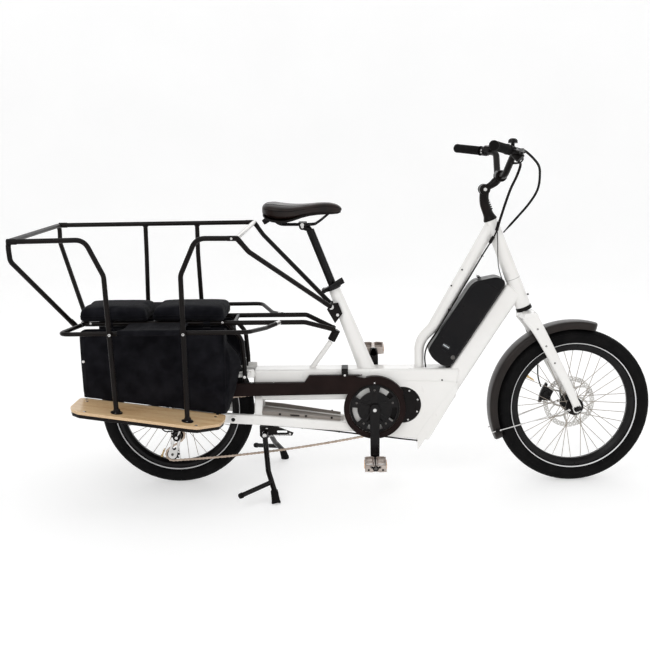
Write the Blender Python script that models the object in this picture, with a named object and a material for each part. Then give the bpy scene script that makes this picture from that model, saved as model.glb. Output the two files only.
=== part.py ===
"""Longtail cargo bicycle with mid motor, rack, passenger cage and centre stand.

Metres, +Z up, +X forward, right side at -Y.  Sizes are worked out from the rear axle: x = 0 at the
rear axle, y = 0 in the wheels' plane, z = 0 on the ground.  The empty "bike" then shifts everything so
that the origin lies under the middle of the whole bicycle.
"""
import bpy
import bmesh
from math import asin, atan2, cos, degrees, hypot, pi, radians, sin, tan
from mathutils import Matrix, Vector

# ---------------------------------------------------------------- driving dimensions
MIDDLE_X = 0.57435           # the bicycle's middle, forward of the rear axle
WHEELBASE = 1.352
TYRE_R = 0.263
RIM_BED_R = 0.2045
RIM_EDGE_R = 0.2100
RIM_INNER_R = 0.188
ROTOR_R = 0.090
AXLE_R = 0.0050
HUB_BORE_R = 0.0055
SPOKES = 12
ROUND = 32                  # sides of a wheel
GAP = 0.0004

BB = (0.676, 0.268)         # crank axis, x and z
CRANK = 0.170
CHAIN_Y = -0.050
CHAIN_HALF_W = 0.0031
CHAIN_HALF_H = 0.0040
LINK = 0.0127
RING_TEETH = 44
COG_TEETH = 14
PULLEY_TEETH = 11
GUIDE_PULLEY = (0.004, 0.178)
TENSION_PULLEY = (-0.0165, 0.111)
CHAIN_SAG = 0.014

HEAD_TOP = Vector((1.0645, 0, 0.895))
HEAD_BOTTOM = Vector((1.1776, 0, 0.6053))
SEAT_TOP = Vector((0.5385, 0, 0.6815))
SEAT_LEAN = radians(68.6)
SEAT_UP = Vector((-cos(SEAT_LEAN), 0, sin(SEAT_LEAN)))
POST_R = 0.0135

BEAM_TOP = 0.4005
BEAM_BOTTOM = 0.2945
BEAM_HALF = 0.040
DOWN_EDGE = Vector((0.9364, 0, 0.4058))      # a point on the down tube's upper edge
DOWN_UP = Vector((0.5446, 0, 0.8387))        # along the down tube
DOWN_OUT = Vector((-0.8387, 0, 0.5446))      # square to it, towards the battery
DOWN_DEPTH = 0.063

STEM_PIVOT = Vector((1.042, 0, 0.997))
BAR_CLAMP = Vector((1.095, 0, 1.040))
BAR_LOW = Vector((1.098, 0.060, 1.044))
BAR_HIGH = Vector((1.1106, 0.144, 1.1174))
GRIP_IN = Vector((1.078, 0.200, 1.123))
GRIP_OUT = Vector((1.008, 0.320, 1.135))
BAR_R = 0.011
GRIP_R = 0.0155

RACK_Z = 0.570
RACK_Y = 0.073
RACK_R = 0.008
RACK_REAR = -0.300
CAGE_R = 0.008
CAGE_Y = 0.297
CAGE_Z = 0.870
FOOT_Y = 0.298
SIDE_RAIL_Y = 0.2805
SIDE_RAIL_R = 0.007

BOARD_REAR = (-0.2906, 0.3426)               # x and z of the deck's top at its rear inner corner
BOARD_SLOPE = 0.1308
BOARD_T = 0.009
TRAY_T = 0.012
BOARD_OUTLINE = ((-0.2920, 0.166), (0.1850, 0.166), (0.1885, 0.230), (0.1800, 0.282), (0.1180, 0.346),
                 (0.0900, 0.349), (-0.2580, 0.337), (-0.2830, 0.318), (-0.2950, 0.285))

STAND_PIVOT = Vector((0.3032, 0, 0.1840))

# The front end stands turned a little to the left about the steering axis.
TURN = Matrix.Rotation(radians(4.2), 3, (HEAD_TOP - HEAD_BOTTOM).normalized())
TURNED = {"fork", "front_fender", "front_calliper", "stem_base", "stem_arm", "handlebar", "grip_left", "grip_right",
          "controls_left", "controls_right", "brake_lever_left", "brake_lever_right", "shift_lever", "bell",
          "front_tyre", "front_wheel", "front_rotor"}

# ---------------------------------------------------------------- scene and materials
for thing in list(bpy.data.objects):
    bpy.data.objects.remove(thing, do_unlink=True)

BIKE = bpy.data.objects.new("bike", None)
bpy.context.collection.objects.link(BIKE)
BIKE.location = (-MIDDLE_X, 0, 0)


def paint(name, rgb, roughness, metallic=0.0):
    material = bpy.data.materials.new(name)
    material.use_nodes = True
    shader = material.node_tree.nodes["Principled BSDF"]
    shader.inputs["Base Color"].default_value = (*rgb, 1)
    shader.inputs["Roughness"].default_value = roughness
    shader.inputs["Metallic"].default_value = metallic
    return material


WHITE = paint("white_paint", (0.86, 0.85, 0.82), 0.30)
BLACK = paint("black_tube", (0.022, 0.020, 0.020), 0.38)
PLASTIC = paint("black_plastic", (0.030, 0.026, 0.025), 0.50)
BROWN = paint("dark_guard", (0.040, 0.027, 0.023), 0.42)
RUBBER = paint("rubber", (0.020, 0.020, 0.022), 0.80)
GRIP = paint("grip_rubber", (0.030, 0.028, 0.028), 0.75)
RIM = paint("rim_black", (0.025, 0.025, 0.027), 0.35, 0.4)
STEEL = paint("steel", (0.60, 0.59, 0.57), 0.30, 1.0)
ALLOY = paint("alloy", (0.72, 0.71, 0.70), 0.32, 1.0)
CHAIN_STEEL = paint("chain_steel", (0.42, 0.34, 0.28), 0.35, 1.0)
FABRIC = paint("black_fabric", (0.012, 0.012, 0.017), 0.92)
VINYL = paint("black_vinyl", (0.030, 0.026, 0.026), 0.45)
WOOD = paint("birch", (0.78, 0.60, 0.38), 0.45)


# ---------------------------------------------------------------- modelling helpers
def node(name, mesh_maker, material, pivot=(0, 0, 0), smooth=True):
    """Name a bmesh as an object whose origin is its pivot, in rear-axle coordinates."""
    if name.removeprefix("tool_") in TURNED:
        bmesh.ops.rotate(mesh_maker, verts=mesh_maker.verts, cent=HEAD_TOP, matrix=TURN)
        pivot = HEAD_TOP + TURN @ (Vector(pivot) - HEAD_TOP)
    mesh = bpy.data.meshes.new(name)
    bmesh.ops.recalc_face_normals(mesh_maker, faces=mesh_maker.faces)
    bmesh.ops.translate(mesh_maker, verts=mesh_maker.verts, vec=-Vector(pivot))
    mesh_maker.to_mesh(mesh)
    mesh_maker.free()
    thing = bpy.data.objects.new(name, mesh)
    bpy.context.collection.objects.link(thing)
    thing.location = pivot
    thing.parent = BIKE
    if material:
        mesh.materials.append(material)
    if smooth:
        mesh.shade_smooth()
        mesh.set_sharp_from_angle(angle=radians(35))
    return thing


def combine(name, shapes, material, cuts=(), pivot=(0, 0, 0)):
    """Union of bmesh shapes, less the cuts, as one solid."""
    base = node(name, shapes[0], material, pivot)
    tools = [(node(f"tool_{name}", s, None, pivot), "UNION") for s in shapes[1:]]
    tools += [(node(f"tool_{name}", s, None, pivot), "DIFFERENCE") for s in cuts]
    for tool, operation in tools:
        tool.hide_render = True
        tool.display_type = "WIRE"
        step = base.modifiers.new(operation.lower(), "BOOLEAN")
        step.operation = operation
        step.solver = "EXACT"
        step.object = tool
    bpy.context.view_layer.update()
    evaluated = base.evaluated_get(bpy.context.evaluated_depsgraph_get())
    mesh = bpy.data.meshes.new_from_object(evaluated)
    base.modifiers.clear()
    base.data = mesh
    mesh.materials.clear()
    mesh.materials.append(material)
    for face in mesh.polygons:
        face.material_index = 0
    mesh.set_sharp_from_angle(angle=radians(35))
    for tool, _ in tools:
        bpy.data.objects.remove(tool, do_unlink=True)
    return base


def skin(rings, closed_loop=False):
    """Join rings of points with quads; open loops get end caps."""
    shape = bmesh.new()
    rows = [[shape.verts.new(p) for p in ring] for ring in rings]
    count = len(rows[0])
    pairs = list(zip(rows, rows[1:]))
    if closed_loop:
        pairs.append((rows[-1], rows[0]))
    for a, b in pairs:
        for i in range(count):
            j = (i + 1) % count
            shape.faces.new((a[i], a[j], b[j], b[i]))
    if not closed_loop:
        shape.faces.new(rows[0])
        shape.faces.new(list(reversed(rows[-1])))
    bmesh.ops.recalc_face_normals(shape, faces=shape.faces)
    return shape


def rounded(points, radius, steps=3):
    """A polyline with each inner corner turned into a round bend."""
    points = [Vector(p) for p in points]
    path = [points[0]]
    for before, corner, after in zip(points, points[1:], points[2:]):
        to_a, to_b = before - corner, after - corner
        turn = to_a.angle(to_b)
        reach = min(radius / tan(turn / 2), 0.49 * to_a.length, 0.49 * to_b.length)
        a = corner + to_a.normalized() * reach
        b = corner + to_b.normalized() * reach
        for i in range(steps + 1):
            t = i / steps
            path.append((1 - t) ** 2 * a + 2 * t * (1 - t) * corner + t * t * b)
    path.append(points[-1])
    return path


def tube(path, radius, sides=8, flat=1.0, closed_loop=False, wide_axis=(0, 1, 0)):
    """A tube along a path; radius is one number or one per point; flat squeezes it along its normal."""
    path = [Vector(p) for p in path]
    radii = radius if isinstance(radius, (list, tuple)) else [radius] * len(path)
    rings = []
    side = None
    for i, point in enumerate(path):
        if closed_loop:
            along = (path[(i + 1) % len(path)] - path[i - 1]).normalized()
        else:
            along = (path[min(i + 1, len(path) - 1)] - path[max(i - 1, 0)]).normalized()
        if side is None:
            side = Vector(wide_axis)
            if abs(side.dot(along)) > 0.9:
                side = Vector((1, 0, 0)) if abs(along.x) < 0.9 else Vector((0, 0, 1))
        side = (side - along * side.dot(along)).normalized()
        over = along.cross(side)
        ring = []
        for k in range(sides):
            a = 2 * pi * (k + 0.5) / sides
            ring.append(point + radii[i] * (side * cos(a) + over * sin(a) * flat))
        rings.append(ring)
    return skin(rings, closed_loop)


def rod(start, end, radius, sides=10):
    return tube([start, end], radius, sides)


def turned(profile, centre, sides=32, axis=(0, 1, 0)):
    """A ring turned from a closed (radius, offset along axis) profile about an axis through centre."""
    centre, axis = Vector(centre), Vector(axis).normalized()
    side = Vector((0, 0, 1)) if abs(axis.z) < 0.9 else Vector((1, 0, 0))
    side = (side - axis * side.dot(axis)).normalized()
    over = axis.cross(side)
    rings = []
    for k in range(sides):
        a = 2 * pi * k / sides
        out = side * cos(a) + over * sin(a)
        rings.append([centre + out * r + axis * h for r, h in profile])
    return skin(rings, closed_loop=True)


def drum(centre, radius, low, high, sides=32, axis=(0, 1, 0)):
    """A solid cylinder between two offsets along an axis."""
    centre, axis = Vector(centre), Vector(axis).normalized()
    return rod(centre + axis * low, centre + axis * high, radius, sides)


def slab(outline, y_low, y_high):
    """A flat plate: an (x, z) outline extruded sideways."""
    return skin([[Vector((x, y, z)) for x, z in outline] for y in (y_low, y_high)])


def block(low, high):
    (x0, y0, z0), (x1, y1, z1) = low, high
    return slab(((x0, z0), (x1, z0), (x1, z1), (x0, z1)), y0, y1)


def arc(centre, radius, start_deg, end_deg, steps):
    """Points on a circle, in degrees from +X towards +Z."""
    points = []
    for i in range(steps + 1):
        a = radians(start_deg + (end_deg - start_deg) * i / steps)
        points.append((centre[0] + radius * cos(a), centre[1] + radius * sin(a)))
    return points


def ring_sector(centre, inner, outer, middle_deg, half_deg, y_low, y_high):
    """A block that follows a rotor's edge, between two radii and two angles."""
    outline = arc(centre, outer, middle_deg - half_deg, middle_deg + half_deg, 4)
    outline += arc(centre, inner, middle_deg + half_deg, middle_deg - half_deg, 3)
    return slab(outline, y_low, y_high)


def section_sweep(path, half_wide, half_tall):
    """A rectangular tube along a path in space; its sides stay upright."""
    rings = []
    path = [Vector(p) for p in path]
    for i, point in enumerate(path):
        along = (path[min(i + 1, len(path) - 1)] - path[max(i - 1, 0)]).normalized()
        side = along.cross(Vector((0, 0, 1))).normalized()
        over = side.cross(along)
        corners = ((-1, -1), (1, -1), (1, 1), (-1, 1))
        rings.append([point + side * half_wide * a + over * half_tall * b for a, b in corners])
    return skin(rings)


# ---------------------------------------------------------------- wheels
def wheel(name, x, hub_profile, rotor_y, rotor_inner):
    centre = (x, 0, TYRE_R)
    tyre_side = ((0.2049, 0.0131), (0.2104, 0.0131), (0.2160, 0.0235), (0.2360, 0.0300), (0.2520, 0.0245),
                 (0.2605, 0.0120))
    profile = [(r, -y) for r, y in tyre_side] + [(TYRE_R, 0)] + [(r, y) for r, y in reversed(tyre_side)]
    node(f"{name}_tyre", turned(profile, centre, ROUND), RUBBER, centre)

    rim_side = ((RIM_INNER_R, 0.006), (0.2000, 0.0165), (RIM_EDGE_R, 0.0165), (RIM_EDGE_R, 0.0135),
                (RIM_BED_R, 0.0135))
    rim = [(r, -y) for r, y in rim_side] + [(r, y) for r, y in reversed(rim_side)]
    parts = [turned(rim, centre, ROUND), turned(hub_profile, centre, 14)]
    low, high = min(h for r, h in hub_profile[:-2]), max(h for r, h in hub_profile[:-2])
    for i in range(SPOKES):
        a = 2 * pi * i / SPOKES
        flange = (low + 0.004) if i % 2 else (high - 0.004)
        lean = a + (0.5 if i % 2 else -0.5)
        hub_r = hub_profile[1][0] - 0.004
        start = Vector((x + hub_r * sin(lean), flange, TYRE_R + hub_r * cos(lean)))
        end = Vector((x + 0.193 * sin(a), 0.0, TYRE_R + 0.193 * cos(a)))
        parts.append(rod(start, end, 0.0013, 4))
    combine(f"{name}_wheel", parts, RIM, pivot=centre)

    ring = ((rotor_inner, rotor_y), (ROTOR_R, rotor_y), (ROTOR_R, rotor_y + 0.0018), (rotor_inner, rotor_y + 0.0018))
    node(f"{name}_rotor", turned(ring, centre, ROUND), STEEL, centre)


def hub_shell(flange_r, low, high, waist_r):
    """A hub's closed profile, flange to flange, with a bore for the axle."""
    return ((HUB_BORE_R, low), (flange_r, low), (flange_r, low + 0.008), (waist_r, low + 0.012),
            (waist_r, high - 0.012), (flange_r, high - 0.008), (flange_r, high), (HUB_BORE_R, high))


wheel("front", WHEELBASE, hub_shell(0.030, -0.034, 0.034, 0.023), 0.0400, 0.022)
wheel("rear", 0.0, hub_shell(0.030, -0.024, 0.036, 0.020), 0.0420, 0.022)


# ---------------------------------------------------------------- chain drive
def pitch_radius(teeth):
    return LINK / (2 * sin(pi / teeth))


def chain_route():
    """The chain's centre line: ring, cog, guide pulley and tension pulley, as (x, z) points."""
    wheels = ((BB, pitch_radius(RING_TEETH), 1), ((0.0, TYRE_R), pitch_radius(COG_TEETH), 1),
              (GUIDE_PULLEY, pitch_radius(PULLEY_TEETH), -1),
              (TENSION_PULLEY, pitch_radius(PULLEY_TEETH), 1))
    count = len(wheels)
    leave, arrive = [0.0] * count, [0.0] * count
    for i in range(count):
        (c0, r0, s0), (c1, r1, s1) = wheels[i], wheels[(i + 1) % count]
        dx, dz = c1[0] - c0[0], c1[1] - c0[1]
        heading = atan2(dz, dx) - asin((s1 * r1 - s0 * r0) / hypot(dx, dz))
        leave[i] = heading - s0 * pi / 2
        arrive[(i + 1) % count] = heading - s1 * pi / 2
    slack = 4 * CHAIN_SAG / hypot(BB[0] - TENSION_PULLEY[0], BB[1] - TENSION_PULLEY[1])
    leave[3] -= slack
    arrive[0] += slack
    route = []
    for i in range(count):
        (cx, cz), r, sense = wheels[i]
        sweep = (leave[i] - arrive[i]) * sense % (2 * pi) * sense
        steps = int(abs(sweep) / (0.15 if r > 0.05 else 0.30)) + 1
        route += [(cx + r * cos(arrive[i] + sweep * k / steps), cz + r * sin(arrive[i] + sweep * k / steps))
                  for k in range(steps + 1)]
        if i == 3:
            x0, z0 = route[-1]
            (bx, bz), br, _ = wheels[0]
            x1, z1 = bx + br * cos(arrive[0]), bz + br * sin(arrive[0])
            for k in range(1, 12):
                t = k / 12
                route.append((x0 + (x1 - x0) * t, z0 + (z1 - z0) * t - 4 * CHAIN_SAG * t * (1 - t)))
    return route


def band(route, y, half_wide, half_tall):
    """A closed flat band of rectangular section along (x, z) points."""
    rings = []
    count = len(route)
    for i in range(count):
        ax, az = route[i - 1]
        bx, bz = route[(i + 1) % count]
        length = hypot(bx - ax, bz - az)
        nx, nz = -(bz - az) / length, (bx - ax) / length
        px, pz = route[i]
        corners = ((-1, -1), (1, -1), (1, 1), (-1, 1))
        rings.append([Vector((px + nx * half_tall * b, y + half_wide * a, pz + nz * half_tall * b))
                      for a, b in corners])
    return skin(rings, closed_loop=True)


node("chain", band(chain_route(), CHAIN_Y, CHAIN_HALF_W, CHAIN_HALF_H), CHAIN_STEEL)

CLEAR_R = CHAIN_HALF_H + 0.0006


def cassette():
    profile = [(0.0055, -0.0265), (0.0430, -0.0265)]
    for radius_mm, low in ((43.0, -0.0300), (39.5, -0.0345), (36.0, -0.0390), (32.5, -0.0463)):
        profile += [(radius_mm / 1000, low)]
        profile += [(radius_mm / 1000 - 0.0035, low)]
    profile[-1] = (pitch_radius(COG_TEETH) - CLEAR_R, -0.0463)
    profile += [(pitch_radius(COG_TEETH) - CLEAR_R, -0.0560), (0.0055, -0.0560)]
    return turned(profile, (0, 0, TYRE_R), 20)


node("cassette", cassette(), STEEL, (0, 0, TYRE_R))

BB3 = (BB[0], 0, BB[1])


def chainring():
    """Chainring, raised spider face with five windows, and its boss on the spindle."""
    plate_r = pitch_radius(RING_TEETH) - CLEAR_R
    profile = ((0.0130, -0.0640), (0.0240, -0.0640), (0.0260, -0.0555), (0.0785, -0.0555), (plate_r, -0.0520),
               (plate_r, -0.0480), (0.0130, -0.0480))
    windows = [ring_sector(BB, 0.0530, 0.0755, 90 + 72 * (i + 0.5), 21, -0.07, -0.04) for i in range(5)]
    return [turned(profile, BB3, 30)], windows


ring_shapes, ring_windows = chainring()
combine("chainring", ring_shapes, BLACK, ring_windows, BB3)

PULLEY_R = pitch_radius(PULLEY_TEETH) - CLEAR_R - 0.0012
for pulley_name, (px, pz) in (("guide_pulley", GUIDE_PULLEY), ("tension_pulley", TENSION_PULLEY)):
    rim = ((0.0045, -0.0035), (PULLEY_R, -0.0035), (PULLEY_R, 0.0035), (0.0045, 0.0035))
    node(pulley_name, turned(rim, (px, CHAIN_Y, pz), 22), PLASTIC, (px, CHAIN_Y, pz))


def cage_plates():
    """Two plates beside the pulleys, joined by the pulleys' bolts."""
    (gx, gz), (tx, tz) = GUIDE_PULLEY, TENSION_PULLEY
    heading = degrees(atan2(gz - tz, gx - tx))
    outline = arc((gx, gz), 0.0125, heading - 90, heading + 90, 6)
    outline += arc((tx, tz), 0.0155, heading + 90, heading + 270, 6)
    plates = [slab(outline, CHAIN_Y + side * 0.0057, CHAIN_Y + side * 0.0081) for side in (1, -1)]
    bolts = [rod((x, CHAIN_Y - 0.0100, z), (x, CHAIN_Y + 0.0075, z), 0.0040, 10)
             for x, z in (GUIDE_PULLEY, TENSION_PULLEY)]
    return plates + bolts


combine("derailleur_cage", cage_plates(), ALLOY, pivot=(GUIDE_PULLEY[0], CHAIN_Y, GUIDE_PULLEY[1]))


def derailleur_body():
    """Hanger knuckle, parallelogram and cage knuckle, outboard of the chain."""
    hanger = rod((0.010, -0.0600, 0.2262), (0.010, -0.0860, 0.2262), 0.0120, 14)
    link = tube([(0.010, -0.0720, 0.2262), (0.016, -0.0750, 0.2040), (0.005, -0.0740, 0.1790)], 0.0095, 8)
    knuckle = rod((GUIDE_PULLEY[0], -0.0610, GUIDE_PULLEY[1]), (GUIDE_PULLEY[0], -0.0860, GUIDE_PULLEY[1]), 0.0130, 14)
    return [hanger, link, knuckle]


combine("derailleur_body", derailleur_body(), PLASTIC)


def crank_arm(side):
    """A crank arm with its pedal's spindle; side is -1 on the right, hanging down, and 1 on the left."""
    inner, outer = 0.0660, 0.0800
    end = Vector((BB[0], 0, BB[1] + side * CRANK))
    rings = []
    for t, wide in ((-0.10, 0.011), (0.0, 0.0185), (0.25, 0.0165), (0.9, 0.0155), (1.0, 0.0145), (1.08, 0.008)):
        z = BB[1] + side * CRANK * t
        rings.append([Vector((BB[0] + a * wide, side * y, z))
                      for a, y in ((-1, inner), (1, inner), (1, outer), (-1, outer))])
    arm = skin(rings)
    spindle = rod((end.x, side * 0.074, end.z), (end.x, side * 0.1850, end.z), 0.0050, 10)
    return [arm, spindle]


combine("crank_right", crank_arm(-1), BLACK, pivot=BB3)
spindle_core = rod((BB[0], -0.0665 + 0.001, BB[1]), (BB[0], 0.0670, BB[1]), 0.0110, 16)
combine("crank_left", crank_arm(1) + [spindle_core], BLACK, pivot=BB3)


def pedal(side):
    """A cage pedal: a frame with two windows round its own barrel."""
    z = BB[1] + side * CRANK
    y0, y1 = 0.0870, 0.1860
    body = block((BB[0] - 0.036, min(side * y0, side * y1), z - 0.0130),
                 (BB[0] + 0.036, max(side * y0, side * y1), z + 0.0130))
    bore = rod((BB[0], side * (y0 - 0.01), z), (BB[0], side * (y1 + 0.01), z), 0.0056, 12)
    cuts = [bore]
    for a in (-1, 1):
        x = BB[0] + a * 0.0205
        cuts.append(block((x - 0.0095, min(side * (y0 + 0.012), side * (y1 - 0.012)), z - 0.02),
                          (x + 0.0095, max(side * (y0 + 0.012), side * (y1 - 0.012)), z + 0.02)))
    return [body], cuts


for pedal_name, pedal_side in (("pedal_right", -1), ("pedal_left", 1)):
    bodies, holes = pedal(pedal_side)
    combine(pedal_name, bodies, ALLOY, holes, (BB[0], 0, BB[1] + pedal_side * CRANK))


# ---------------------------------------------------------------- frame
DRUM = (0.7706, 0.2762)
DRUM_R = 0.062


def down_point(along, out):
    p = DOWN_EDGE + DOWN_UP * along + DOWN_OUT * out
    return (p.x, p.z)


STAY_PATH = ((0.630, 0.030, 0.1990), (0.560, 0.046, 0.2060), (0.300, 0.0720, 0.2350), (0.199, 0.0755, 0.2425),
             (0.030, 0.0760, 0.2600))


def top_tube():
    path = rounded([(1.0640, 0, 0.8730), (0.8790, 0, 0.5400), (0.8287, 0, 0.4900), (0.8287, 0, 0.3900)], 0.09, 5)
    radii = [0.0205 - 0.005 * i / (len(path) - 1) for i in range(len(path))]
    return tube(path, radii, 14)


def frame():
    head = tube([HEAD_TOP, HEAD_BOTTOM], [0.0220, 0.0255], 20)
    down = slab((down_point(-0.2600, 0.0), down_point(0.3330, 0.0), down_point(0.3330, -DOWN_DEPTH),
                 down_point(-0.2700, -DOWN_DEPTH)), -0.026, 0.026)
    belly = slab(((0.600, BEAM_BOTTOM + 0.01), (0.600, 0.1880), (0.7114, 0.1655), (0.8600, 0.1515),
                  (0.9460, 0.3000), (0.9460, BEAM_BOTTOM + 0.01)), -0.036, 0.036)
    beam = slab(((0.2670, BEAM_BOTTOM), (0.9500, BEAM_BOTTOM), (0.9640, BEAM_TOP), (0.2670, BEAM_TOP)),
                -BEAM_HALF, BEAM_HALF)
    seat = tube([SEAT_TOP - SEAT_UP * 0.32, SEAT_TOP - SEAT_UP * 0.20, SEAT_TOP - SEAT_UP * 0.10,
                 SEAT_TOP - SEAT_UP * 0.014, SEAT_TOP], [0.0280, 0.0252, 0.0222, 0.0186, 0.0186], 18)
    strut = rod((0.4580, 0, 0.3900), (0.5290, 0, 0.4890), 0.0085, 10)
    battery_rail = slab((down_point(0.010, -0.001), down_point(0.320, -0.001), down_point(0.320, 0.0036),
                         down_point(0.010, 0.0036)), -0.0240, 0.0240)
    rings = [[Vector((x, s * half_width, z + t)) for s, t in ((-1, 0), (1, 0), (1, 0.004), (-1, 0.004))]
             for x, half_width, z in ((0.2900, 0.0680, 0.2440), (0.5700, 0.0400, 0.2130))]
    shapes = [beam, belly, down, head, seat, top_tube(), strut, battery_rail, skin(rings)]
    for sign in (1, -1):
        stay = [(x, sign * y, z) for x, y, z in STAY_PATH]
        shapes.append(section_sweep(stay, 0.0100, 0.0165))
        shapes.append(section_sweep([(0.2830, sign * 0.0340, 0.3050), (0.2830, sign * 0.0700, 0.2350)],
                                    0.0130, 0.0080))
        y0, y1 = sorted((sign * 0.0680, sign * 0.0760))
        shapes.append(slab(((0.045, 0.2400), (-0.030, 0.2440), (-0.035, 0.2800), (0.020, 0.3000), (0.045, 0.2750)),
                           y0, y1))
        upper = [(0.2750, sign * 0.0300, 0.3850), (0.1950, sign * 0.0580, 0.3850), (0.010, sign * 0.0720, 0.2850)]
        shapes.append(tube(upper, 0.0100, 8))
    shapes.append(rod((0, -0.0790, TYRE_R), (0, 0.0790, TYRE_R), AXLE_R, 12))
    bore = drum((BB[0], 0, BB[1]), 0.0406, -0.06, 0.06, 20)
    pocket = drum((DRUM[0], 0, DRUM[1]), DRUM_R + 0.0006, -0.060, -0.004, 24)
    post_hole = rod(SEAT_TOP - SEAT_UP * 0.275, SEAT_TOP + SEAT_UP * 0.02, POST_R + 0.0004, 18)
    steerer_hole = rod(HEAD_TOP + (HEAD_TOP - HEAD_BOTTOM) * 0.1, HEAD_BOTTOM - (HEAD_TOP - HEAD_BOTTOM) * 0.1,
                       0.0150, 16)
    return shapes, [bore, pocket, post_hole, steerer_hole]


frame_shapes, frame_cuts = frame()
combine("frame", frame_shapes, WHITE, frame_cuts)

motor_shapes = [drum((DRUM[0], 0, DRUM[1]), DRUM_R, -0.0440, -0.0050, 24),
                turned(((0.0130, -0.0440), (0.0400, -0.0440), (0.0400, 0.0480), (0.0130, 0.0480)), BB3, 20)]
combine("motor", motor_shapes, PLASTIC, [drum(BB3, 0.0130, -0.06, 0.06, 20)])


def chain_guard():
    """Arm over the upper chain run and a round shield with a wide window."""
    shield_r, hood_r = 0.1045, 0.1125
    outline = [(0.1850, 0.3594), (0.1850, 0.3140), (0.5820, 0.3199)]
    outline += arc(BB, shield_r, 150, 385, 18)
    outline += arc(BB, hood_r, 30, 108, 8)
    outline += [(0.5900, 0.3840), (0.4560, 0.3840), (0.4393, 0.3600)]
    plate = slab(outline, -0.0622, -0.0572)
    lid = slab(((0.1850, 0.3594), (0.1850, 0.3564), (0.4400, 0.3570), (0.4570, 0.3805), (0.6200, 0.3805),
                (0.6350, 0.3840), (0.4560, 0.3840), (0.4393, 0.3600)), -0.0600, -0.0415)
    clamp = block((0.5650, -0.0600, 0.3800), (0.5870, -0.0404, 0.4080))
    return [plate, lid, clamp], [drum(BB3, 0.0852, -0.07, -0.05, 28)]


guard_shapes, guard_cuts = chain_guard()
combine("chain_guard", guard_shapes, BROWN, guard_cuts)

# ---------------------------------------------------------------- seat
collar = turned(((0.0190, -0.0120), (0.0245, -0.0120), (0.0245, 0.0020), (0.0140, 0.0020), (0.0140, 0.0006),
                 (0.0190, 0.0006)), SEAT_TOP, 20, SEAT_UP)
ear_at = SEAT_TOP - SEAT_UP * 0.005 + Vector((-0.0300, 0, -0.0109))
ear = section_sweep([ear_at + Vector((0.010, 0, 0.0036)), ear_at - Vector((0.006, 0, 0.0022))], 0.0130, 0.006)
combine("seat_collar", [collar, ear], PLASTIC)
LEVER_PIVOT = ear_at + Vector((-0.001, -0.0190, 0))
lever_path = [LEVER_PIVOT, LEVER_PIVOT + Vector((0.022, -0.0110, 0.008)), LEVER_PIVOT + Vector((0.066, -0.0100, 0.029))]
node("collar_lever", tube(rounded(lever_path, 0.02, 3), 0.0052, 8), PLASTIC, LEVER_PIVOT)


def saddle():
    """Loft of cross sections from the wide tail to the nose."""
    stations = ((0.3090, 0.050, 0.9480, 0.9330), (0.3180, 0.078, 0.9620, 0.9120), (0.3420, 0.096, 0.9640, 0.9040),
                (0.3780, 0.098, 0.9590, 0.9020), (0.4150, 0.080, 0.9560, 0.9080), (0.4600, 0.050, 0.9575, 0.9200),
                (0.5100, 0.034, 0.9620, 0.9225), (0.5500, 0.027, 0.9590, 0.9240), (0.5700, 0.016, 0.9450, 0.9290))
    rings = []
    for x, half, top, bottom in stations:
        centre, tall = (top + bottom) / 2, (top - bottom) / 2
        ring = []
        for k in range(14):
            a = 2 * pi * k / 14
            bulge = 1.0 if sin(a) > 0 else 0.85
            ring.append(Vector((x, half * bulge * cos(a), centre + tall * sin(a))))
        rings.append(ring)
    return skin(rings)


node("saddle", saddle(), VINYL)

SEAT_CLAMP = Vector((0.4400, 0, 0.8820))
post = rod(SEAT_TOP - SEAT_UP * 0.1300, SEAT_TOP + SEAT_UP * 0.2030, POST_R, 18)
head_block = rod(SEAT_CLAMP - Vector((0, 0.0250, 0)), SEAT_CLAMP + Vector((0, 0.0250, 0)), 0.0125, 12)
neck = rod(SEAT_TOP + SEAT_UP * 0.1960, SEAT_CLAMP, 0.0110, 10)
rails = [tube(rounded([(0.352, s * 0.0220, 0.8985), (0.385, s * 0.0220, 0.8880), (0.478, s * 0.0220, 0.8880),
                       (0.520, s * 0.0140, 0.9170)], 0.03, 3), 0.0036, 8) for s in (1, -1)]
combine("seat_post", [post, head_block, neck] + rails, BLACK, pivot=SEAT_TOP)

# ---------------------------------------------------------------- battery
BATTERY_OUTLINE = ((-0.0030, 0.0040), (-0.0145, 0.0290), (-0.0110, 0.0700), (0.0030, 0.0960), (0.0200, 0.1000),
                   (0.2620, 0.1000), (0.2850, 0.0940), (0.3360, 0.0420), (0.3400, 0.0160), (0.3300, 0.0040))
battery_side = [down_point(s, t) for s, t in BATTERY_OUTLINE]
battery = node("battery", slab(battery_side, -0.0430, 0.0430), PLASTIC, (*down_point(0.16, 0.05)[:1], 0,
                                                                         down_point(0.16, 0.05)[1]))
soften = battery.modifiers.new("soften", "BEVEL")
soften.width = 0.010
soften.segments = 2
soften.limit_method = "ANGLE"
soften.angle_limit = radians(60)


# ---------------------------------------------------------------- steering
HUB = Vector((WHEELBASE, 0, TYRE_R))
STEER_UP = (HEAD_TOP - HEAD_BOTTOM).normalized()
CROWN = HEAD_BOTTOM - STEER_UP * 0.030


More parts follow.
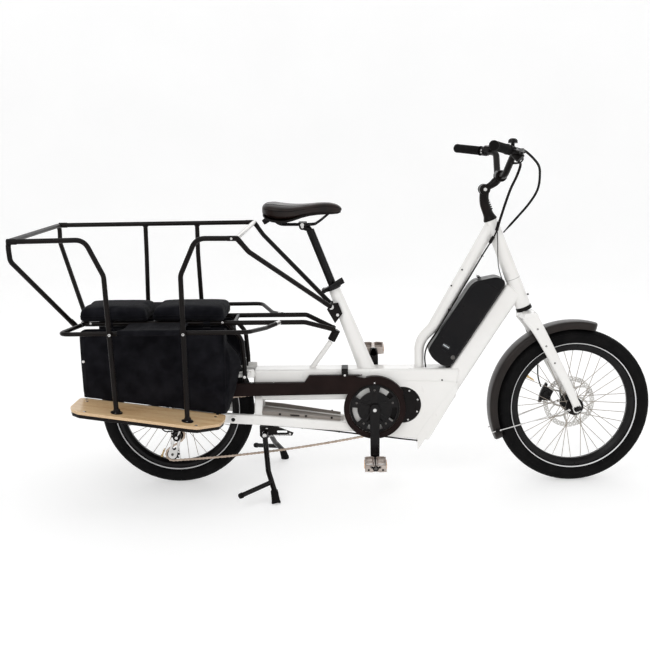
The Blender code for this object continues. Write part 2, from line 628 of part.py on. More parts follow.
def fork_leg(sign):
    """A broad flat blade from the crown to the axle."""
    stations = ((1.1860, 0.5780, 0.0250, 0.054), (1.2150, 0.5360, 0.0215, 0.056), (1.2560, 0.4620, 0.0185, 0.0575),
                (1.3195, 0.3400, 0.0145, 0.0600), (1.3480, 0.2750, 0.0130, 0.0610), (1.3560, 0.2520, 0.0090, 0.0610))
    rings = []
    points = [Vector((x, 0, z)) for x, z, _, _ in stations]
    for i, (x, z, half, y) in enumerate(stations):
        along = (points[min(i + 1, len(points) - 1)] - points[max(i - 1, 0)]).normalized()
        across = Vector((-along.z, 0, along.x))
        ring = []
        for k in range(8):
            a = 2 * pi * (k + 0.5) / 8
            ring.append(Vector((x, sign * y, z)) + across * half * cos(a) + Vector((0, 0.0100 * sin(a), 0)))
        rings.append(ring)
    return skin(rings)


def fork():
    crown = section_sweep([CROWN + Vector((0.004, -0.0620, -0.004)), CROWN + Vector((0.004, 0.0620, -0.004))],
                          0.0240, 0.0140)
    steerer = rod(CROWN, HEAD_TOP + STEER_UP * 0.002, 0.0142, 16)
    race = turned(((0.0100, 0.0), (0.0270, 0.0), (0.0270, 0.0130), (0.0100, 0.0130)),
                  HEAD_BOTTOM - STEER_UP * 0.0140, 20, STEER_UP)
    axle = rod(HUB - Vector((0, 0.0700, 0)), HUB + Vector((0, 0.0700, 0)), AXLE_R, 12)
    return [crown, steerer, race, fork_leg(1), fork_leg(-1), axle]


combine("fork", fork(), WHITE, pivot=HEAD_TOP)


def fender():
    """A crowned channel swept round the front wheel, with its wire stays."""
    centre, radius = Vector((1.349, 0, 0.267)), 0.2885
    outer = ((-0.0250, 0.0370), (-0.0090, 0.0362), (-0.0030, 0.0280), (-0.0006, 0.0140))
    outside = [(d, -y) for d, y in outer] + [(0.0, 0.0)] + [(d, y) for d, y in reversed(outer)]
    wall = 0.0024
    inside = [(d - wall, y * (1 - wall / 0.037)) for d, y in reversed(outside)]
    inside[0] = (outside[-1][0], outside[-1][1] - wall)
    inside[-1] = (outside[0][0], outside[0][1] + wall)
    rings = []
    steps = 13
    for i in range(steps + 1):
        a = radians(74 + 130 * i / steps)
        out = Vector((cos(a), 0, sin(a)))
        rings.append([centre + out * (radius + d) + Vector((0, y, 0)) for d, y in outside + inside])
    strap = section_sweep([centre + Vector((cos(2.03), 0, sin(2.03))) * 0.2870, CROWN + Vector((0.006, 0, -0.0205))],
                          0.0080, 0.0020)
    stays = [rod((1.3180, s * 0.0745, 0.2600), (1.0914, s * 0.0372, 0.1862), 0.0026, 6) for s in (1, -1)]
    return [skin(rings), strap] + stays


combine("front_fender", fender(), BROWN)

for name, x, angle, y in (("front_calliper", WHEELBASE, 160, 0.0400), ("rear_calliper", 0.0, 40, 0.0420)):
    body = ring_sector((x, TYRE_R), 0.066, 0.106, angle, 16, y - 0.0060, y + 0.0078)
    slot = drum((x, 0, TYRE_R), ROTOR_R + 0.0015, y - 0.0015, y + 0.0033, 36)
    combine(name, [body], BLACK, [slot])


def stem_base():
    quill = turned(((0.0148, -0.001), (0.0225, 0.0006), (0.0225, 0.0060), (0.0148, 0.0060)), HEAD_TOP, 18, STEER_UP)
    base = HEAD_TOP + STEER_UP * 0.0030
    column = tube([base, base + STEER_UP * 0.020, STEM_PIVOT - Vector((0, 0, 0.020)), STEM_PIVOT],
                  [0.0220, 0.0170, 0.0155, 0.0160], 14)
    ears = drum(STEM_PIVOT, 0.0175, -0.0190, 0.0190, 18)
    slot = drum(STEM_PIVOT, 0.0185, -0.0105, 0.0105, 18)
    reach = section_sweep([STEM_PIVOT, STEM_PIVOT + Vector((0.06, 0, 0.045))], 0.0105, 0.030)
    return [base_shape for base_shape in (column, ears)], [slot, reach]


stem_shapes, stem_cuts = stem_base()
combine("stem_base", stem_shapes, BLACK, stem_cuts, HEAD_TOP)


def stem_arm():
    tongue = drum(STEM_PIVOT, 0.0170, -0.0098, 0.0098, 18)
    arm = tube([STEM_PIVOT + Vector((0.006, 0, 0.004)), STEM_PIVOT + Vector((0.030, 0, 0.020)), BAR_CLAMP],
               [0.0096, 0.0125, 0.0140], 12)
    clamp = drum(BAR_CLAMP, 0.0190, -0.0220, 0.0220, 18)
    return [tongue, arm, clamp], [drum(BAR_CLAMP, BAR_R + 0.0016, -0.03, 0.03, 16)]


arm_shapes, arm_cuts = stem_arm()
combine("stem_arm", arm_shapes, BLACK, arm_cuts, STEM_PIVOT)


def bar_path():
    left = [BAR_CLAMP + Vector((0, 0.025, 0)), BAR_LOW, BAR_HIGH, GRIP_OUT]
    right = [Vector((p.x, -p.y, p.z)) for p in reversed(left)]
    return rounded(right + left, 0.05)


node("handlebar", tube(bar_path(), BAR_R, 10), BLACK, STEM_PIVOT)

GRIP_DIR = (GRIP_OUT - GRIP_IN).normalized()
for grip_name, sign in (("grip_left", 1), ("grip_right", -1)):
    flip = Matrix.Diagonal((1, sign, 1))
    start, along = flip @ GRIP_IN, flip @ GRIP_DIR
    length = (GRIP_OUT - GRIP_IN).length
    sleeve = rod(start + along * 0.012, start + along * (length + 0.006), GRIP_R, 16)
    combine(grip_name, [sleeve], GRIP, [rod(start - along * 0.01, start + along * (length + 0.0006), BAR_R + 0.0004, 14)],
            STEM_PIVOT)

FORE = GRIP_DIR.cross(Vector((0, 0, 1))).normalized()
if FORE.x < 0:
    FORE = -FORE
RAISE = FORE.cross(GRIP_DIR).normalized()
if RAISE.z < 0:
    RAISE = -RAISE


def at_grip(sign, along, fore, up):
    """A point beside the grip: along the bar from its inner end, forward of it and above it."""
    p = GRIP_IN + GRIP_DIR * along + FORE * fore + RAISE * up
    return Vector((p.x, sign * p.y, p.z))


def lever_perch(sign):
    """Clamp round the bar and the hood that holds the brake lever's pin."""
    a, b = at_grip(sign, -0.016, 0, 0), at_grip(sign, 0.002, 0, 0)
    clamp = rod(a, b, 0.0160, 14)
    hood = rod(at_grip(sign, -0.008, 0.008, 0), at_grip(sign, -0.008, 0.0340, -0.004), 0.0095, 10)
    bore = rod(at_grip(sign, -0.06, 0, 0), at_grip(sign, 0.05, 0, 0), BAR_R + 0.0006, 14)
    return clamp, hood, bore


def brake_lever(sign):
    path = [at_grip(sign, -0.0080, 0.0445, -0.005), at_grip(sign, 0.020, 0.0500, -0.006),
            at_grip(sign, 0.060, 0.0470, -0.006), at_grip(sign, 0.106, 0.0530, -0.006)]
    return tube(rounded(path, 0.03, 3), 0.0052, 8, 0.8)


for side_name, sign in (("left", 1), ("right", -1)):
    clamp, hood, bore = lever_perch(sign)
    extras, holes = [], [bore]
    if sign < 0:
        extras.append(rod(at_grip(sign, -0.043, 0, 0), at_grip(sign, -0.020, 0, 0), 0.0155, 14))
        extras.append(rod(at_grip(sign, -0.036, 0.010, -0.006), at_grip(sign, -0.036, 0.030, -0.026), 0.0160, 14))
        extras.append(rod(at_grip(sign, -0.022, 0, 0), at_grip(sign, -0.014, 0, 0), 0.0130, 12))
        extras.append(rod(at_grip(sign, -0.040, 0, 0.010), at_grip(sign, -0.040, 0, 0.0235), 0.0060, 10))
    else:
        pod_at = at_grip(sign, -0.031, 0.004, 0.010)
        pod = block((-0.022, -0.014, -0.012), (0.022, 0.014, 0.012))
        turn = Matrix((FORE, GRIP_DIR, RAISE)).transposed().to_4x4()
        bmesh.ops.transform(pod, matrix=Matrix.Translation(pod_at) @ turn, verts=pod.verts)
        extras.append(pod)
        extras.append(rod(at_grip(sign, -0.024, 0, 0), at_grip(sign, -0.014, 0, 0), 0.0140, 12))
    combine(f"controls_{side_name}", [clamp, hood] + extras, PLASTIC, holes, STEM_PIVOT)
    node(f"brake_lever_{side_name}", brake_lever(sign), BLACK, at_grip(sign, -0.0080, 0.0445, -0.005))

BELL = at_grip(-1, -0.040, 0, 0.0240)
BELL_UP = Vector((RAISE.x, -RAISE.y, RAISE.z))
node("bell", rod(BELL, BELL + BELL_UP * 0.0160, 0.0150, 18), PLASTIC, BELL)

SHIFT_PIVOT = at_grip(-1, -0.036, 0.0345, -0.0305)
shift_path = [SHIFT_PIVOT, at_grip(-1, -0.018, 0.0290, -0.0400), at_grip(-1, 0.006, 0.0130, -0.0420)]
node("shift_lever", tube(rounded(shift_path, 0.01, 2), 0.0040, 8, 0.6), PLASTIC, SHIFT_PIVOT)

# ---------------------------------------------------------------- held cables
BUNDLE_ROUTE = ((1.1420, -0.145, 1.0820), (1.1300, -0.120, 1.0450), (1.1140, -0.098, 1.0020), (1.1010, -0.068, 0.9500),
                (1.0900, -0.042, 0.9000), (1.0760, -0.0300, 0.8500), (1.0350, -0.0260, 0.7800), (0.9850, -0.0250, 0.6930),
                (0.9300, -0.0250, 0.5990), (0.8860, -0.0250, 0.5250), (0.8560, -0.0240, 0.4780), (0.8470, -0.0200, 0.4400),
                (0.8500, -0.0200, 0.4020))
HOSE_ROUTE = ((1.1500, -0.190, 1.1000), (1.1800, -0.175, 1.0850), (1.1980, -0.150, 1.0500), (1.1980, -0.110, 1.0000),
              (1.1800, -0.070, 0.9550), (1.1500, -0.035, 0.9100), (1.1200, -0.010, 0.8700), (1.1080, 0.0, 0.8540))


def smooth_route(points, steps=2):
    """A smooth curve through hand-placed points."""
    points = [Vector(p) for p in points]
    path = []
    for i in range(len(points) - 1):
        p0, p1 = points[max(i - 1, 0)], points[i]
        p2, p3 = points[i + 1], points[min(i + 2, len(points) - 1)]
        for k in range(steps):
            t = k / steps
            path.append(0.5 * ((2 * p1) + (p2 - p0) * t + (2 * p0 - 5 * p1 + 4 * p2 - p3) * t * t
                               + (3 * p1 - p0 - 3 * p2 + p3) * t ** 3))
    path.append(points[-1])
    return path


def cable(name, route, radius):
    data = bpy.data.curves.new(name, "CURVE")
    data.dimensions = "3D"
    data.bevel_depth = radius
    data.bevel_resolution = 2
    data.use_fill_caps = True
    data.materials.append(PLASTIC)
    points = smooth_route(route)
    line = data.splines.new("POLY")
    line.points.add(len(points) - 1)
    for point, place in zip(line.points, points):
        point.co = (*place, 1)
    thing = bpy.data.objects.new(name, data)
    bpy.context.collection.objects.link(thing)
    thing.parent = BIKE


cable("cable_bundle", BUNDLE_ROUTE, 0.0042)
cable("brake_hose", HOSE_ROUTE, 0.0045)


# ---------------------------------------------------------------- rack, rails and cage
def rack():
    half = [(RACK_REAR, 0.0, RACK_Z), (RACK_REAR, RACK_Y, RACK_Z), (0.446, RACK_Y, RACK_Z), (0.5420, 0.0125, 0.5330)]
    right = [Vector((x, -y, z)) for x, y, z in half]
    shapes = [tube(rounded(half, 0.025), RACK_R), tube(rounded(right, 0.025), RACK_R)]
    shapes.append(rod((0.5500, 0, 0.5300), (0.5310, 0, 0.4935), 0.0135, 14))
    for x in (-0.19, -0.06, 0.07, 0.21):
        shapes.append(rod((x, -RACK_Y, RACK_Z), (x, RACK_Y, RACK_Z), 0.0065, 6))
    for sign in (1, -1):
        front = [(0.1850, sign * 0.0700, 0.5700), (0.2330, sign * 0.0690, 0.5150), (0.2400, sign * 0.0680, 0.4300),
                 (0.2400, sign * 0.0680, 0.3680)]
        shapes.append(tube(rounded(front, 0.05), 0.0075, 8))
        rear = [(-0.0600, sign * 0.0740, 0.5680), (-0.0150, sign * 0.0870, 0.3100), (-0.0100, sign * 0.0870, 0.2700)]
        shapes.append(tube(rounded(rear, 0.05, 3), 0.0070, 8))
    socket = rod((0.5222, 0, 0.4780), (0.5420, 0, 0.5120), 0.0093, 12)
    return shapes, [socket]


rack_shapes, rack_cuts = rack()
combine("rack", rack_shapes, BLACK, rack_cuts)


def board_top(x):
    return BOARD_REAR[1] - BOARD_SLOPE * (x - BOARD_REAR[0])


def flange(x, y):
    """The round foot under a cage post, square to the sloping board."""
    up = Vector((BOARD_SLOPE, 0, 1)).normalized()
    at = Vector((x, y, board_top(x))) + up * GAP
    return rod(at, at + up * 0.0040, 0.0190, 12)


CAGE_CORNER = 0.2513
rear_post = rounded([(-0.4490, -CAGE_Y, CAGE_Z), (-0.2200, -CAGE_Y, CAGE_Z + 0.003), (-0.1650, -CAGE_Y, 0.7600),
                     (-0.1460, -FOOT_Y, board_top(-0.146) + 0.003)], 0.045)
combine("cage_post_rear", [tube(rear_post, CAGE_R), flange(-0.146, -FOOT_Y)], BLACK)
front_post = rounded([(CAGE_CORNER - 0.0095, -CAGE_Y, CAGE_Z + 0.003), (0.1250, -CAGE_Y, CAGE_Z + 0.004),
                      (0.0735, -CAGE_Y, 0.7600), (0.0784, -FOOT_Y, board_top(0.0784) + 0.003)], 0.045)
combine("cage_post_front", [tube(front_post, CAGE_R), flange(0.0784, -FOOT_Y)], BLACK)

left_rail = [rod((-0.4490, CAGE_Y, CAGE_Z), (CAGE_CORNER - 0.0095, CAGE_Y, CAGE_Z + 0.003), CAGE_R, 8)]
for top_x, foot_x in ((-0.1440, -0.1500), (0.0440, 0.0620)):
    bend = rounded([(top_x, CAGE_Y, CAGE_Z), (top_x, CAGE_Y, 0.7600), (foot_x, FOOT_Y, board_top(foot_x) + 0.003)],
                   0.06, 3)
    left_rail += [tube(bend, CAGE_R), flange(foot_x, FOOT_Y)]
combine("cage_left", left_rail, BLACK)

half_hoop = [(-0.3235, -0.0800, 0.5700), (-0.4560, -0.2860, 0.8080), (-0.4575, -CAGE_Y, CAGE_Z)]
hoop = half_hoop + [(x, -y, z) for x, y, z in reversed(half_hoop)]
node("cage_hoop_rear", tube(rounded(hoop, 0.035), CAGE_R), BLACK)


def front_stays():
    """Two stays from the cage's front corners to plates beside the seat tube, and the bar across."""
    shapes = []
    level = CAGE_Z + 0.003
    across = [(CAGE_CORNER, -CAGE_Y, level), (CAGE_CORNER, CAGE_Y, level)]
    for sign in (1, -1):
        stay = [(CAGE_CORNER, sign * CAGE_Y, level), (0.2850, sign * 0.2780, 0.8290), (0.5300, sign * 0.0330, 0.6150)]
        shapes.append(tube(rounded(stay, 0.04), CAGE_R))
    shapes.insert(0, rod(*across, CAGE_R - 0.0005, 8))
    for sign in (1, -1):
        y0, y1 = sorted((sign * 0.0240, sign * 0.0300))
        shapes.append(slab(((0.5330, 0.6250), (0.5560, 0.6270), (0.5700, 0.5900), (0.5450, 0.5570), (0.5180, 0.6050)),
                           y0, y1))
        shapes.append(rod((0.5330, sign * 0.0200, 0.6130), (0.5330, sign * 0.0360, 0.6130), 0.0085, 10))
    return shapes


combine("cage_front_stays", front_stays(), BLACK)

for side_name, sign in (("left", 1), ("right", -1)):
    route = [(-0.2940, sign * 0.0845, 0.5700), (-0.3220, sign * SIDE_RAIL_Y, 0.5750),
             (0.2750, sign * SIDE_RAIL_Y, 0.5770), (0.3225, sign * 0.1500, 0.5660), (0.3585, sign * 0.0845, 0.5705)]
    node(f"side_rail_{side_name}", tube(rounded(route, 0.035), SIDE_RAIL_R), BLACK)


# ---------------------------------------------------------------- boards, panniers and cushions
def sloped_plate(outline, sign, top_drop, bottom_drop):
    """A plate along the board's slope, between two depths below the board's top."""
    rings = []
    for drop in (bottom_drop, top_drop):
        rings.append([Vector((x, sign * y, board_top(x) - drop)) for x, y in outline])
    return skin(rings)


def inset(outline, amount):
    cx = sum(x for x, _ in outline) / len(outline)
    cy = sum(y for _, y in outline) / len(outline)
    return [(x - amount * (1 if x > cx else -1), y - amount * (1 if y > cy else -1)) for x, y in outline]


for side_name, sign in (("left", 1), ("right", -1)):
    node(f"footboard_{side_name}", sloped_plate(BOARD_OUTLINE, sign, 0, BOARD_T), WOOD)
    top, bottom = BOARD_T + GAP, BOARD_T + TRAY_T
    arms = []
    for x in (0.150, -0.060):
        reach = ((x - 0.013, 0.0885), (x + 0.013, 0.0885), (x + 0.013, 0.250), (x - 0.013, 0.250))
        arms.append(sloped_plate(reach, sign, top + 0.001, bottom + 0.004))
    combine(f"tray_{side_name}", [sloped_plate(inset(BOARD_OUTLINE, 0.003), sign, top, bottom)] + arms, BLACK)

BAG_INNER, BAG_OUTER, BAG_WALL = 0.0965, 0.1760, 0.0040
BAG_REAR, BAG_TOP = -0.2850, 0.5580
BAG_FRONT = ((0.1860, 0.1860, 0.5580), (0.1873, 0.1868, 0.5166), (0.2255, 0.1890, 0.4740), (0.2331, 0.1893, 0.4484),
             (0.2119, 0.1880, 0.3632), (0.1860, 0.1850, 0.2840))       # x inside, x outside, z
FLAP_REAR, FLAP_FRONT = -0.1340, {-1: 0.0620, 1: 0.0430}
FLAP_RAIL_Z = 0.5761


def bag_solid(sign, wall, lift):
    """The bag's block, tapering at the front towards its outer side; wall draws every side in."""
    rings = []
    for inside in (True, False):
        y = (BAG_INNER + wall) if inside else (BAG_OUTER - wall)
        front = [((a if inside else b) - wall * 1.5, z) for a, b, z in BAG_FRONT]
        front[0] = (front[0][0], BAG_TOP + lift)
        front[-1] = (front[-1][0], board_top(0.185) + 0.0040 + wall)
        side = [(BAG_REAR + wall, BAG_TOP + lift)] + front + [(BAG_REAR + 0.0035 + wall, board_top(-0.2815) + 0.0040 + wall)]
        rings.append([Vector((x, sign * y, z)) for x, z in side])
    return skin(rings)


def bag_flap(sign):
    """Cloth from the bag's outer edge over the side rail, between the two cage posts."""
    over = [(SIDE_RAIL_Y + 0.0108 * cos(radians(a)), FLAP_RAIL_Z + 0.0108 * sin(radians(a))) for a in range(110, -41, -25)]
    under = [(SIDE_RAIL_Y + 0.0082 * cos(radians(a)), FLAP_RAIL_Z + 0.0082 * sin(radians(a))) for a in range(-40, 111, 25)]
    section = [(0.1735, 0.5570), *over, *under, (0.1735, 0.5535)]
    return skin([[Vector((x, sign * y, z)) for y, z in section] for x in (FLAP_REAR, FLAP_FRONT[sign])])


for side_name, sign in (("left", 1), ("right", -1)):
    combine(f"pannier_{side_name}", [bag_solid(sign, 0.0, 0.0), bag_flap(sign)], FABRIC,
            [bag_solid(sign, BAG_WALL, 0.0400)])

for cushion_name, x0, x1 in (("cushion_rear", -0.3050, -0.0730), ("cushion_front", -0.0640, 0.1860)):
    pad = node(cushion_name, block((x0, -0.1000, 0.5790), (x1, 0.1000, 0.6280)), FABRIC)
    edge = pad.modifiers.new("edge", "BEVEL")
    edge.width = 0.010
    edge.segments = 2


# ---------------------------------------------------------------- centre stand
def stand_bracket():
    top = block((0.2850, -0.0560, 0.2040), (0.3400, 0.0560, 0.2100))
    cheeks = []
    for sign in (1, -1):
        y0, y1 = sorted((sign * 0.0560, sign * 0.0600))
        cheeks.append(slab(((0.2850, 0.2100), (0.2850, 0.1750), (0.2950, 0.1660), (0.3120, 0.1660), (0.3200, 0.1800),
                            (0.3950, 0.1760), (0.4000, 0.1860), (0.3400, 0.2100)), y0, y1))
        lugs = block((0.2900, min(sign * 0.0560, sign * 0.0720), 0.2060), (0.3300, max(sign * 0.0560, sign * 0.0720), 0.2110))
        cheeks.append(lugs)
    return [top] + cheeks, [drum(STAND_PIVOT, 0.0100, -0.08, 0.08, 14)]


bracket_shapes, bracket_cuts = stand_bracket()
combine("stand_bracket", bracket_shapes, BLACK, bracket_cuts)


def stand_foot(sign):
    """A flared foot whose sole lies flat on the ground."""
    toe, tip = Vector((0.3500, sign * 0.2440, 0)), Vector((0.3420, sign * 0.2220, 0.0400))
    along = (tip - toe).normalized()
    side = along.cross(Vector((0, 0, 1))).normalized()
    over = side.cross(along)
    rings = []
    for base, radius in ((toe, 0.0150), (tip, 0.0125)):
        ring = [base + (side * cos(2 * pi * k / 10) + over * sin(2 * pi * k / 10)) * radius for k in range(10)]
        if base is toe:
            ring = [p - along * (p.z / along.z) for p in ring]
        rings.append(ring)
    return skin(rings)


def kickstand():
    shapes = [drum(STAND_PIVOT, 0.0092, -0.0840, 0.0840, 10)]
    for sign in (1, -1):
        leg = rounded([(0.3032, sign * 0.0760, 0.1860), (0.3080, sign * 0.0900, 0.1400), (0.3200, sign * 0.1650, 0.0850),
                       (0.3455, sign * 0.2300, 0.0330)], 0.05, 3)
        shapes.append(tube(leg, 0.0090, 8))
        shapes.append(rod((0.3330, sign * 0.2010, 0.0600), (0.2360, sign * 0.2800, 0.0400), 0.0080, 8))
        shapes.append(stand_foot(sign))
    return shapes


combine("kickstand", kickstand(), BLACK, pivot=STAND_PIVOT)
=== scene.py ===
"""Looks of the longtail cargo bicycle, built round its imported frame.

Places are worked out in metres from the rear axle: x = 0 at the rear axle, y = 0 in the wheels' plane,
z = 0 on the ground, the right side at -y.  `piece` shifts every mesh by -MIDDLE_X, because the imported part
has x = 0 at its middle.  An (x, z) pair is a point in a plane seen from the side.
"""
from math import acos, asin, atan2, cos, degrees, exp, hypot, pi, radians, sin, tan, tau

import bmesh
import bpy
from mathutils import Matrix, Vector, noise


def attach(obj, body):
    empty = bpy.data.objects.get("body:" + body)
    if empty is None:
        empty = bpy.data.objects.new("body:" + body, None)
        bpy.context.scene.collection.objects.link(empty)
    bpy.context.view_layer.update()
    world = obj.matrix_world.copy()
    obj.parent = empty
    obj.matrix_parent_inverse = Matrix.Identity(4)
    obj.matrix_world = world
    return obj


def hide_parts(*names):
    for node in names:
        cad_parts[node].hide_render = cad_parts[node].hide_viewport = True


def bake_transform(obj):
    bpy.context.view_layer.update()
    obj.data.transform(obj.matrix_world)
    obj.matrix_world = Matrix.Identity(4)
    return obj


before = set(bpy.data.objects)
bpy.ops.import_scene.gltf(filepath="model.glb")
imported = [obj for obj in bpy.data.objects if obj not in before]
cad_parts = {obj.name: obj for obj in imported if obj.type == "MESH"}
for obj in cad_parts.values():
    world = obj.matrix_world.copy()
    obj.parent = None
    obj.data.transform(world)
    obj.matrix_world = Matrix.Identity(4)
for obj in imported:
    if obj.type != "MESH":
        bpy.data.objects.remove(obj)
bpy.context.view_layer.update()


def vec(x, y, z):
    return Vector((x, y, z))


# wheels and drive: BB is the crank's axis, LINK the chain's pitch
MIDDLE_X, WHEELBASE, TYRE_R, LINK = 0.57435, 1.352, 0.263, 0.0127
BB = (0.676, 0.268)
BB3 = vec(BB[0], 0, BB[1])
CRANK, CHAIN_Y, CHAIN_SAG = 0.17, -0.05, 0.014
GUIDE_PULLEY, TENSION_PULLEY = (0.004, 0.178), (-0.0165, 0.111)
# frame: head tube, seat tube, main beam, down tube's lower edge and the motor's drum
HEAD_TOP = vec(1.0645, 0, 0.895)
HEAD_BOTTOM = vec(1.1776, 0, 0.6053)
STEER_UP = (HEAD_TOP - HEAD_BOTTOM).normalized()
CROWN = HEAD_BOTTOM - STEER_UP * 0.03
SEAT_TOP = vec(0.5385, 0, 0.6815)
SEAT_UP = vec(-cos(radians(68.6)), 0, sin(radians(68.6)))
BEAM_TOP, BEAM_BOTTOM, BEAM_HALF = 0.4005, 0.2945, 0.04
DOWN_EDGE = vec(0.9364, 0, 0.4058)
DOWN_UP = vec(0.5446, 0, 0.8387)
DOWN_OUT = vec(-0.8387, 0, 0.5446)
DOWN_DEPTH = 0.063
DRUM = (0.7706, 0.2762)
DRUM3 = vec(DRUM[0], 0, DRUM[1])
DRUM_R = 0.062
# stem, handlebar and the right half of the bar's ends
STEM_PIVOT = vec(1.042, 0, 0.997)
BAR_CLAMP = vec(1.095, 0, 1.04)
GRIP_IN = vec(1.078, 0.2, 1.123)
GRIP_OUT = vec(1.008, 0.32, 1.135)
BAR_R = 0.011
# load area
RACK_Z, RACK_Y, RACK_REAR = 0.57, 0.073, -0.3
CAGE_Y, CAGE_Z, CAGE_R = 0.297, 0.87, 0.008
FOOT_Y, SIDE_RAIL_Y = 0.298, 0.2805
REST_STEER_DEG = 4.2   # the front end stands a little to the left at rest
TURN = Matrix.Rotation(radians(REST_STEER_DEG), 3, STEER_UP)
TURNED = {"steering", "handlebar", "brake_lever_left", "brake_lever_right", "shift_lever", "bell", "front_wheel"}
STAND_PIVOT = vec(0.3032, 0, 0.184)
BOARD_SLOPE, BOARD_REAR_X, BOARD_REAR_Z = 0.1308, -0.2906, 0.3426   # the footboards fall towards the front
PLY = 0.003


# ---------------------------------------------------------------- materials
def principled(name):
    """A new material, its nodes, links and shader, and its object coordinates."""
    material = bpy.data.materials.new(name)
    material.use_nodes = True
    nodes, links = material.node_tree.nodes, material.node_tree.links
    return material, nodes, links, nodes["Principled BSDF"], nodes.new("ShaderNodeTexCoord").outputs["Object"]


def add(nodes, kind, **values):
    made = nodes.new(kind)
    for key, value in values.items():
        if key in made.inputs:
            made.inputs[key].default_value = value
        else:
            setattr(made, key, value)
    return made


def compute(nodes, links, operation, *values):
    """A math node fed by sockets or by plain numbers."""
    made = add(nodes, "ShaderNodeMath", operation=operation)
    for socket, value in zip(made.inputs, values):
        if isinstance(value, float):
            socket.default_value = value
        else:
            links.new(value, socket)
    return made.outputs[0]


def noise_at(nodes, links, where, scale, detail=4.0, stretch=None):
    made = add(nodes, "ShaderNodeTexNoise", Scale=scale, Detail=detail)
    if stretch:
        mapping = add(nodes, "ShaderNodeMapping", Scale=stretch)
        links.new(where, mapping.inputs["Vector"])
        where = mapping.outputs["Vector"]
    links.new(where, made.inputs["Vector"])
    return made.outputs["Fac"]


def ramp(nodes, links, fac, stops):
    made = nodes.new("ShaderNodeValToRGB")
    while len(made.color_ramp.elements) < len(stops):
        made.color_ramp.elements.new(0.5)
    for element, (place, colour) in zip(made.color_ramp.elements, stops):
        element.position = place
        element.color = (*colour, 1)
    links.new(fac, made.inputs["Fac"])
    return made.outputs["Color"]


def bump(nodes, links, shader, height, strength, distance):
    made = add(nodes, "ShaderNodeBump", Strength=strength, Distance=distance)
    links.new(height, made.inputs["Height"])
    links.new(made.outputs["Normal"], shader.inputs["Normal"])


def roughness(nodes, links, shader, fac, low, high):
    """Roughness that wanders between two values."""
    spread = nodes.new("ShaderNodeMapRange")
    spread.inputs["To Min"].default_value = low
    spread.inputs["To Max"].default_value = high
    links.new(fac, spread.inputs["Value"])
    links.new(spread.outputs["Result"], shader.inputs["Roughness"])


ROUGH_SPREAD = 0.08


def finish(name, rgb, rough, metal=0.0, tint=None, patch=14.0, grain=900.0, depth=0.00008, strength=0.25,
        stretch=None, coat=0.0, specular=0.5):
    """A surface with patchy colour and roughness and a fine grain."""
    material, nodes, links, shader, where = principled(name)
    tint = tint or tuple(min(1.0, c * 1.25 + 0.004) for c in rgb)
    blotch = noise_at(nodes, links, where, patch, 5.0)
    colour = ramp(nodes, links, blotch, ((0.3, rgb), (0.72, tint)))
    links.new(colour, shader.inputs["Base Color"])
    roughness(nodes, links, shader, noise_at(nodes, links, where, patch * 3.3, 6.0, stretch),
            max(0.02, rough - ROUGH_SPREAD), min(1.0, rough + ROUGH_SPREAD))
    bump(nodes, links, shader, noise_at(nodes, links, where, grain, 3.0, stretch), strength, depth)
    shader.inputs["Metallic"].default_value = metal
    shader.inputs["Coat Weight"].default_value = coat
    shader.inputs["Coat Roughness"].default_value = 0.12
    shader.inputs["Specular IOR Level"].default_value = specular
    return material


def woven(name, rgb, thread=0.0016, lift=0.35, rough=0.92, sheen=0.25):
    """Plain weave from three crossed bands, with slubs and a faint dusting of lighter fibre."""
    material, nodes, links, shader, where = principled(name)
    total = None
    for direction in ("X", "Y", "Z"):
        band = add(nodes, "ShaderNodeTexWave", Scale=0.314 / thread, Distortion=1.2)
        band.bands_direction = direction
        band.inputs["Detail Scale"].default_value = 2.0
        links.new(where, band.inputs["Vector"])
        fac = band.outputs["Fac"]
        total = fac if total is None else compute(nodes, links, "ADD", total, fac)
    slub = noise_at(nodes, links, where, 26.0, 6.0)
    lighter = tuple(min(1.0, c * 2.2 + 0.006) for c in rgb)
    links.new(ramp(nodes, links, slub, ((0.35, rgb), (0.8, lighter))), shader.inputs["Base Color"])
    bump(nodes, links, shader, total, lift, 0.0005)
    shader.inputs["Roughness"].default_value = rough
    shader.inputs["Sheen Weight"].default_value = sheen
    shader.inputs["Sheen Roughness"].default_value = 0.5
    shader.inputs["Specular IOR Level"].default_value = 0.1
    return material


def pebbled(name, rgb, rough=0.42, cell=700.0):
    """Grained vinyl: small cells with creases between them."""
    material, nodes, links, shader, where = principled(name)
    cells = add(nodes, "ShaderNodeTexVoronoi", Scale=cell)
    links.new(where, cells.inputs["Vector"])
    bump(nodes, links, shader, cells.outputs["Distance"], 0.25, 0.0002)
    # the lighter brown patches are painted sheen
    colour = ramp(nodes, links, noise_at(nodes, links, where, 24.0, 5.0),
            ((0.3, rgb), (0.8, (rgb[0] * 3.0 + 0.004, rgb[1] * 2.0 + 0.002, rgb[2] * 1.6 + 0.001))))
    links.new(colour, shader.inputs["Base Color"])
    roughness(nodes, links, shader, noise_at(nodes, links, where, 40.0), rough - 0.08, rough + 0.1)
    shader.inputs["Specular IOR Level"].default_value = 0.24
    return material


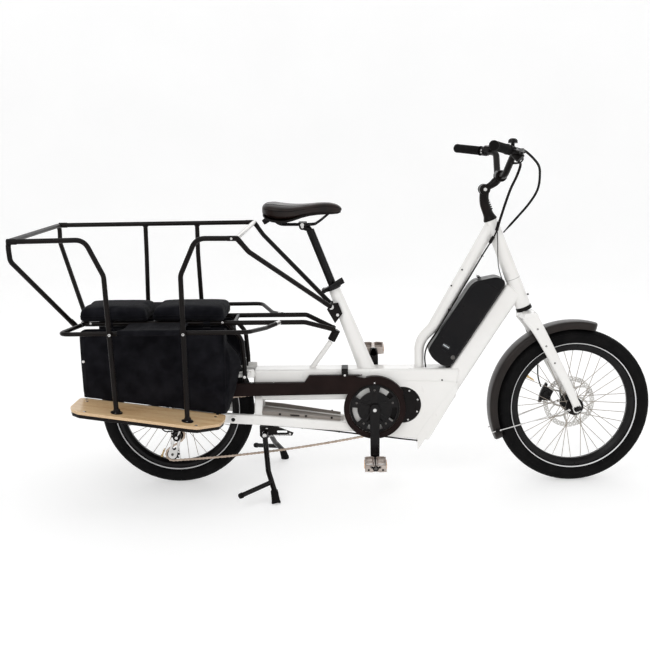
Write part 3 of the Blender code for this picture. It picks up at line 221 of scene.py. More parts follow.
def plywood(name):
    """Clear-lacquered birch: long grain on the faces and stacked plies on the edges."""
    material, nodes, links, shader, where = principled(name)
    long_grain = noise_at(nodes, links, where, 38.0, 8.0, (0.9, 14.0, 14.0))
    broad = noise_at(nodes, links, where, 7.0, 3.0, (0.7, 6.0, 6.0))
    mean = compute(nodes, links, "MULTIPLY", compute(nodes, links, "ADD", long_grain, broad), 0.5)
    face = ramp(nodes, links, mean, ((0.3, (0.44, 0.22, 0.085)), (0.44, (0.72, 0.46, 0.23)),
            (0.62, (0.84, 0.62, 0.37))))
    split, facing = nodes.new("ShaderNodeSeparateXYZ"), nodes.new("ShaderNodeSeparateXYZ")
    links.new(where, split.inputs[0])
    links.new(nodes.new("ShaderNodeNewGeometry").outputs["Normal"], facing.inputs[0])
    depth = compute(nodes, links, "MULTIPLY_ADD", split.outputs["X"], BOARD_SLOPE, split.outputs["Z"])
    saw = compute(nodes, links, "FRACT", compute(nodes, links, "MULTIPLY", depth, 1.0 / PLY))
    edge = ramp(nodes, links, saw, ((0.4, (0.8, 0.6, 0.36)), (0.55, (0.38, 0.22, 0.11))))
    flat = compute(nodes, links, "GREATER_THAN", compute(nodes, links, "ABSOLUTE", facing.outputs["Z"]), 0.6)
    mix = add(nodes, "ShaderNodeMix", data_type="RGBA")
    links.new(flat, mix.inputs["Factor"])
    links.new(edge, mix.inputs["A"])
    links.new(face, mix.inputs["B"])
    links.new(mix.outputs["Result"], shader.inputs["Base Color"])
    bump(nodes, links, shader, long_grain, 0.15, 0.0003)
    shader.inputs["Roughness"].default_value = 0.38
    shader.inputs["Coat Weight"].default_value = 0.35
    shader.inputs["Coat Roughness"].default_value = 0.2
    return material


WHITE = finish("white paint", (0.77, 0.755, 0.73), 0.3, tint=(0.81, 0.8, 0.78), patch=6.0, grain=420.0,
        depth=0.0001, strength=0.12, coat=0.6)
# black is the coat's own colour; its faint brown tint is painted reflection, for brown reflections on the black
# tubes
BLACK = finish("black powder coat", (0.0026, 0.0018, 0.0017), 0.32, tint=(0.0068, 0.0042, 0.0036), grain=1500.0,
        depth=0.00012, strength=0.3, specular=0.13)
GLOSS_BLACK = finish("gloss black", (0.0022, 0.0019, 0.0022), 0.2, tint=(0.0052, 0.0038, 0.0038), patch=20.0,
        depth=0.00004, specular=0.18)
PLASTIC = finish("black plastic", (0.0034, 0.0027, 0.0027), 0.42, tint=(0.0075, 0.0058, 0.0054), grain=1800.0,
        depth=0.00016, strength=0.35, specular=0.12)
BATTERY = finish("battery shell", (0.0024, 0.0024, 0.0034), 0.3, tint=(0.0056, 0.0048, 0.0052), grain=2200.0,
        depth=0.00008, strength=0.2, specular=0.14)
BROWN = finish("guard plastic", (0.0064, 0.0022, 0.0019), 0.4, tint=(0.012, 0.005, 0.0042), grain=1300.0,
        depth=0.00012, strength=0.22, specular=0.1)
FENDER = finish("fender plastic", (0.0066, 0.0043, 0.0036), 0.34, tint=(0.015, 0.0098, 0.0078), grain=1500.0,
        depth=0.0001, strength=0.2, specular=0.26)
RUBBER = finish("tyre rubber", (0.0022, 0.0022, 0.0026), 0.72, tint=(0.006, 0.0056, 0.0056), patch=22.0,
        grain=1400.0, depth=0.00025, strength=0.5, specular=0.08)
GRIP = finish("grip rubber", (0.003, 0.0028, 0.0029), 0.74, tint=(0.0068, 0.006, 0.006), grain=1700.0, depth=0.0002,
        strength=0.5, specular=0.1)
STRIPE = finish("reflective stripe", (0.74, 0.745, 0.75), 0.42, tint=(0.84, 0.845, 0.85), grain=2500.0,
        depth=0.00005)
RIM = finish("black anodising", (0.0034, 0.003, 0.0034), 0.3, specular=0.16, grain=1200.0, depth=0.00004,
        stretch=(1, 8, 1))
STEEL = finish("brushed steel", (0.52, 0.51, 0.49), 0.28, metal=1.0, tint=(0.66, 0.65, 0.63), grain=900.0,
        depth=0.00005, stretch=(1, 6, 1))
BRIGHT = finish("bright steel", (0.62, 0.61, 0.6), 0.2, metal=1.0, tint=(0.74, 0.73, 0.72), grain=500.0,
        depth=0.00003)
ALLOY = finish("silver alloy", (0.6, 0.59, 0.58), 0.3, metal=1.0, tint=(0.74, 0.73, 0.72), grain=1100.0,
        depth=0.00005)
CHAIN_STEEL = finish("chain steel", (0.36, 0.28, 0.22), 0.34, metal=1.0, tint=(0.52, 0.43, 0.36), patch=40.0,
        grain=900.0, depth=0.00005)
SPOKE = finish("spoke steel", (0.3, 0.26, 0.22), 0.3, metal=0.9, tint=(0.42, 0.37, 0.32), patch=60.0, grain=700.0,
        depth=0.00003)
BRASS = finish("brass", (0.52, 0.36, 0.16), 0.32, metal=1.0, tint=(0.66, 0.48, 0.24), patch=60.0, grain=700.0,
        depth=0.00003)
DARK_STEEL = finish("dark steel", (0.1, 0.095, 0.09), 0.34, metal=0.9, grain=900.0, depth=0.00005)
PEDAL_ALLOY = finish("pedal alloy", (0.34, 0.29, 0.26), 0.3, metal=1.0, tint=(0.52, 0.46, 0.42), patch=40.0,
        grain=900.0, depth=0.00005)
AMBER = finish("amber reflector", (0.85, 0.32, 0.03), 0.22, tint=(0.95, 0.45, 0.06), patch=90.0, grain=400.0,
        depth=0.0003, strength=0.5, coat=0.5)
SCREEN = finish("dark window", (0.008, 0.009, 0.011), 0.08, patch=10.0, depth=0.00001, coat=0.6)
LAMP = finish("lamp dot", (0.55, 0.6, 0.62), 0.25, patch=60.0, depth=0.00001)
# the belly plate's grey-brown is painted shade, on a plate that faces up
PLATE_PAINTED_SHADE = finish("belly plate", (0.2, 0.175, 0.155), 0.45, tint=(0.27, 0.24, 0.215), grain=1500.0, depth=0.0001)
CANVAS = woven("pannier canvas", (0.002, 0.002, 0.0034), 0.0018, sheen=0.015)
PAD_CLOTH = woven("pad cloth", (0.0026, 0.0027, 0.0044), 0.0015, sheen=0.03)
WEBBING = woven("webbing", (0.0036, 0.0036, 0.005), 0.0024, 0.5, sheen=0.02)
# the saddle's black is its own colour; its brown tint and lighter brown patches are painted sheen
VINYL = pebbled("saddle vinyl", (0.0058, 0.004, 0.0036), 0.34)
WOOD = plywood("birch plywood")


# ---------------------------------------------------------------- shapes
def skin(rings, closed_loop=False, capped=True):
    """Join rings of points with quads; open loops get end caps."""
    shape = bmesh.new()
    rows = [[shape.verts.new(p) for p in ring] for ring in rings]
    count = len(rows[0])
    pairs = list(zip(rows, rows[1:]))
    if closed_loop:
        pairs.append((rows[-1], rows[0]))
    for a, b in pairs:
        for i in range(count):
            j = (i + 1) % count
            shape.faces.new((a[i], a[j], b[j], b[i]))
    if not closed_loop and capped:
        shape.faces.new(rows[0])
        shape.faces.new(list(reversed(rows[-1])))
    bmesh.ops.recalc_face_normals(shape, faces=shape.faces)
    return shape


def join(shapes):
    """Several shapes as one, each kept whole."""
    whole = bmesh.new()
    for shape in shapes:
        mesh = bpy.data.meshes.new("part")
        shape.to_mesh(mesh)
        shape.free()
        whole.from_mesh(mesh)
        bpy.data.meshes.remove(mesh)
    return whole


def softened(shape, width, steps=3, angle=30):
    """Round the edges sharper than an angle."""
    edges = [e for e in shape.edges if e.is_manifold and e.calc_face_angle(0) > radians(angle)]
    bmesh.ops.bevel(shape, geom=edges, offset=width, offset_type="OFFSET", segments=steps, profile=0.5,
            affect="EDGES", clamp_overlap=True)
    return shape


def cut(shape, *cutters):
    """The shape less the cutters."""
    things = []
    for part in (shape, join(cutters)):
        mesh = bpy.data.meshes.new("cut")
        part.to_mesh(mesh)
        part.free()
        thing = bpy.data.objects.new("cut", mesh)
        bpy.context.collection.objects.link(thing)
        things.append(thing)
    step = things[0].modifiers.new("cut", "BOOLEAN")
    step.operation, step.solver, step.object = "DIFFERENCE", "EXACT", things[1]
    step.use_self = True
    bpy.context.view_layer.update()
    done = things[0].evaluated_get(bpy.context.evaluated_depsgraph_get())
    result = bmesh.new()
    result.from_mesh(done.data)
    for thing in things:
        mesh = thing.data
        bpy.data.objects.remove(thing, do_unlink=True)
        bpy.data.meshes.remove(mesh)
    return result


def piece(name, shapes, material, body="frame", hides=(), angle=38):
    """One visible piece from shapes in rear-axle coordinates, riding on a body if one is given."""
    whole = join(shapes if isinstance(shapes, list) else [shapes])
    if body in TURNED:
        bmesh.ops.rotate(whole, verts=whole.verts, cent=HEAD_TOP, matrix=TURN)
    bmesh.ops.translate(whole, verts=whole.verts, vec=(-MIDDLE_X, 0, 0))
    mesh = bpy.data.meshes.new(name)
    whole.to_mesh(mesh)
    whole.free()
    mesh.materials.append(material)
    mesh.shade_smooth()
    mesh.set_sharp_from_angle(angle=radians(angle))
    thing = bpy.data.objects.new(name, mesh)
    bpy.context.collection.objects.link(thing)
    weight = thing.modifiers.new("weighted normals", "WEIGHTED_NORMAL")
    weight.keep_sharp = True
    if body:
        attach(thing, body)
    if hides:
        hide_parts(*hides)
    return thing


def bend(before, corner, after, steps, share, radius=None, reach=None):
    """Points round a corner, by the bend's radius or by how far it reaches along both sides."""
    to_a, to_b = before - corner, after - corner
    wanted = reach if radius is None else radius / tan(to_a.angle(to_b) / 2)
    reach = min(wanted, share * to_a.length, share * to_b.length)
    a, b = corner + to_a.normalized() * reach, corner + to_b.normalized() * reach
    return [(1 - t) ** 2 * a + 2 * t * (1 - t) * corner + t * t * b for t in [k / steps for k in range(steps + 1)]]


def rounded(points, radius, steps=8):
    """A polyline with each inner corner turned into a round bend."""
    points = [Vector(p) for p in points]
    path = [points[0]]
    for before, corner, after in zip(points, points[1:], points[2:]):
        path += bend(before, corner, after, steps, 0.49, radius)
    return path + [points[-1]]


def curve(points, steps=8):
    """A smooth curve through listed points."""
    points = [Vector(p) for p in points]
    path = []
    for i in range(len(points) - 1):
        p0, p1 = points[max(i - 1, 0)], points[i]
        p2, p3 = points[i + 1], points[min(i + 2, len(points) - 1)]
        for k in range(steps):
            t = k / steps
            path.append(0.5 * ((2 * p1) + (p2 - p0) * t + (2 * p0 - 5 * p1 + 4 * p2 - p3) * t * t
                    + (3 * p1 - p0 - 3 * p2 + p3) * t ** 3))
    path.append(points[-1])
    return path


def tube(path, radius, sides=24, flat=1.0, closed_loop=False, wide_axis=(0, 1, 0), dome=False):
    """A tube along a path; radius is one number or one per point; flat squeezes it along its normal."""
    path = [Vector(p) for p in path]
    radii = list(radius) if isinstance(radius, (list, tuple)) else [radius] * len(path)
    if dome:
        first, last = (path[0] - path[1]).normalized(), (path[-1] - path[-2]).normalized()
        caps = [(0.0, 1.0), (0.35, 0.94), (0.7, 0.7), (0.94, 0.33)]
        path = ([path[0] + first * radii[0] * (d - 1) for d, _ in reversed(caps)] + path[1:-1]
                + [path[-1] + last * radii[-1] * (d - 1) for d, _ in caps])
        radii = ([radii[0] * s for _, s in reversed(caps)] + radii[1:-1] + [radii[-1] * s for _, s in caps])
    rings = []
    side = None
    for i, point in enumerate(path):
        if closed_loop:
            along = (path[(i + 1) % len(path)] - path[i - 1]).normalized()
        else:
            along = (path[min(i + 1, len(path) - 1)] - path[max(i - 1, 0)]).normalized()
        if side is None:
            side = Vector(wide_axis)
            if abs(side.dot(along)) > 0.9:
                side = vec(1, 0, 0) if abs(along.x) < 0.9 else vec(0, 0, 1)
        side = (side - along * side.dot(along)).normalized()
        over = along.cross(side)
        rings.append([point + radii[i] * (side * cos(tau * (k + 0.5) / sides)
                + over * sin(tau * (k + 0.5) / sides) * flat) for k in range(sides)])
    return skin(rings, closed_loop)


def rod(start, end, radius, sides=24):
    return tube([start, end], radius, sides)


def spokes_round(centre, axis, sides):
    """The centre and axis as vectors, and evenly spaced directions square to the axis."""
    axis = Vector(axis).normalized()
    side = vec(0, 0, 1) if abs(axis.z) < 0.9 else vec(1, 0, 0)
    side = (side - axis * side.dot(axis)).normalized()
    over = axis.cross(side)
    return Vector(centre), axis, [side * cos(tau * k / sides) + over * sin(tau * k / sides) for k in range(sides)]


def turned(profile, centre, sides=96, axis=(0, 1, 0)):
    """A ring turned from a closed (radius, offset along axis) profile about an axis through centre."""
    centre, axis, ways = spokes_round(centre, axis, sides)
    return skin([[centre + out * r + axis * h for r, h in profile] for out in ways], closed_loop=True)


def knob(centre, axis, profile, sides=32):
    """A solid turned from an open (radius, offset) profile whose ends lie on the axis."""
    centre, axis, ways = spokes_round(centre, axis, sides)
    return skin([[centre + axis * h + out * max(r, 1e-5) for out in ways] for r, h in profile])


def button(centre, axis, radius, height, edge=0.25, sides=28):
    """A short rod with a rounded top edge."""
    e = min(radius, height) * edge
    return knob(centre, axis, ((radius, 0), (radius, height - e), (radius - e * 0.3, height - e * 0.3),
            (radius - e, height)), sides)


def bolt(centre, axis, radius=0.0042, height=0.0035):
    """A socket-head screw: a rounded head with a six-sided recess."""
    axis = Vector(axis).normalized()
    head = button(centre, axis, radius, height, 0.3, 24)
    recess = knob(Vector(centre) + axis * height * 0.35, axis, ((radius * 0.5, 0), (radius * 0.5, height)), 6)
    return cut(head, recess)


def drum(centre, radius, low, high, sides=64, axis=(0, 1, 0)):
    centre, axis = Vector(centre), Vector(axis).normalized()
    return rod(centre + axis * low, centre + axis * high, radius, sides)


def slab(outline, y_low, y_high):
    """A flat plate: an (x, z) outline extruded sideways."""
    return skin([[vec(x, y, z) for x, z in outline] for y in (y_low, y_high)])


def block(low, high):
    (x0, y0, z0), (x1, y1, z1) = low, high
    return slab(((x0, z0), (x1, z0), (x1, z1), (x0, z1)), y0, y1)


def arc(centre, radius, start_deg, end_deg, steps):
    points = []
    for i in range(steps + 1):
        a = radians(start_deg + (end_deg - start_deg) * i / steps)
        points.append((centre[0] + radius * cos(a), centre[1] + radius * sin(a)))
    return points


def corners(steps):
    """Round a rectangle's corners: each point's two signs, cosine and sine."""
    for a, b, start in ((1, 1, 0), (-1, 1, 90), (-1, -1, 180), (1, -1, 270)):
        for k in range(steps + 1):
            t = radians(start + 90 * k / steps)
            yield a, b, cos(t), sin(t)


def swept_box(path, half_wide, half_tall, edge=0.003, steps=3):
    """A rectangular tube with rounded corners along a path; its sides stay upright."""
    rings = []
    path = [Vector(p) for p in path]
    side = None
    for i, point in enumerate(path):
        along = (path[min(i + 1, len(path) - 1)] - path[max(i - 1, 0)]).normalized()
        fresh = along.cross(vec(0, 0, 1))
        side = fresh.normalized() if fresh.length > 0.05 or side is None else side
        over = side.cross(along)
        rings.append([point + side * (a * (half_wide - edge) + edge * c) + over * (b * (half_tall - edge)
                + edge * s) for a, b, c, s in corners(steps)])
    return skin(rings)


def band(sign, near, far):
    """Two distances from the middle plane on one side, lowest first."""
    return sorted((sign * near, sign * far))


def mirror(vector):
    return vec(vector[0], -vector[1], vector[2])


# ---------------------------------------------------------------- wheels
TREAD_STEPS, TREAD_R = 480, 0.25
CENTRE_BAND, GROOVE, CENTRE_GROOVE = 0.0045, 0.0013, 0.0009


def tread_drop(k, r, wide):
    """How deep the tread is cut at a step round the tyre: slanted side blocks, a groove line and centre notches."""
    if r <= TREAD_R:
        return 0.0
    if wide <= CENTRE_BAND:
        return CENTRE_GROOVE if k % 20 < 2 else 0.0
    return GROOVE if (k + int(wide * 420)) % 10 < 2 or 0.01 < wide < 0.0118 else 0.0


def tyre(name, x, body):
    side = curve([(0.2049, 0.0131, 0), (0.2085, 0.014, 0), (0.2125, 0.0195, 0), (0.218, 0.0252, 0),
            (0.227, 0.029, 0), (0.237, 0.0299, 0), (0.246, 0.0281, 0), (0.253, 0.024, 0), (0.2585, 0.018, 0),
            (0.2615, 0.011, 0), (0.2628, 0.005, 0), (0.263, 0.0, 0)], 3)
    half = [(p.x, p.y) for p in side]
    profile = [(r, -y) for r, y in half[:-1]] + [(r, y) for r, y in reversed(half)]
    centre = vec(x, 0, TYRE_R)
    rings = []
    for k in range(TREAD_STEPS):
        a = tau * k / TREAD_STEPS
        out = vec(sin(a), 0, cos(a))
        rings.append([centre + out * (r - tread_drop(k, r, abs(y))) + vec(0, y, 0) for r, y in profile])
    piece(f"{body}_tread_and_sides", skin(rings, closed_loop=True), RUBBER, body, hides=[f"{name}_tyre"], angle=50)
    ribs = []
    for y in (-1, 1):
        for r, t in ((0.2226, 0.0276), (0.249, 0.027)):
            ribs.append(turned([(r - 0.0006, y * (t - 0.0014)), (r, y * (t + 0.0004)),
                    (r + 0.0006, y * (t - 0.0014))], centre, 180))
    piece(f"{body}_sidewall_ribs", ribs, RUBBER, body)
    stripes = [turned([(0.2128, y * 0.0186), (0.2128, y * 0.0206), (0.2155, y * 0.0238), (0.2155, y * 0.0216)],
            centre, 200) for y in (-1, 1)]
    piece(f"{body}_reflective_stripe", stripes, STRIPE, body)


SPOKES, SPOKE_R, RIM_BED_R = 36, 0.00105, 0.189


def rim_and_spokes(name, x, body, flange_r, low, high, waist_r):
    centre = vec(x, 0, TYRE_R)
    half = [(0.188, 0.003), (0.1882, 0.0062), (0.19, 0.0086), (0.199, 0.0158), (0.2005, 0.0165), (0.2092, 0.0165),
            (0.21, 0.0158), (0.21, 0.014), (0.2045, 0.0135)]
    profile = [(r, -y) for r, y in half] + [(r, y) for r, y in reversed(half)]
    piece(f"{body}_rim", turned(profile, centre, 180), RIM, body, hides=[f"{name}_wheel"], angle=32)
    hub = [(0.0055, low), (0.011, low), (0.012, low + 0.001), (flange_r - 0.006, low + 0.001),
            (flange_r - 0.001, low + 0.0015), (flange_r, low + 0.0025), (flange_r, low + 0.005),
            (flange_r - 0.001, low + 0.006), (waist_r + 0.003, low + 0.0085), (waist_r, low + 0.012),
            (waist_r, high - 0.012), (waist_r + 0.003, high - 0.0085), (flange_r - 0.001, high - 0.006),
            (flange_r, high - 0.005), (flange_r, high - 0.0025), (flange_r - 0.001, high - 0.0015),
            (flange_r - 0.006, high - 0.001), (0.012, high - 0.001), (0.011, high), (0.0055, high)]
    piece(f"{body}_hub", turned(hub, centre, 72), RIM, body, angle=40)
    spokes, nipples = [], []
    for i in range(SPOKES):
        a = tau * i / SPOKES
        out = -1 if i % 2 else 1
        y = (high - 0.0045) if out > 0 else (low + 0.0045)
        lean = a + (0.75 if (i // 2) % 2 else -0.75)
        r = flange_r - 0.0035
        start = centre + vec(sin(lean) * r, y + (0.0012 if (i // 2) % 2 else -0.0012), cos(lean) * r)
        end = centre + vec(sin(a) * RIM_BED_R, out * 0.0018, cos(a) * RIM_BED_R)
        spokes.append(rod(start, end, SPOKE_R, 8))
        way = (end - start).normalized()
        nipples.append(tube([end - way * 0.0135, end - way * 0.0125, end - way * 0.002, end + way * 0.001],
                [0.0012, 0.0017, 0.0018, 0.0026], 10))
        spokes.append(knob(start - vec(0, 0.0008, 0), (0, 1, 0), ((0.0016, 0), (0.0019, 0.0008), (0.0016, 0.0016)),
                10))
    piece(f"{body}_spokes", spokes, SPOKE, body)
    piece(f"{body}_nipples", nipples, ALLOY, body)
    valve_at = radians(147 if x > 0 else 250)
    out = vec(cos(valve_at), 0, sin(valve_at))
    valve = tube([centre + out * r for r in (0.189, 0.181, 0.18, 0.165, 0.164, 0.1575)],
            [0.0046, 0.0046, 0.0029, 0.0029, 0.0018, 0.0018], 16)
    piece(f"{body}_valve", [valve], BRASS, body)
    if x > 0:
        teeth = []
        for k in range(40):
            for a, r in ((k, 0.0262), (k + 0.35, 0.0298), (k + 0.65, 0.0298)):
                a *= tau / 40
                teeth.append((x + r * cos(a), TYRE_R + r * sin(a)))
        knurl = cut(slab(teeth, low - 0.004, low - 0.0004), drum(centre, 0.012, low - 0.01, low + 0.01, 32))
        cup = turned([(0.012, low - 0.0055), (0.0205, low - 0.0055), (0.0225, low - 0.0035), (0.012, low - 0.003)],
                centre, 64)
        piece(f"{body}_hub_cover", [knurl, cup], PLASTIC, body)


def rotor(name, x, body, y):
    """A perforated brake rotor: a braking ring on six swept arms round a carrier."""
    centre = vec(x, 0, TYRE_R)
    thick = 0.0018
    outer = []
    for k in range(180):
        a = tau * k / 180
        r = 0.0896 + 0.0004 * cos(12 * a)
        outer.append((x + r * sin(a), TYRE_R + r * cos(a)))
    ring = slab(outer, y, y + thick)
    holes = [drum(centre, 0.0735, y - 0.002, y + 0.004, 96)]
    for k in range(36):
        a = tau * k / 36
        for r, off, size in ((0.0862, 0.0, 0.0017), (0.0818, 0.085, 0.0022), (0.0775, 0.0, 0.0016)):
            at = vec(x + r * sin(a + off), 0, TYRE_R + r * cos(a + off))
            holes.append(drum(at, size, y - 0.002, y + 0.004, 8))
    ring = cut(ring, *holes)
    arms = []
    for k in range(6):
        a = tau * k / 6
        for inner, lean, swing, steps, half in ((0.029, 0.0, 0.85, 8, 0.0034), (0.048, 0.34, -0.3, 6, 0.0026)):
            points = []
            for s in [t / steps for t in range(steps + 1)]:
                r, turn = inner + (0.076 - inner) * s, a + lean + swing * s
                points.append(vec(x + r * sin(turn), y + thick / 2, TYRE_R + r * cos(turn)))
            arms.append(swept_box(points, thick / 2, half, 0.0004, 1))
    carrier = turned([(0.0215, y), (0.033, y), (0.033, y + thick), (0.0215, y + thick)], centre, 64)
    screws = [bolt(centre + vec(0.026 * sin(tau * k / 6 + 0.2), y + thick, 0.026 * cos(tau * k / 6 + 0.2)),
            (0, 1, 0), 0.0032, 0.002) for k in range(6)]
    piece(f"{body}_brake_disc", [ring, carrier] + arms, STEEL, body, hides=[f"{name}_rotor"])
    piece(f"{body}_disc_screws", screws, DARK_STEEL, body)


for side_name, axle_x, wheel_body, hub_size, disc_y in (("front", WHEELBASE, "front_wheel",
        (0.03, -0.034, 0.034, 0.02), 0.04), ("rear", 0.0, "rear_wheel", (0.03, -0.024, 0.036, 0.018), 0.042)):
    tyre(side_name, axle_x, wheel_body)
    rim_and_spokes(side_name, axle_x, wheel_body, *hub_size)
    rotor(side_name, axle_x, wheel_body, disc_y)
    middle = vec(axle_x, 0, TYRE_R)
    owner = "steering" if side_name == "front" else "frame"
    reach = 0.07 if side_name == "front" else 0.079
    nuts = []
    for sign in (-1, 1):
        way = vec(0, sign, 0)
        nuts.append(knob(middle + way * (reach - 0.0005), way, ((0.0095, 0), (0.0095, 0.006), (0.0082, 0.0072)), 6))
        nuts.append(button(middle + way * (reach - 0.002), way, 0.0125, 0.002, 0.3))
        nuts.append(button(middle + way * (reach + 0.006), way, 0.0048, 0.0048, 0.3))
    piece(f"{side_name}_axle_nuts", nuts, GLOSS_BLACK if side_name == "front" else BRIGHT, owner)

# ---------------------------------------------------------------- frame
def down_point(along, out):
    p = DOWN_EDGE + DOWN_UP * along + DOWN_OUT * out
    return (p.x, p.z)


def on_down(along, out, y):
    x, z = down_point(along, out)
    return vec(x, y, z)


def bead(path, radius=0.0022, closed_loop=True):
    """A weld bead: a thin tube with even ripples along a path."""
    points = curve(list(path) + ([path[0]] if closed_loop else []), 6)
    if closed_loop:
        points = points[:-1]
    radii = [radius * (0.86 + 0.14 * cos(i * 2.2)) for i in range(len(points))]
    return tube(points, radii, 8, closed_loop=closed_loop)


def collar_bead(centre, axis, radius, size=0.0022):
    """A weld bead round a tube."""
    centre, axis = Vector(centre), Vector(axis).normalized()
    side = vec(0, 1, 0)
    over = axis.cross(side).normalized()
    return bead([centre + (side * cos(tau * k / 24) + over * sin(tau * k / 24)) * radius for k in range(24)], size)


beam = softened(slab(((0.267, BEAM_BOTTOM), (0.95, BEAM_BOTTOM), (0.964, BEAM_TOP), (0.267, BEAM_TOP)), -BEAM_HALF,
        BEAM_HALF), 0.009, 5)
cheek = softened(slab([(0.6, 0.33), (0.6, 0.188), (0.7114, 0.1655), (0.86, 0.1515), (0.947, 0.3), (0.956, 0.356),
        (0.66, 0.364)], -0.0408, 0.0408), 0.0045, 4)
cheek, beam = [cut(shape, drum(DRUM3, DRUM_R + 0.0012, -0.06, -0.004, 96), drum(BB3, 0.0412, -0.06, 0.06, 64))
        for shape in (cheek, beam)]
down = softened(slab((down_point(-0.26, 0.0), down_point(0.333, 0.0), down_point(0.333, -DOWN_DEPTH),
        down_point(-0.27, -DOWN_DEPTH)), -0.026, 0.026), 0.011, 5)
flare = []
for along, wide in ((-0.11, 0.0402), (-0.05, 0.0385), (0.03, 0.033), (0.1, 0.0285), (0.16, 0.0262)):
    ring = []
    for a, b, start in ((1, 0, 0), (-1, 0, 90), (-1, -1, 180), (1, -1, 270)):
        for k in range(5):
            t = radians(start + 90 * k / 4)
            out = (0.0005 - 0.011) if b == 0 else (-DOWN_DEPTH - 0.0005 + 0.011)
            x, z = down_point(along, out + 0.011 * sin(t))
            ring.append(vec(x, a * (wide - 0.011) + 0.011 * cos(t), z))
    flare.append(ring)
flare = skin(flare)
fold = [softened(slab([down_point(-0.305, -0.062), down_point(-0.06, -0.062), down_point(-0.03, -0.045),
        down_point(-0.215, -0.033), down_point(-0.262, -0.033)], sign * 0.0402, sign * 0.0416), 0.0006, 2)
        for sign in (-1, 1)]
piece("frame_beam", [beam, cheek, down, flare] + fold, WHITE, hides=["frame"], angle=40)

head = tube([HEAD_TOP.lerp(HEAD_BOTTOM, t) for t in (0, 0.03, 0.5, 0.97, 1)], [0.0212, 0.0222, 0.0238, 0.0255,
        0.0246], 48)
head = cut(head, rod(HEAD_TOP + STEER_UP * 0.02, HEAD_BOTTOM - STEER_UP * 0.02, 0.015, 32))
seat_path = [SEAT_TOP - SEAT_UP * t for t in (0.32, 0.295, 0.27, 0.235, 0.19, 0.13, 0.06, 0.002, 0.0)]
seat_tube = tube(seat_path, [0.0288, 0.0276, 0.027, 0.0262, 0.0248, 0.0232, 0.0205, 0.0186, 0.018], 48)
seat_tube = cut(seat_tube, rod(SEAT_TOP - SEAT_UP * 0.275, SEAT_TOP + SEAT_UP * 0.02, 0.0139, 40))
top_path = rounded([(1.064, 0, 0.873), (0.879, 0, 0.54), (0.8287, 0, 0.49), (0.8287, 0, 0.39)], 0.09, 10)
top_tube = tube(top_path, [0.0205 - 0.005 * i / (len(top_path) - 1) for i in range(len(top_path))], 40)
strut = rod((0.458, 0, 0.39), (0.529, 0, 0.489), 0.0085, 28)
piece("frame_tubes", [head, seat_tube, top_tube, strut], WHITE, angle=40)
beads = [collar_bead(SEAT_TOP - SEAT_UP * 0.303 + vec(0.0015, 0, 0), (0, 0, 1), 0.0315, 0.0024),
        collar_bead((0.465, 0, 0.4005), (0, 0, 1), 0.0098, 0.0018), collar_bead((0.8287, 0, 0.4005), (0, 0, 1),
        0.0165, 0.002)]
for sign in (-1, 1):
    beads.append(bead([vec(x, sign * 0.0404, 0.364 - (x - 0.66) * 0.027)
            for x in [0.66 + 0.0148 * k for k in range(20)]], 0.0011, False))
piece("frame_welds", beads, WHITE)
ring_line = turned([(0.0236, -0.001), (0.0246, -0.0004), (0.0246, 0.0004), (0.0236, 0.001)],
        HEAD_TOP.lerp(HEAD_BOTTOM, 0.675), 64, STEER_UP)
piece("head_tube_ring", ring_line, DARK_STEEL)

STAY_PATH = ((0.63, 0.03, 0.199), (0.56, 0.046, 0.206), (0.3, 0.072, 0.235), (0.199, 0.0755, 0.2425),
        (0.03, 0.076, 0.26))
stays, bosses, boss_bolts = [], [], []
for sign in (1, -1):
    stays.append(swept_box(curve([(x, sign * y, z) for x, y, z in STAY_PATH], 5), 0.01, 0.0165, 0.005, 5))
    stays.append(swept_box([(0.283, sign * 0.034, 0.305), (0.283, sign * 0.07, 0.235)], 0.013, 0.008, 0.003, 3))
    y0, y1 = band(sign, 0.068, 0.076)
    stays.append(softened(slab(((0.045, 0.24), (-0.03, 0.244), (-0.035, 0.28), (0.02, 0.3), (0.045, 0.275)), y0,
            y1), 0.002, 3))
    upper = curve([(0.275, sign * 0.03, 0.385), (0.195, sign * 0.056, 0.384), (0.1, sign * 0.0655, 0.335),
            (0.01, sign * 0.072, 0.285)], 6)
    stays.append(tube(upper, 0.01, 28))
    face = sign * 0.0855
    bosses.append(turned([(0.006, face - sign * 0.004), (0.0125, face - sign * 0.004),
            (0.0125, face + sign * 0.0038), (0.0112, face + sign * 0.005), (0.0072, face + sign * 0.005)],
            (0.199, 0, 0.2415), 40))
    boss_bolts.append(button((0.199, face - sign * 0.001, 0.2415), (0, sign, 0), 0.0066, 0.0048))
piece("chainstays", stays, WHITE, angle=40)
piece("stay_bosses", bosses, WHITE)
piece("stay_boss_bolts", boss_bolts, GLOSS_BLACK)
piece("rear_axle", rod((0, -0.079, TYRE_R), (0, 0.079, TYRE_R), 0.005, 24), BRIGHT)

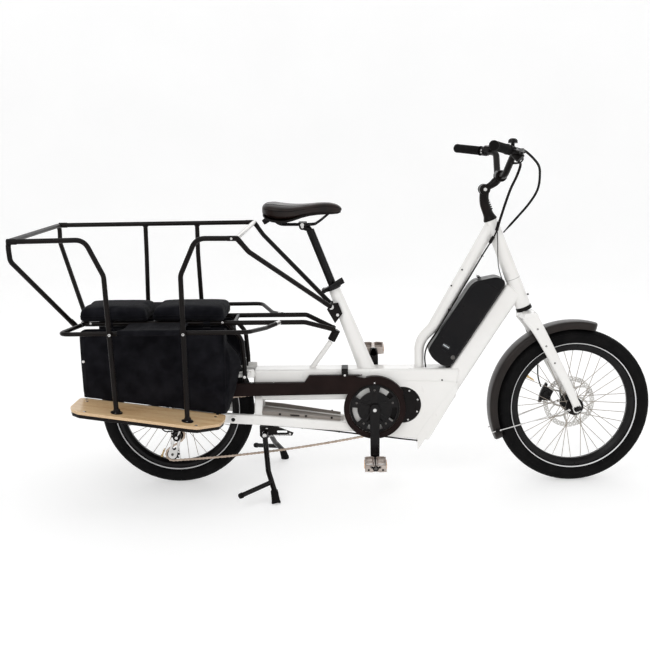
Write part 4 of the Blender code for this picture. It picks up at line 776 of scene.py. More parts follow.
# belly plate and its side strips: grey-brown painted shade
belly_rings = [[vec(x, s * half, z + t) for s, t in ((-1, 0), (1, 0), (1, 0.004), (-1, 0.004))]
        for x, half, z in ((0.29, 0.068, 0.244), (0.57, 0.04, 0.213))]
piece("belly_plate", softened(skin(belly_rings), 0.0008, 2), PLATE_PAINTED_SHADE)
sides, hole_shades = [], []
for sign in (-1, 1):
    side_rings = []
    for x, y, z in ((0.295, 0.065, 0.25), (0.36, 0.0595, 0.2445), (0.56, 0.041, 0.2225)):
        tall = 0.014 if x < 0.5 else 0.009
        side_rings.append([vec(x, sign * (y + a), z + b) for a, b in ((-0.0012, -0.004), (0.0012, -0.004),
                (0.0012, tall), (-0.0012, tall))])
    sides.append(softened(skin(side_rings), 0.0005, 2))
    # black discs and a black bar are painted shade for the belly plate's holes and slot
    for x, y, z in ((0.355, 0.0612, 0.252), (0.443, 0.0535, 0.243), (0.53, 0.0455, 0.234)):
        hole_shades.append(button((x, sign * y, z), (0, sign, 0), 0.004, 0.0012))
    hole_shades.append(swept_box([(0.39, sign * 0.0588, 0.248), (0.421, sign * 0.056, 0.2448)], 0.0012, 0.0022, 0.0008,
            2))
piece("belly_plate_sides", sides, PLATE_PAINTED_SHADE)
piece("belly_plate_holes", hole_shades, PLASTIC)

dots = []
for x, y, z, way in ((0.97, 0.0172, 0.7327, -1), (0.9349, 0.0168, 0.6793, -1), (0.904, 0.0408, 0.3614, -1),
        (0.845, 0.04, 0.39, 1)):
    dots.append(button((x, way * (y - 0.0005), z), (0, way, 0), 0.0028, 0.0016))
dots.append(button((1.1886, -0.0205, 0.6487), (0.35, -1, 0.1), 0.0032, 0.004))
piece("frame_plugs", dots, PLASTIC)
lugs, lug_bolts = [], []
for sign in (-1, 1):
    lugs.append(softened(block((0.24, min(sign * 0.064, sign * 0.056), 0.38),
            (0.272, max(sign * 0.064, sign * 0.056), 0.408)), 0.003, 3))
    lug_bolts.append(button((0.254, sign * 0.0625, 0.396), (0, sign, 0), 0.0075, 0.01, 0.35))
    lug_bolts.append(button((0.254, sign * 0.07, 0.396), (0, sign, 0), 0.0045, 0.007, 0.35))
piece("rack_leg_lugs", lugs, WHITE)
piece("rack_leg_bolts", lug_bolts, ALLOY)
rail = softened(slab((down_point(0.01, -0.001), down_point(0.32, -0.001), down_point(0.32, 0.0036),
        down_point(0.01, 0.0036)), -0.024, 0.024), 0.0012, 2)
piece("battery_rail", rail, PLASTIC)

# ---------------------------------------------------------------- motor, guard and drive
motor = knob(DRUM3, (0, -1, 0), ((0.0, 0.005), (DRUM_R, 0.005), (DRUM_R, 0.0385), (0.0605, 0.041), (0.058, 0.0425),
        (0.04, 0.044), (0.0, 0.044)), 96)
ribs = [turned([(r, -0.0428), (r + 0.0012, -0.0442), (r + 0.0024, -0.0428)], DRUM3, 96) for r in (0.03, 0.045)]
shell = turned(((0.013, -0.044), (0.0385, -0.044), (0.04, -0.0425), (0.04, 0.0465), (0.0385, 0.048),
        (0.013, 0.048)), BB3, 72)
piece("motor_case", [motor, shell] + ribs, PLASTIC, hides=["motor"])
rim_bolts = []
for k in range(8):
    a = radians(20 + 45 * k)
    rim_bolts.append(bolt((DRUM[0] + 0.0545 * cos(a), -0.042, DRUM[1] + 0.0545 * sin(a)), (0, -1, 0), 0.003,
            0.0022))
cover = knob((0.73, 0, 0.272), (0, 1, 0), ((0.0, 0.0402), (0.072, 0.0402), (0.072, 0.042), (0.069, 0.044),
        (0.0, 0.045)), 96)
piece("motor_rim_bolts", rim_bolts, BRIGHT)
piece("motor_left_cover", cover, PLASTIC)

guard_r, hood_r = 0.1045, 0.1125
outline = [(0.185, 0.3594), (0.185, 0.314), (0.582, 0.3199)]
outline += arc(BB, guard_r, 150, 385, 72)
outline += arc(BB, hood_r, 30, 108, 30)
outline += [(0.59, 0.384), (0.456, 0.384), (0.4393, 0.36)]
plate = softened(cut(slab(outline, -0.0622, -0.0572), drum(BB3, 0.0852, -0.07, -0.05, 128)), 0.0012, 3, 50)
lid = slab(((0.185, 0.3594), (0.185, 0.3564), (0.44, 0.357), (0.457, 0.3805), (0.62, 0.3805), (0.635, 0.384),
        (0.456, 0.384), (0.4393, 0.36)), -0.061, -0.0415)
hood = []
for k in range(21):
    a = radians(105 - 75 * k / 20)
    hood.append([vec(BB[0] + r * cos(a), y, BB[1] + r * sin(a))
            for r, y in ((0.11, -0.06), (0.1125, -0.06), (0.1125, -0.043), (0.11, -0.043))])
piece("chain_guard_shell", [plate, softened(lid, 0.0008, 2), skin(hood)], BROWN, hides=["chain_guard"], angle=45)
clamp = softened(block((0.565, -0.0632, 0.38), (0.587, -0.0404, 0.408)), 0.003, 3)
strap = softened(block((0.565, -0.042, 0.402), (0.587, 0.01, 0.406)), 0.001, 2)
piece("guard_clamp", [clamp, strap], PLASTIC)
guard_bolts = [bolt((0.576, -0.063, 0.386), (0, -1, 0), 0.0038, 0.003), bolt((0.26, -0.051, 0.359), (0, 0, 1),
        0.0045, 0.003), bolt((0.335, -0.051, 0.359), (0, 0, 1), 0.0035, 0.0026), bolt((0.628, -0.05, 0.3815),
        (0, 0, 1), 0.004, 0.003), bolt((BB[0], -0.062, BB[1] + 0.09), (0, -1, 0), 0.0026, 0.0016)]
piece("guard_bolts", guard_bolts, BRIGHT)


def pitch_radius(teeth):
    return LINK / (2 * sin(pi / teeth))


def gear(centre, teeth, y_low, y_high, bore, depth=0.004):
    """A toothed disc: rounded valleys on the pitch circle, narrow tips outside it."""
    r = pitch_radius(teeth)
    outline = []
    for k in range(teeth):
        for t, rr in ((-0.5, r - depth), (-0.3, r - depth * 0.55), (-0.14, r + depth * 0.45),
                (-0.05, r + depth * 0.78), (0.05, r + depth * 0.78), (0.14, r + depth * 0.45),
                (0.3, r - depth * 0.55)):
            a = tau * (k + t) / teeth
            outline.append((centre[0] + rr * cos(a), centre[1] + rr * sin(a)))
    return cut(slab(outline, y_low, y_high), drum((centre[0], 0, centre[1]), bore, y_low - 0.01, y_high + 0.01, 48))


ring = gear(BB, 44, -0.0512, -0.0488, 0.0765)
face = turned(((0.013, -0.06), (0.03, -0.059), (0.079, -0.0568), (0.0838, -0.0568), (0.0838, -0.053),
        (0.013, -0.052)), BB3, 160)
windows = []
for k in range(5):
    middle = 126 + 72 * k
    windows.append(slab(arc(BB, 0.0755, middle - 21, middle + 21, 20) + arc(BB, 0.0585, middle + 21, middle - 21,
            16), -0.08, -0.04))
    windows.append(slab(arc(BB, 0.053, middle - 19, middle + 19, 12) + arc(BB, 0.033, middle + 14, middle - 14, 8),
            -0.08, -0.0566))
spider = cut(face, *windows)
lip = turned([(0.0795, -0.0566), (0.0805, -0.0584), (0.0828, -0.0584), (0.0838, -0.0566)], BB3, 128)
arms = []
for k in range(5):
    a = radians(90 + 72 * k)
    path = [vec(BB[0] + r * cos(a), -0.06 + d, BB[1] + r * sin(a))
            for r, d in ((0.012, 0.0), (0.035, 0.001), (0.052, 0.0025))]
    arms.append(tube(path, [0.01, 0.008, 0.0072], 16, 0.45, wide_axis=(-sin(a), 0, cos(a))))
hub_cap = knob(BB3 + vec(0, -0.056, 0), (0, -1, 0), ((0.022, 0), (0.022, 0.006), (0.02, 0.008), (0.012, 0.0085)),
        48)
piece("chainring_and_spider", [softened(spider, 0.0006, 2, 50), lip, hub_cap] + arms, GLOSS_BLACK, "crank",
        hides=["chainring"], angle=40)
piece("chainring_teeth", ring, DARK_STEEL, "crank")
ring_bolts = []
for k in range(5):
    a = radians(162 + 72 * k)
    ring_bolts.append(bolt((BB[0] + 0.064 * cos(a), -0.057, BB[1] + 0.064 * sin(a)), (0, -1, 0), 0.0036, 0.002))
piece("chainring_bolts", ring_bolts, DARK_STEEL, "crank")

ARM_IN, ARM_OUT, ARM_EDGE = 0.0665, 0.08, 0.0045
for side, crank_name in ((-1, "crank_right"), (1, "crank_left")):
    rings = []
    for t, wide in ((-0.115, 0.008), (-0.1, 0.012), (-0.05, 0.0165), (0.0, 0.0185), (0.1, 0.0178), (0.25, 0.0166),
            (0.6, 0.0159), (0.9, 0.0155), (0.97, 0.0148), (1.02, 0.0125), (1.06, 0.0095), (1.08, 0.006)):
        z = BB[1] + side * CRANK * t
        rings.append([vec(BB[0] + a * (wide - ARM_EDGE) + ARM_EDGE * c,
                side * ((ARM_IN + ARM_OUT) / 2 + b * ((ARM_OUT - ARM_IN) / 2 - ARM_EDGE) + ARM_EDGE * s), z)
                for a, b, c, s in corners(5)])
    end = vec(BB[0], 0, BB[1] + side * CRANK)
    boss = knob(BB3 + vec(0, side * 0.06, 0), (0, side, 0), ((0.015, 0), (0.015, 0.019), (0.0135, 0.0205),
            (0.0, 0.0205)), 40)
    eye = knob(end + vec(0, side * 0.0665, 0), (0, side, 0), ((0.0135, 0), (0.0135, 0.0128), (0.0125, 0.0138),
            (0.0, 0.0138)), 40)
    shapes = [skin(rings), boss, eye]
    if side > 0:
        shapes.append(rod((BB[0], -0.065, BB[1]), (BB[0], 0.067, BB[1]), 0.011, 32))
    piece(f"{crank_name}_arm", shapes, GLOSS_BLACK, "crank", hides=[crank_name])
    piece(f"{crank_name}_bolt", [button(BB3 + vec(0, side * 0.08, 0), (0, side, 0), 0.0062, 0.0022, 0.4),
            knob(end + vec(0, side * 0.079, 0), (0, side, 0), ((0.0066, 0), (0.0066, 0.0065), (0.0055, 0.0075)), 6),
            rod((end.x, side * 0.08, end.z), (end.x, side * 0.185, end.z), 0.005, 24)], BRIGHT, "crank")

CAP_OUTLINE = ((-0.034, 0.007), (-0.03, 0.0118), (-0.012, 0.0128), (0.0, 0.0095), (0.012, 0.0128), (0.03, 0.0118),
        (0.034, 0.007), (0.0345, -0.007), (0.03, -0.0118), (0.014, -0.0128), (0.0, -0.01), (-0.014, -0.0128),
        (-0.03, -0.0118), (-0.0345, -0.007))
for side, pedal_name in ((-1, "pedal_right"), (1, "pedal_left")):
    z = BB[1] + side * CRANK
    centre = vec(BB[0], 0, z)
    shapes = []
    barrel = turned([(0.0057, side * 0.0875), (0.01, side * 0.0875), (0.0108, side * 0.09), (0.0092, side * 0.105),
            (0.0092, side * 0.168), (0.0108, side * 0.183), (0.01, side * 0.1855), (0.0057, side * 0.1855)], centre,
            40)
    shapes.append(barrel)
    for a in (-1, 1):
        wall = [(0.089, 0.0105), (0.095, 0.0128)]
        for k in range(7):
            y = 0.0985 + 0.0125 * k
            wall += [(y, 0.0128), (y + 0.0022, 0.0098), (y + 0.0062, 0.0098), (y + 0.0084, 0.0128)]
        wall += [(0.184, 0.0105)]
        profile = wall + [(y, -t) for y, t in reversed(wall)]
        x = BB[0] + a * 0.0335
        plate = skin([[vec(x + dx, side * y, z + t) for y, t in profile] for dx in (-0.0022, 0.0022)])
        shapes.append(softened(plate, 0.0005, 1))
    for y0, y1 in ((0.088, 0.0925), (0.181, 0.1855)):
        shapes.append(softened(slab([(BB[0] + dx, z + dz) for dx, dz in CAP_OUTLINE], *band(side, y0, y1)), 0.001,
                2))
    for y0, y1 in ((0.118, 0.1215), (0.152, 0.1555)):
        shapes.append(softened(slab([(BB[0] - 0.033, z + 0.0045), (BB[0] + 0.033, z + 0.0045),
                (BB[0] + 0.033, z - 0.0045), (BB[0] - 0.033, z - 0.0045)], *band(side, y0, y1)), 0.0008, 2))
    piece(f"{pedal_name}_cage", shapes, PEDAL_ALLOY, pedal_name, hides=[pedal_name], angle=35)
    # thin black discs on the pedal's end are painted shade for its hollows
    dark = [knob((BB[0] + dx, side * 0.185, z + dz), (0, side, 0), ((r, 0), (r, 0.001)), 24)
            for dx, dz, r in ((-0.013, 0.0045, 0.0042), (0.013, 0.0045, 0.0042), (-0.0235, -0.0045, 0.0035),
            (0.0235, -0.0045, 0.0035), (0.0, 0.0, 0.0062))]
    piece(f"{pedal_name}_recess_shade", dark, PLASTIC, pedal_name)
    reflectors = []
    for a in (-1, 1):
        x0, x1 = sorted((BB[0] + a * 0.0352, BB[0] + a * 0.0375))
        lo, hi = band(side, 0.112, 0.16)
        reflectors.append(softened(block((x0, lo, z - 0.0085), (x1, hi, z + 0.0085)), 0.0012, 2))
    piece(f"{pedal_name}_reflectors", reflectors, AMBER, pedal_name)
    dust = [button(centre + vec(0, side * 0.185, 0), (0, side, 0), 0.0058, 0.0022, 0.4)]
    dust += [button(centre + vec(dx, side * 0.1852, 0.006), (0, side, 0), 0.0028, 0.0012, 0.4)
            for dx in (-0.016, 0.016)]
    piece(f"{pedal_name}_end_caps", dust, DARK_STEEL, pedal_name)


# ---------------------------------------------------------------- chain, cogs and derailleur
def chain_route():
    """The chain's centre line as (x, z) points, ring first, and how many lie before the guide pulley's end."""
    wheels = ((BB, pitch_radius(44), 1), ((0.0, TYRE_R), pitch_radius(14), 1), (GUIDE_PULLEY, pitch_radius(11), -1),
            (TENSION_PULLEY, pitch_radius(11), 1))
    leave, arrive = [0.0] * 4, [0.0] * 4
    for i in range(4):
        (c0, r0, s0), (c1, r1, s1) = wheels[i], wheels[(i + 1) % 4]
        dx, dz = c1[0] - c0[0], c1[1] - c0[1]
        heading = atan2(dz, dx) - asin((s1 * r1 - s0 * r0) / hypot(dx, dz))
        leave[i] = heading - s0 * pi / 2
        arrive[(i + 1) % 4] = heading - s1 * pi / 2
    slack = 4 * CHAIN_SAG / hypot(BB[0] - TENSION_PULLEY[0], BB[1] - TENSION_PULLEY[1])
    leave[3] -= slack
    arrive[0] += slack
    route = []
    for i in range(4):
        (cx, cz), r, sense = wheels[i]
        sweep = (leave[i] - arrive[i]) * sense % tau * sense
        steps = int(abs(sweep) / 0.05) + 1
        route += [(cx + r * cos(arrive[i] + sweep * k / steps), cz + r * sin(arrive[i] + sweep * k / steps))
                for k in range(steps + 1)]
        if i == 3:
            x0, z0 = route[-1]
            x1, z1 = BB[0] + pitch_radius(44) * cos(arrive[0]), BB[1] + pitch_radius(44) * sin(arrive[0])
            for k in range(1, 60):
                t = k / 60
                route.append((x0 + (x1 - x0) * t, z0 + (z1 - z0) * t - 4 * CHAIN_SAG * t * (1 - t)))
        if i == 2:
            guide_end = len(route)
    return route, guide_end


route, guide_end = chain_route()
lengths = [0.0]
for a, b in zip(route, route[1:] + route[:1]):
    lengths.append(lengths[-1] + hypot(b[0] - a[0], b[1] - a[1]))
guide_length = lengths[guide_end]
link_count = int(round(lengths[-1] / LINK / 2)) * 2
pins = []
cursor = 0
for k in range(link_count):
    want = lengths[-1] * k / link_count
    while lengths[cursor + 1] < want:
        cursor += 1
    t = (want - lengths[cursor]) / (lengths[cursor + 1] - lengths[cursor])
    a, b = route[cursor], route[(cursor + 1) % len(route)]
    pins.append((a[0] + (b[0] - a[0]) * t, a[1] + (b[1] - a[1]) * t, want))


def link_plate(a, b, y_low, y_high, size=0.0038, waist=0.0026):
    """One figure-of-eight side plate between two pins."""
    ax, az = a
    bx, bz = b
    heading = degrees(atan2(bz - az, bx - ax))
    outline = arc(a, size, heading + 60, heading + 300, 7)
    mx, mz = (ax + bx) / 2, (az + bz) / 2
    nx, nz = -sin(radians(heading)), cos(radians(heading))
    outline.append((mx - nx * waist, mz - nz * waist))
    outline += arc(b, size, heading - 120, heading + 120, 7)
    outline.append((mx + nx * waist, mz + nz * waist))
    return slab(outline, y_low, y_high)


OUTER_HALF, INNER_HALF, PLATE_THICK = 0.003, 0.0021, 0.0008
upper_links, lower_links = [], []
for k in range(link_count):
    a, b = pins[k], pins[(k + 1) % link_count]
    wide = OUTER_HALF if k % 2 else INNER_HALF
    here = []
    for s in (-1, 1):
        lo, hi = sorted((CHAIN_Y + s * wide, CHAIN_Y + s * (wide - PLATE_THICK)))
        here.append(link_plate(a[:2], b[:2], lo, hi))
    for half, r, sides in ((0.0033, 0.0017, 8), (0.002, 0.0035, 10)):   # the pin and its roller
        here.append(rod((a[0], CHAIN_Y - half, a[1]), (a[0], CHAIN_Y + half, a[1]), r, sides))
    (upper_links if a[2] < guide_length else lower_links).extend(here)
piece("chain_upper", upper_links, CHAIN_STEEL, hides=["chain"], angle=30)
lower_chain = piece("chain_lower", lower_links, CHAIN_STEEL, None, angle=30)
lower_chain.modifiers.clear()
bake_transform(lower_chain)

cogs = []
for teeth, y in ((14, -0.05), (17, -0.0455), (20, -0.041), (23, -0.0365), (26, -0.032), (28, -0.028)):
    half, depth = (0.001, 0.0036) if teeth == 14 else (0.0009, 0.0034)
    cogs.append(gear((0.0, TYRE_R), teeth, y - half, y + half, 0.018, depth))
body_core = turned([(0.0055, -0.0265), (0.02, -0.0265), (0.02, -0.0555), (0.0165, -0.056), (0.0055, -0.056)],
        (0, 0, TYRE_R), 48)
piece("cassette_cogs", cogs + [body_core], STEEL, "cassette", hides=["cassette"], angle=30)

for pulley_name, (px, pz) in (("guide_pulley", GUIDE_PULLEY), ("tension_pulley", TENSION_PULLEY)):
    wheel_shape = gear((px, pz), 11, CHAIN_Y - 0.0011, CHAIN_Y + 0.0011, 0.0045, 0.0034)
    flange = turned([(0.0045, CHAIN_Y - 0.003), (0.013, CHAIN_Y - 0.0018), (0.013, CHAIN_Y + 0.0018),
            (0.0045, CHAIN_Y + 0.003)], (px, 0, pz), 40)
    piece(f"{pulley_name}_wheel", [wheel_shape, flange], PLASTIC, pulley_name, hides=[pulley_name], angle=35)

(gx, gz), (tx, tz) = GUIDE_PULLEY, TENSION_PULLEY
heading = degrees(atan2(gz - tz, gx - tx))
cage_outline = arc((gx, gz), 0.0125, heading - 90, heading + 90, 20) + arc((tx, tz), 0.0155, heading + 90,
        heading + 270, 20)
shapes = []
for s in (1, -1):
    lo, hi = sorted((CHAIN_Y + s * 0.0057, CHAIN_Y + s * 0.0078))
    hole_middle = vec((gx + tx) / 2, 0, (gz + tz) / 2)
    way = vec(gx - tx, 0, gz - tz).normalized()
    slot_path = arc((hole_middle.x + way.x * 0.012, hole_middle.z + way.z * 0.012), 0.0055, heading - 90,
            heading + 90, 8)
    slot_path += arc((hole_middle.x - way.x * 0.012, hole_middle.z - way.z * 0.012), 0.0065, heading + 90,
            heading + 270, 8)
    plate = cut(slab(cage_outline, lo, hi), slab(slot_path, lo - 0.01, hi + 0.01))
    shapes.append(softened(plate, 0.0005, 2, 50))
piece("derailleur_cage_plates", shapes, ALLOY, "derailleur_cage", hides=["derailleur_cage"])
piece("pulley_bolts", [bolt((x, CHAIN_Y - 0.0078, z), (0, -1, 0), 0.0046, 0.0026)
        for x, z in (GUIDE_PULLEY, TENSION_PULLEY)] + [rod((x, CHAIN_Y - 0.008, z), (x, CHAIN_Y + 0.0075, z),
        0.0026, 16) for x, z in (GUIDE_PULLEY, TENSION_PULLEY)], DARK_STEEL, "derailleur_cage")
hanger = knob((0.01, -0.06, 0.2262), (0, -1, 0), ((0.0105, 0), (0.012, 0.002), (0.012, 0.0235), (0.0105, 0.026),
        (0.0, 0.0262)), 40)
link_path = curve([(0.01, -0.072, 0.2262), (0.0165, -0.075, 0.204), (0.005, -0.074, 0.179)], 8)
knuckle = knob((gx, -0.0612, gz), (0, -1, 0), ((0.0115, 0), (0.013, 0.002), (0.013, 0.0225), (0.0115, 0.0248),
        (0.0, 0.025)), 40)
piece("derailleur_knuckles", [hanger, knuckle], PLASTIC, hides=["derailleur_body"])
links_pair = [tube([p + vec(0, s * 0.0062, 0) for p in link_path], 0.0058, 16, 0.55) for s in (-1, 1)]
piece("derailleur_links", links_pair, ALLOY)
piece("derailleur_bolts", [bolt((0.01, -0.0862, 0.2262), (0, -1, 0), 0.006, 0.003),
        bolt((gx, -0.0862, gz), (0, -1, 0), 0.0052, 0.0026)], BRIGHT)
piece("derailleur_cable", tube(curve([(0.048, -0.08, 0.26), (0.02, -0.086, 0.248), (-0.025, -0.086, 0.245),
        (-0.048, -0.084, 0.225), (-0.036, -0.08, 0.201), (-0.008, -0.078, 0.199)], 10), 0.0022, 12), PLASTIC)

under = curve([(0.33, -0.07, 0.21), (0.36, -0.066, 0.212), (0.47, -0.056, 0.1985), (0.59, -0.044, 0.18),
        (0.64, -0.04, 0.172), (0.7, -0.038, 0.1655), (0.77, -0.038, 0.156), (0.83, -0.038, 0.149)], 6)
piece("lower_cable", tube(under, 0.0025, 12), PLASTIC)
ties = []
for place in (4, 10, 16, 22, 30):
    p = under[place]
    way = (under[place + 1] - p).normalized() * 0.0018
    ties.append(rod(p - way, p + way, 0.0038, 12))
piece("lower_cable_ties", ties, PLASTIC)

# ---------------------------------------------------------------- battery
BATTERY_OUTLINE = ((-0.003, 0.004), (-0.0145, 0.029), (-0.011, 0.07), (0.003, 0.096), (0.02, 0.1), (0.262, 0.1),
        (0.285, 0.094), (0.336, 0.042), (0.34, 0.016), (0.33, 0.004))


def shrunk(outline, amount):
    """An (along, out) outline moved inwards by an amount."""
    count = len(outline)
    area = sum(outline[i][0] * outline[(i + 1) % count][1] - outline[(i + 1) % count][0] * outline[i][1]
            for i in range(count))
    sense = 1 if area > 0 else -1
    moved = []
    for i in range(count):
        p0, p1, p2 = (Vector((*outline[(i + k) % count], 0)) for k in (-1, 0, 1))
        n1 = vec(-(p1 - p0).y, (p1 - p0).x, 0).normalized()
        n2 = vec(-(p2 - p1).y, (p2 - p1).x, 0).normalized()
        mid = (n1 + n2).normalized()
        moved.append(tuple((p1 + mid * sense * amount / max(0.35, mid.dot(n1)))[:2]))
    return moved


def rounded_outline(outline, steps, **size):
    """A closed outline with round corners, by their radius or their reach."""
    points = [Vector((*p, 0)) for p in outline]
    path = []
    for i, corner in enumerate(points):
        path += bend(points[i - 1], corner, points[(i + 1) % len(points)], steps, 0.45, **size)
    return [(p.x, p.y) for p in path]


def shell_rings(outline, half, edge, steps=6):
    """Rings of a plate with rounded rims: narrow at both faces, full size between them."""
    rings = []
    for s in (-1, 1):
        order = range(steps + 1) if s < 0 else range(steps, -1, -1)
        for k in order:
            a = radians(90 * k / steps)
            inward, y = edge * (1 - sin(a)), half - edge * (1 - cos(a))
            rings.append([on_down(*p, s * y) for p in shrunk(outline, inward)])
    return rings


battery_outline = rounded_outline(BATTERY_OUTLINE, 5, reach=0.018)
piece("battery_case", skin(shell_rings(battery_outline, 0.043, 0.009)), BATTERY, "battery", hides=["battery"],
        angle=45)
seam = skin([[on_down(*p, y) for p in shrunk(battery_outline, -0.0005)] for y in (-0.0012, 0.0012)])
piece("battery_seam", seam, GLOSS_BLACK, "battery", angle=45)
end_cap = []
for t in (0.033, 0.301):
    a, b = on_down(t, 0.005, 0), on_down(t, 0.0995, 0)
    for s in (-1, 1):
        end_cap.append(swept_box([a + vec(0, s * 0.043, 0) + DOWN_OUT * 0.004,
                b + vec(0, s * 0.043, 0) - DOWN_OUT * 0.008], 0.0007, 0.0006, 0.0003, 1))
piece("battery_cap_lines", end_cap, GLOSS_BLACK, "battery")


def oriented(shape, origin, x_axis, y_axis):
    z_axis = x_axis.cross(y_axis)
    matrix = Matrix((x_axis, y_axis, z_axis)).transposed().to_4x4()
    bmesh.ops.transform(shape, matrix=Matrix.Translation(origin) @ matrix, verts=shape.verts)
    return shape


for s in (-1, 1):
    side_name = "left" if s > 0 else "right"
    window = oriented(softened(block((-0.006, -0.0008, -0.013), (0.006, 0.0008, 0.013)), 0.0006, 2),
            on_down(0.05, 0.056, s * 0.0432), DOWN_UP, vec(0, 1, 0))
    piece(f"battery_window_{side_name}", window, SCREEN, "battery")
    leds = [oriented(block((-0.0016, -0.0004, -0.0016 + o), (0.0016, 0.0004, 0.0016 + o)),
            on_down(0.05, 0.056, s * 0.0441), DOWN_UP, vec(0, 1, 0)) for o in (-0.009, -0.0045, 0.0, 0.0045, 0.009)]
    piece(f"battery_lights_{side_name}", leds, LAMP, "battery")
lock = button(on_down(0.03, 0.016, -0.0425), (0, -1, 0), 0.0075, 0.0022, 0.4)
piece("battery_lock", [lock], DARK_STEEL, "battery")
handle_path = [on_down(0.295, 0.079, y) + DOWN_OUT * 0.0085 + DOWN_UP * 0.006
        for y in (-0.022, -0.011, 0.0, 0.011, 0.022)]
piece("battery_handle", tube(handle_path, 0.0055, 20, 0.6, dome=True), PLASTIC, "battery")
socket = softened(slab([down_point(-0.002, 0.002), down_point(-0.008, 0.015), down_point(-0.027, 0.011),
        down_point(-0.03, -0.001)], -0.026, 0.026), 0.003, 3)
piece("battery_socket", socket, PLASTIC)

# ---------------------------------------------------------------- seat
collar = turned(((0.019, -0.012), (0.024, -0.012), (0.0248, -0.0112), (0.0248, 0.0012), (0.024, 0.002),
        (0.0142, 0.002), (0.0142, 0.0006), (0.019, 0.0006)), SEAT_TOP, 64, SEAT_UP)
ear_at = SEAT_TOP - SEAT_UP * 0.005 + vec(-0.03, 0, -0.0109)
ears = [swept_box([ear_at + vec(0.01, s * 0.0075, 0.0036), ear_at + vec(-0.0075, s * 0.0075, -0.0027)], 0.0045,
        0.0062, 0.002, 3) for s in (-1, 1)]
piece("seat_collar_band", [collar] + ears, PLASTIC, hides=["seat_collar"])
piece("seat_collar_pin", rod(ear_at + vec(-0.002, -0.015, 0), ear_at + vec(-0.002, 0.018, 0), 0.003, 16), BRIGHT)
piece("seat_collar_nut", knob(ear_at + vec(-0.002, 0.0125, 0), (0, 1, 0), ((0.0065, 0), (0.0065, 0.005),
        (0.005, 0.006)), 24), PLASTIC)
pivot = ear_at + vec(-0.001, -0.019, 0)
lever_path = curve([pivot, pivot + vec(0.018, -0.011, 0.0085), pivot + vec(0.038, -0.0115, 0.021),
        pivot + vec(0.056, -0.0105, 0.033), pivot + vec(0.066, -0.01, 0.038)], 6)
lever_radii = [0.0062 + 0.0044 * min(1.0, 1.6 * i / (len(lever_path) - 1)) for i in range(len(lever_path))]
piece("collar_lever_arm", [tube(lever_path, lever_radii, 20, 0.5, wide_axis=(0.5, 0, -0.86), dome=True),
        knob(pivot + vec(0, 0.006, 0), (0, -1, 0), ((0.007, 0), (0.0075, 0.001), (0.0075, 0.011), (0.006, 0.0125)),
        28)], GLOSS_BLACK, "collar_lever", hides=["collar_lever"])

SADDLE = ((0.3085, 0.046, 0.95, 0.93), (0.312, 0.062, 0.958, 0.922), (0.32, 0.08, 0.9625, 0.914),
        (0.342, 0.0955, 0.964, 0.905), (0.365, 0.099, 0.961, 0.902), (0.39, 0.0945, 0.958, 0.902),
        (0.415, 0.08, 0.956, 0.9075), (0.44, 0.062, 0.9562, 0.915), (0.465, 0.047, 0.958, 0.92),
        (0.49, 0.0385, 0.9605, 0.9225), (0.515, 0.033, 0.962, 0.9235), (0.54, 0.029, 0.96, 0.924),
        (0.558, 0.0235, 0.954, 0.9255), (0.568, 0.016, 0.946, 0.93), (0.5712, 0.0085, 0.94, 0.935))


SADDLE_EDGE, SEAM_IN = 0.62, 0.62   # how high the rolled edge lies, and how far out the inner seam runs


def saddle_ring(half, top, bottom, x, count=48):
    """One cross section: a soft crowned top with a shallow centre channel, a rolled edge and a flat underside."""
    ring = []
    edge = bottom + (top - bottom) * SADDLE_EDGE
    for k in range(count):
        a = tau * k / count
        c, s = cos(a), sin(a)
        y = half * (abs(c) ** 0.85) * (1 if c > 0 else -1)
        if s >= 0:
            channel = 0.0035 * exp(-(y / 0.01) ** 2) * min(1.0, half / 0.05)
            z = edge + (top - edge) * (s ** 0.75) - channel * s
        else:
            z = edge + (edge - bottom) * max(-1.0, s * 1.25) if half > 0.02 else edge + (edge - bottom) * s
            y *= 0.96 if s > -0.6 else 0.9
        ring.append(vec(x, y, z))
    return ring


cover = piece("saddle_cover", skin([saddle_ring(half, top, bottom, x) for x, half, top, bottom in SADDLE]), VINYL,
        "seat", hides=["saddle"], angle=70)
cover.modifiers.clear()
smoothing = cover.modifiers.new("smooth", "SUBSURF")
smoothing.levels = smoothing.render_levels = 1
seams = []
for s in (-1, 1):
    line = []
    for x, half, top, bottom in SADDLE[1:-1]:
        edge = bottom + (top - bottom) * SADDLE_EDGE
        line.append((x, s * half, edge + 0.0008))
    seams.append(tube(curve(line, 4), 0.001, 8))
    inner_line = []
    for x, half, top, bottom in SADDLE[2:9]:
        edge = bottom + (top - bottom) * SADDLE_EDGE
        inner_line.append((x, s * half * (SEAM_IN ** 0.85), edge + (top - edge) * (sin(acos(SEAM_IN)) ** 0.75)
                + 0.0002))
    seams.append(tube(curve(inner_line, 4), 0.0007, 8))
piece("saddle_seams", seams, GLOSS_BLACK, "seat")
base_rings = [[vec(x, y * max(0.01, half - 0.009), bottom - 0.0035 + abs(y) * 0.002) for y in (-1, -0.6, 0, 0.6, 1)]
        + [vec(x, y * max(0.01, half - 0.009), bottom + 0.006) for y in (1, 0.6, 0, -0.6, -1)]
        for x, half, top, bottom in SADDLE[1:-1]]
piece("saddle_base", softened(skin(base_rings), 0.0012, 2), PLASTIC, "seat", angle=50)
tail = tube([(0.309, 0, 0.896), (0.314, 0, 0.899), (0.333, 0, 0.911), (0.337, 0, 0.9135)],
        [0.0085, 0.0095, 0.0095, 0.0085], 28)
rolls = [tube([(x, y, 0.903), (x, -y, 0.903)], 0.004, 12) for x, y in ((0.352, 0.04), (0.372, 0.042),
        (0.392, 0.04))]
piece("saddle_tail_bumper", [tail] + rolls, PLASTIC, "seat")
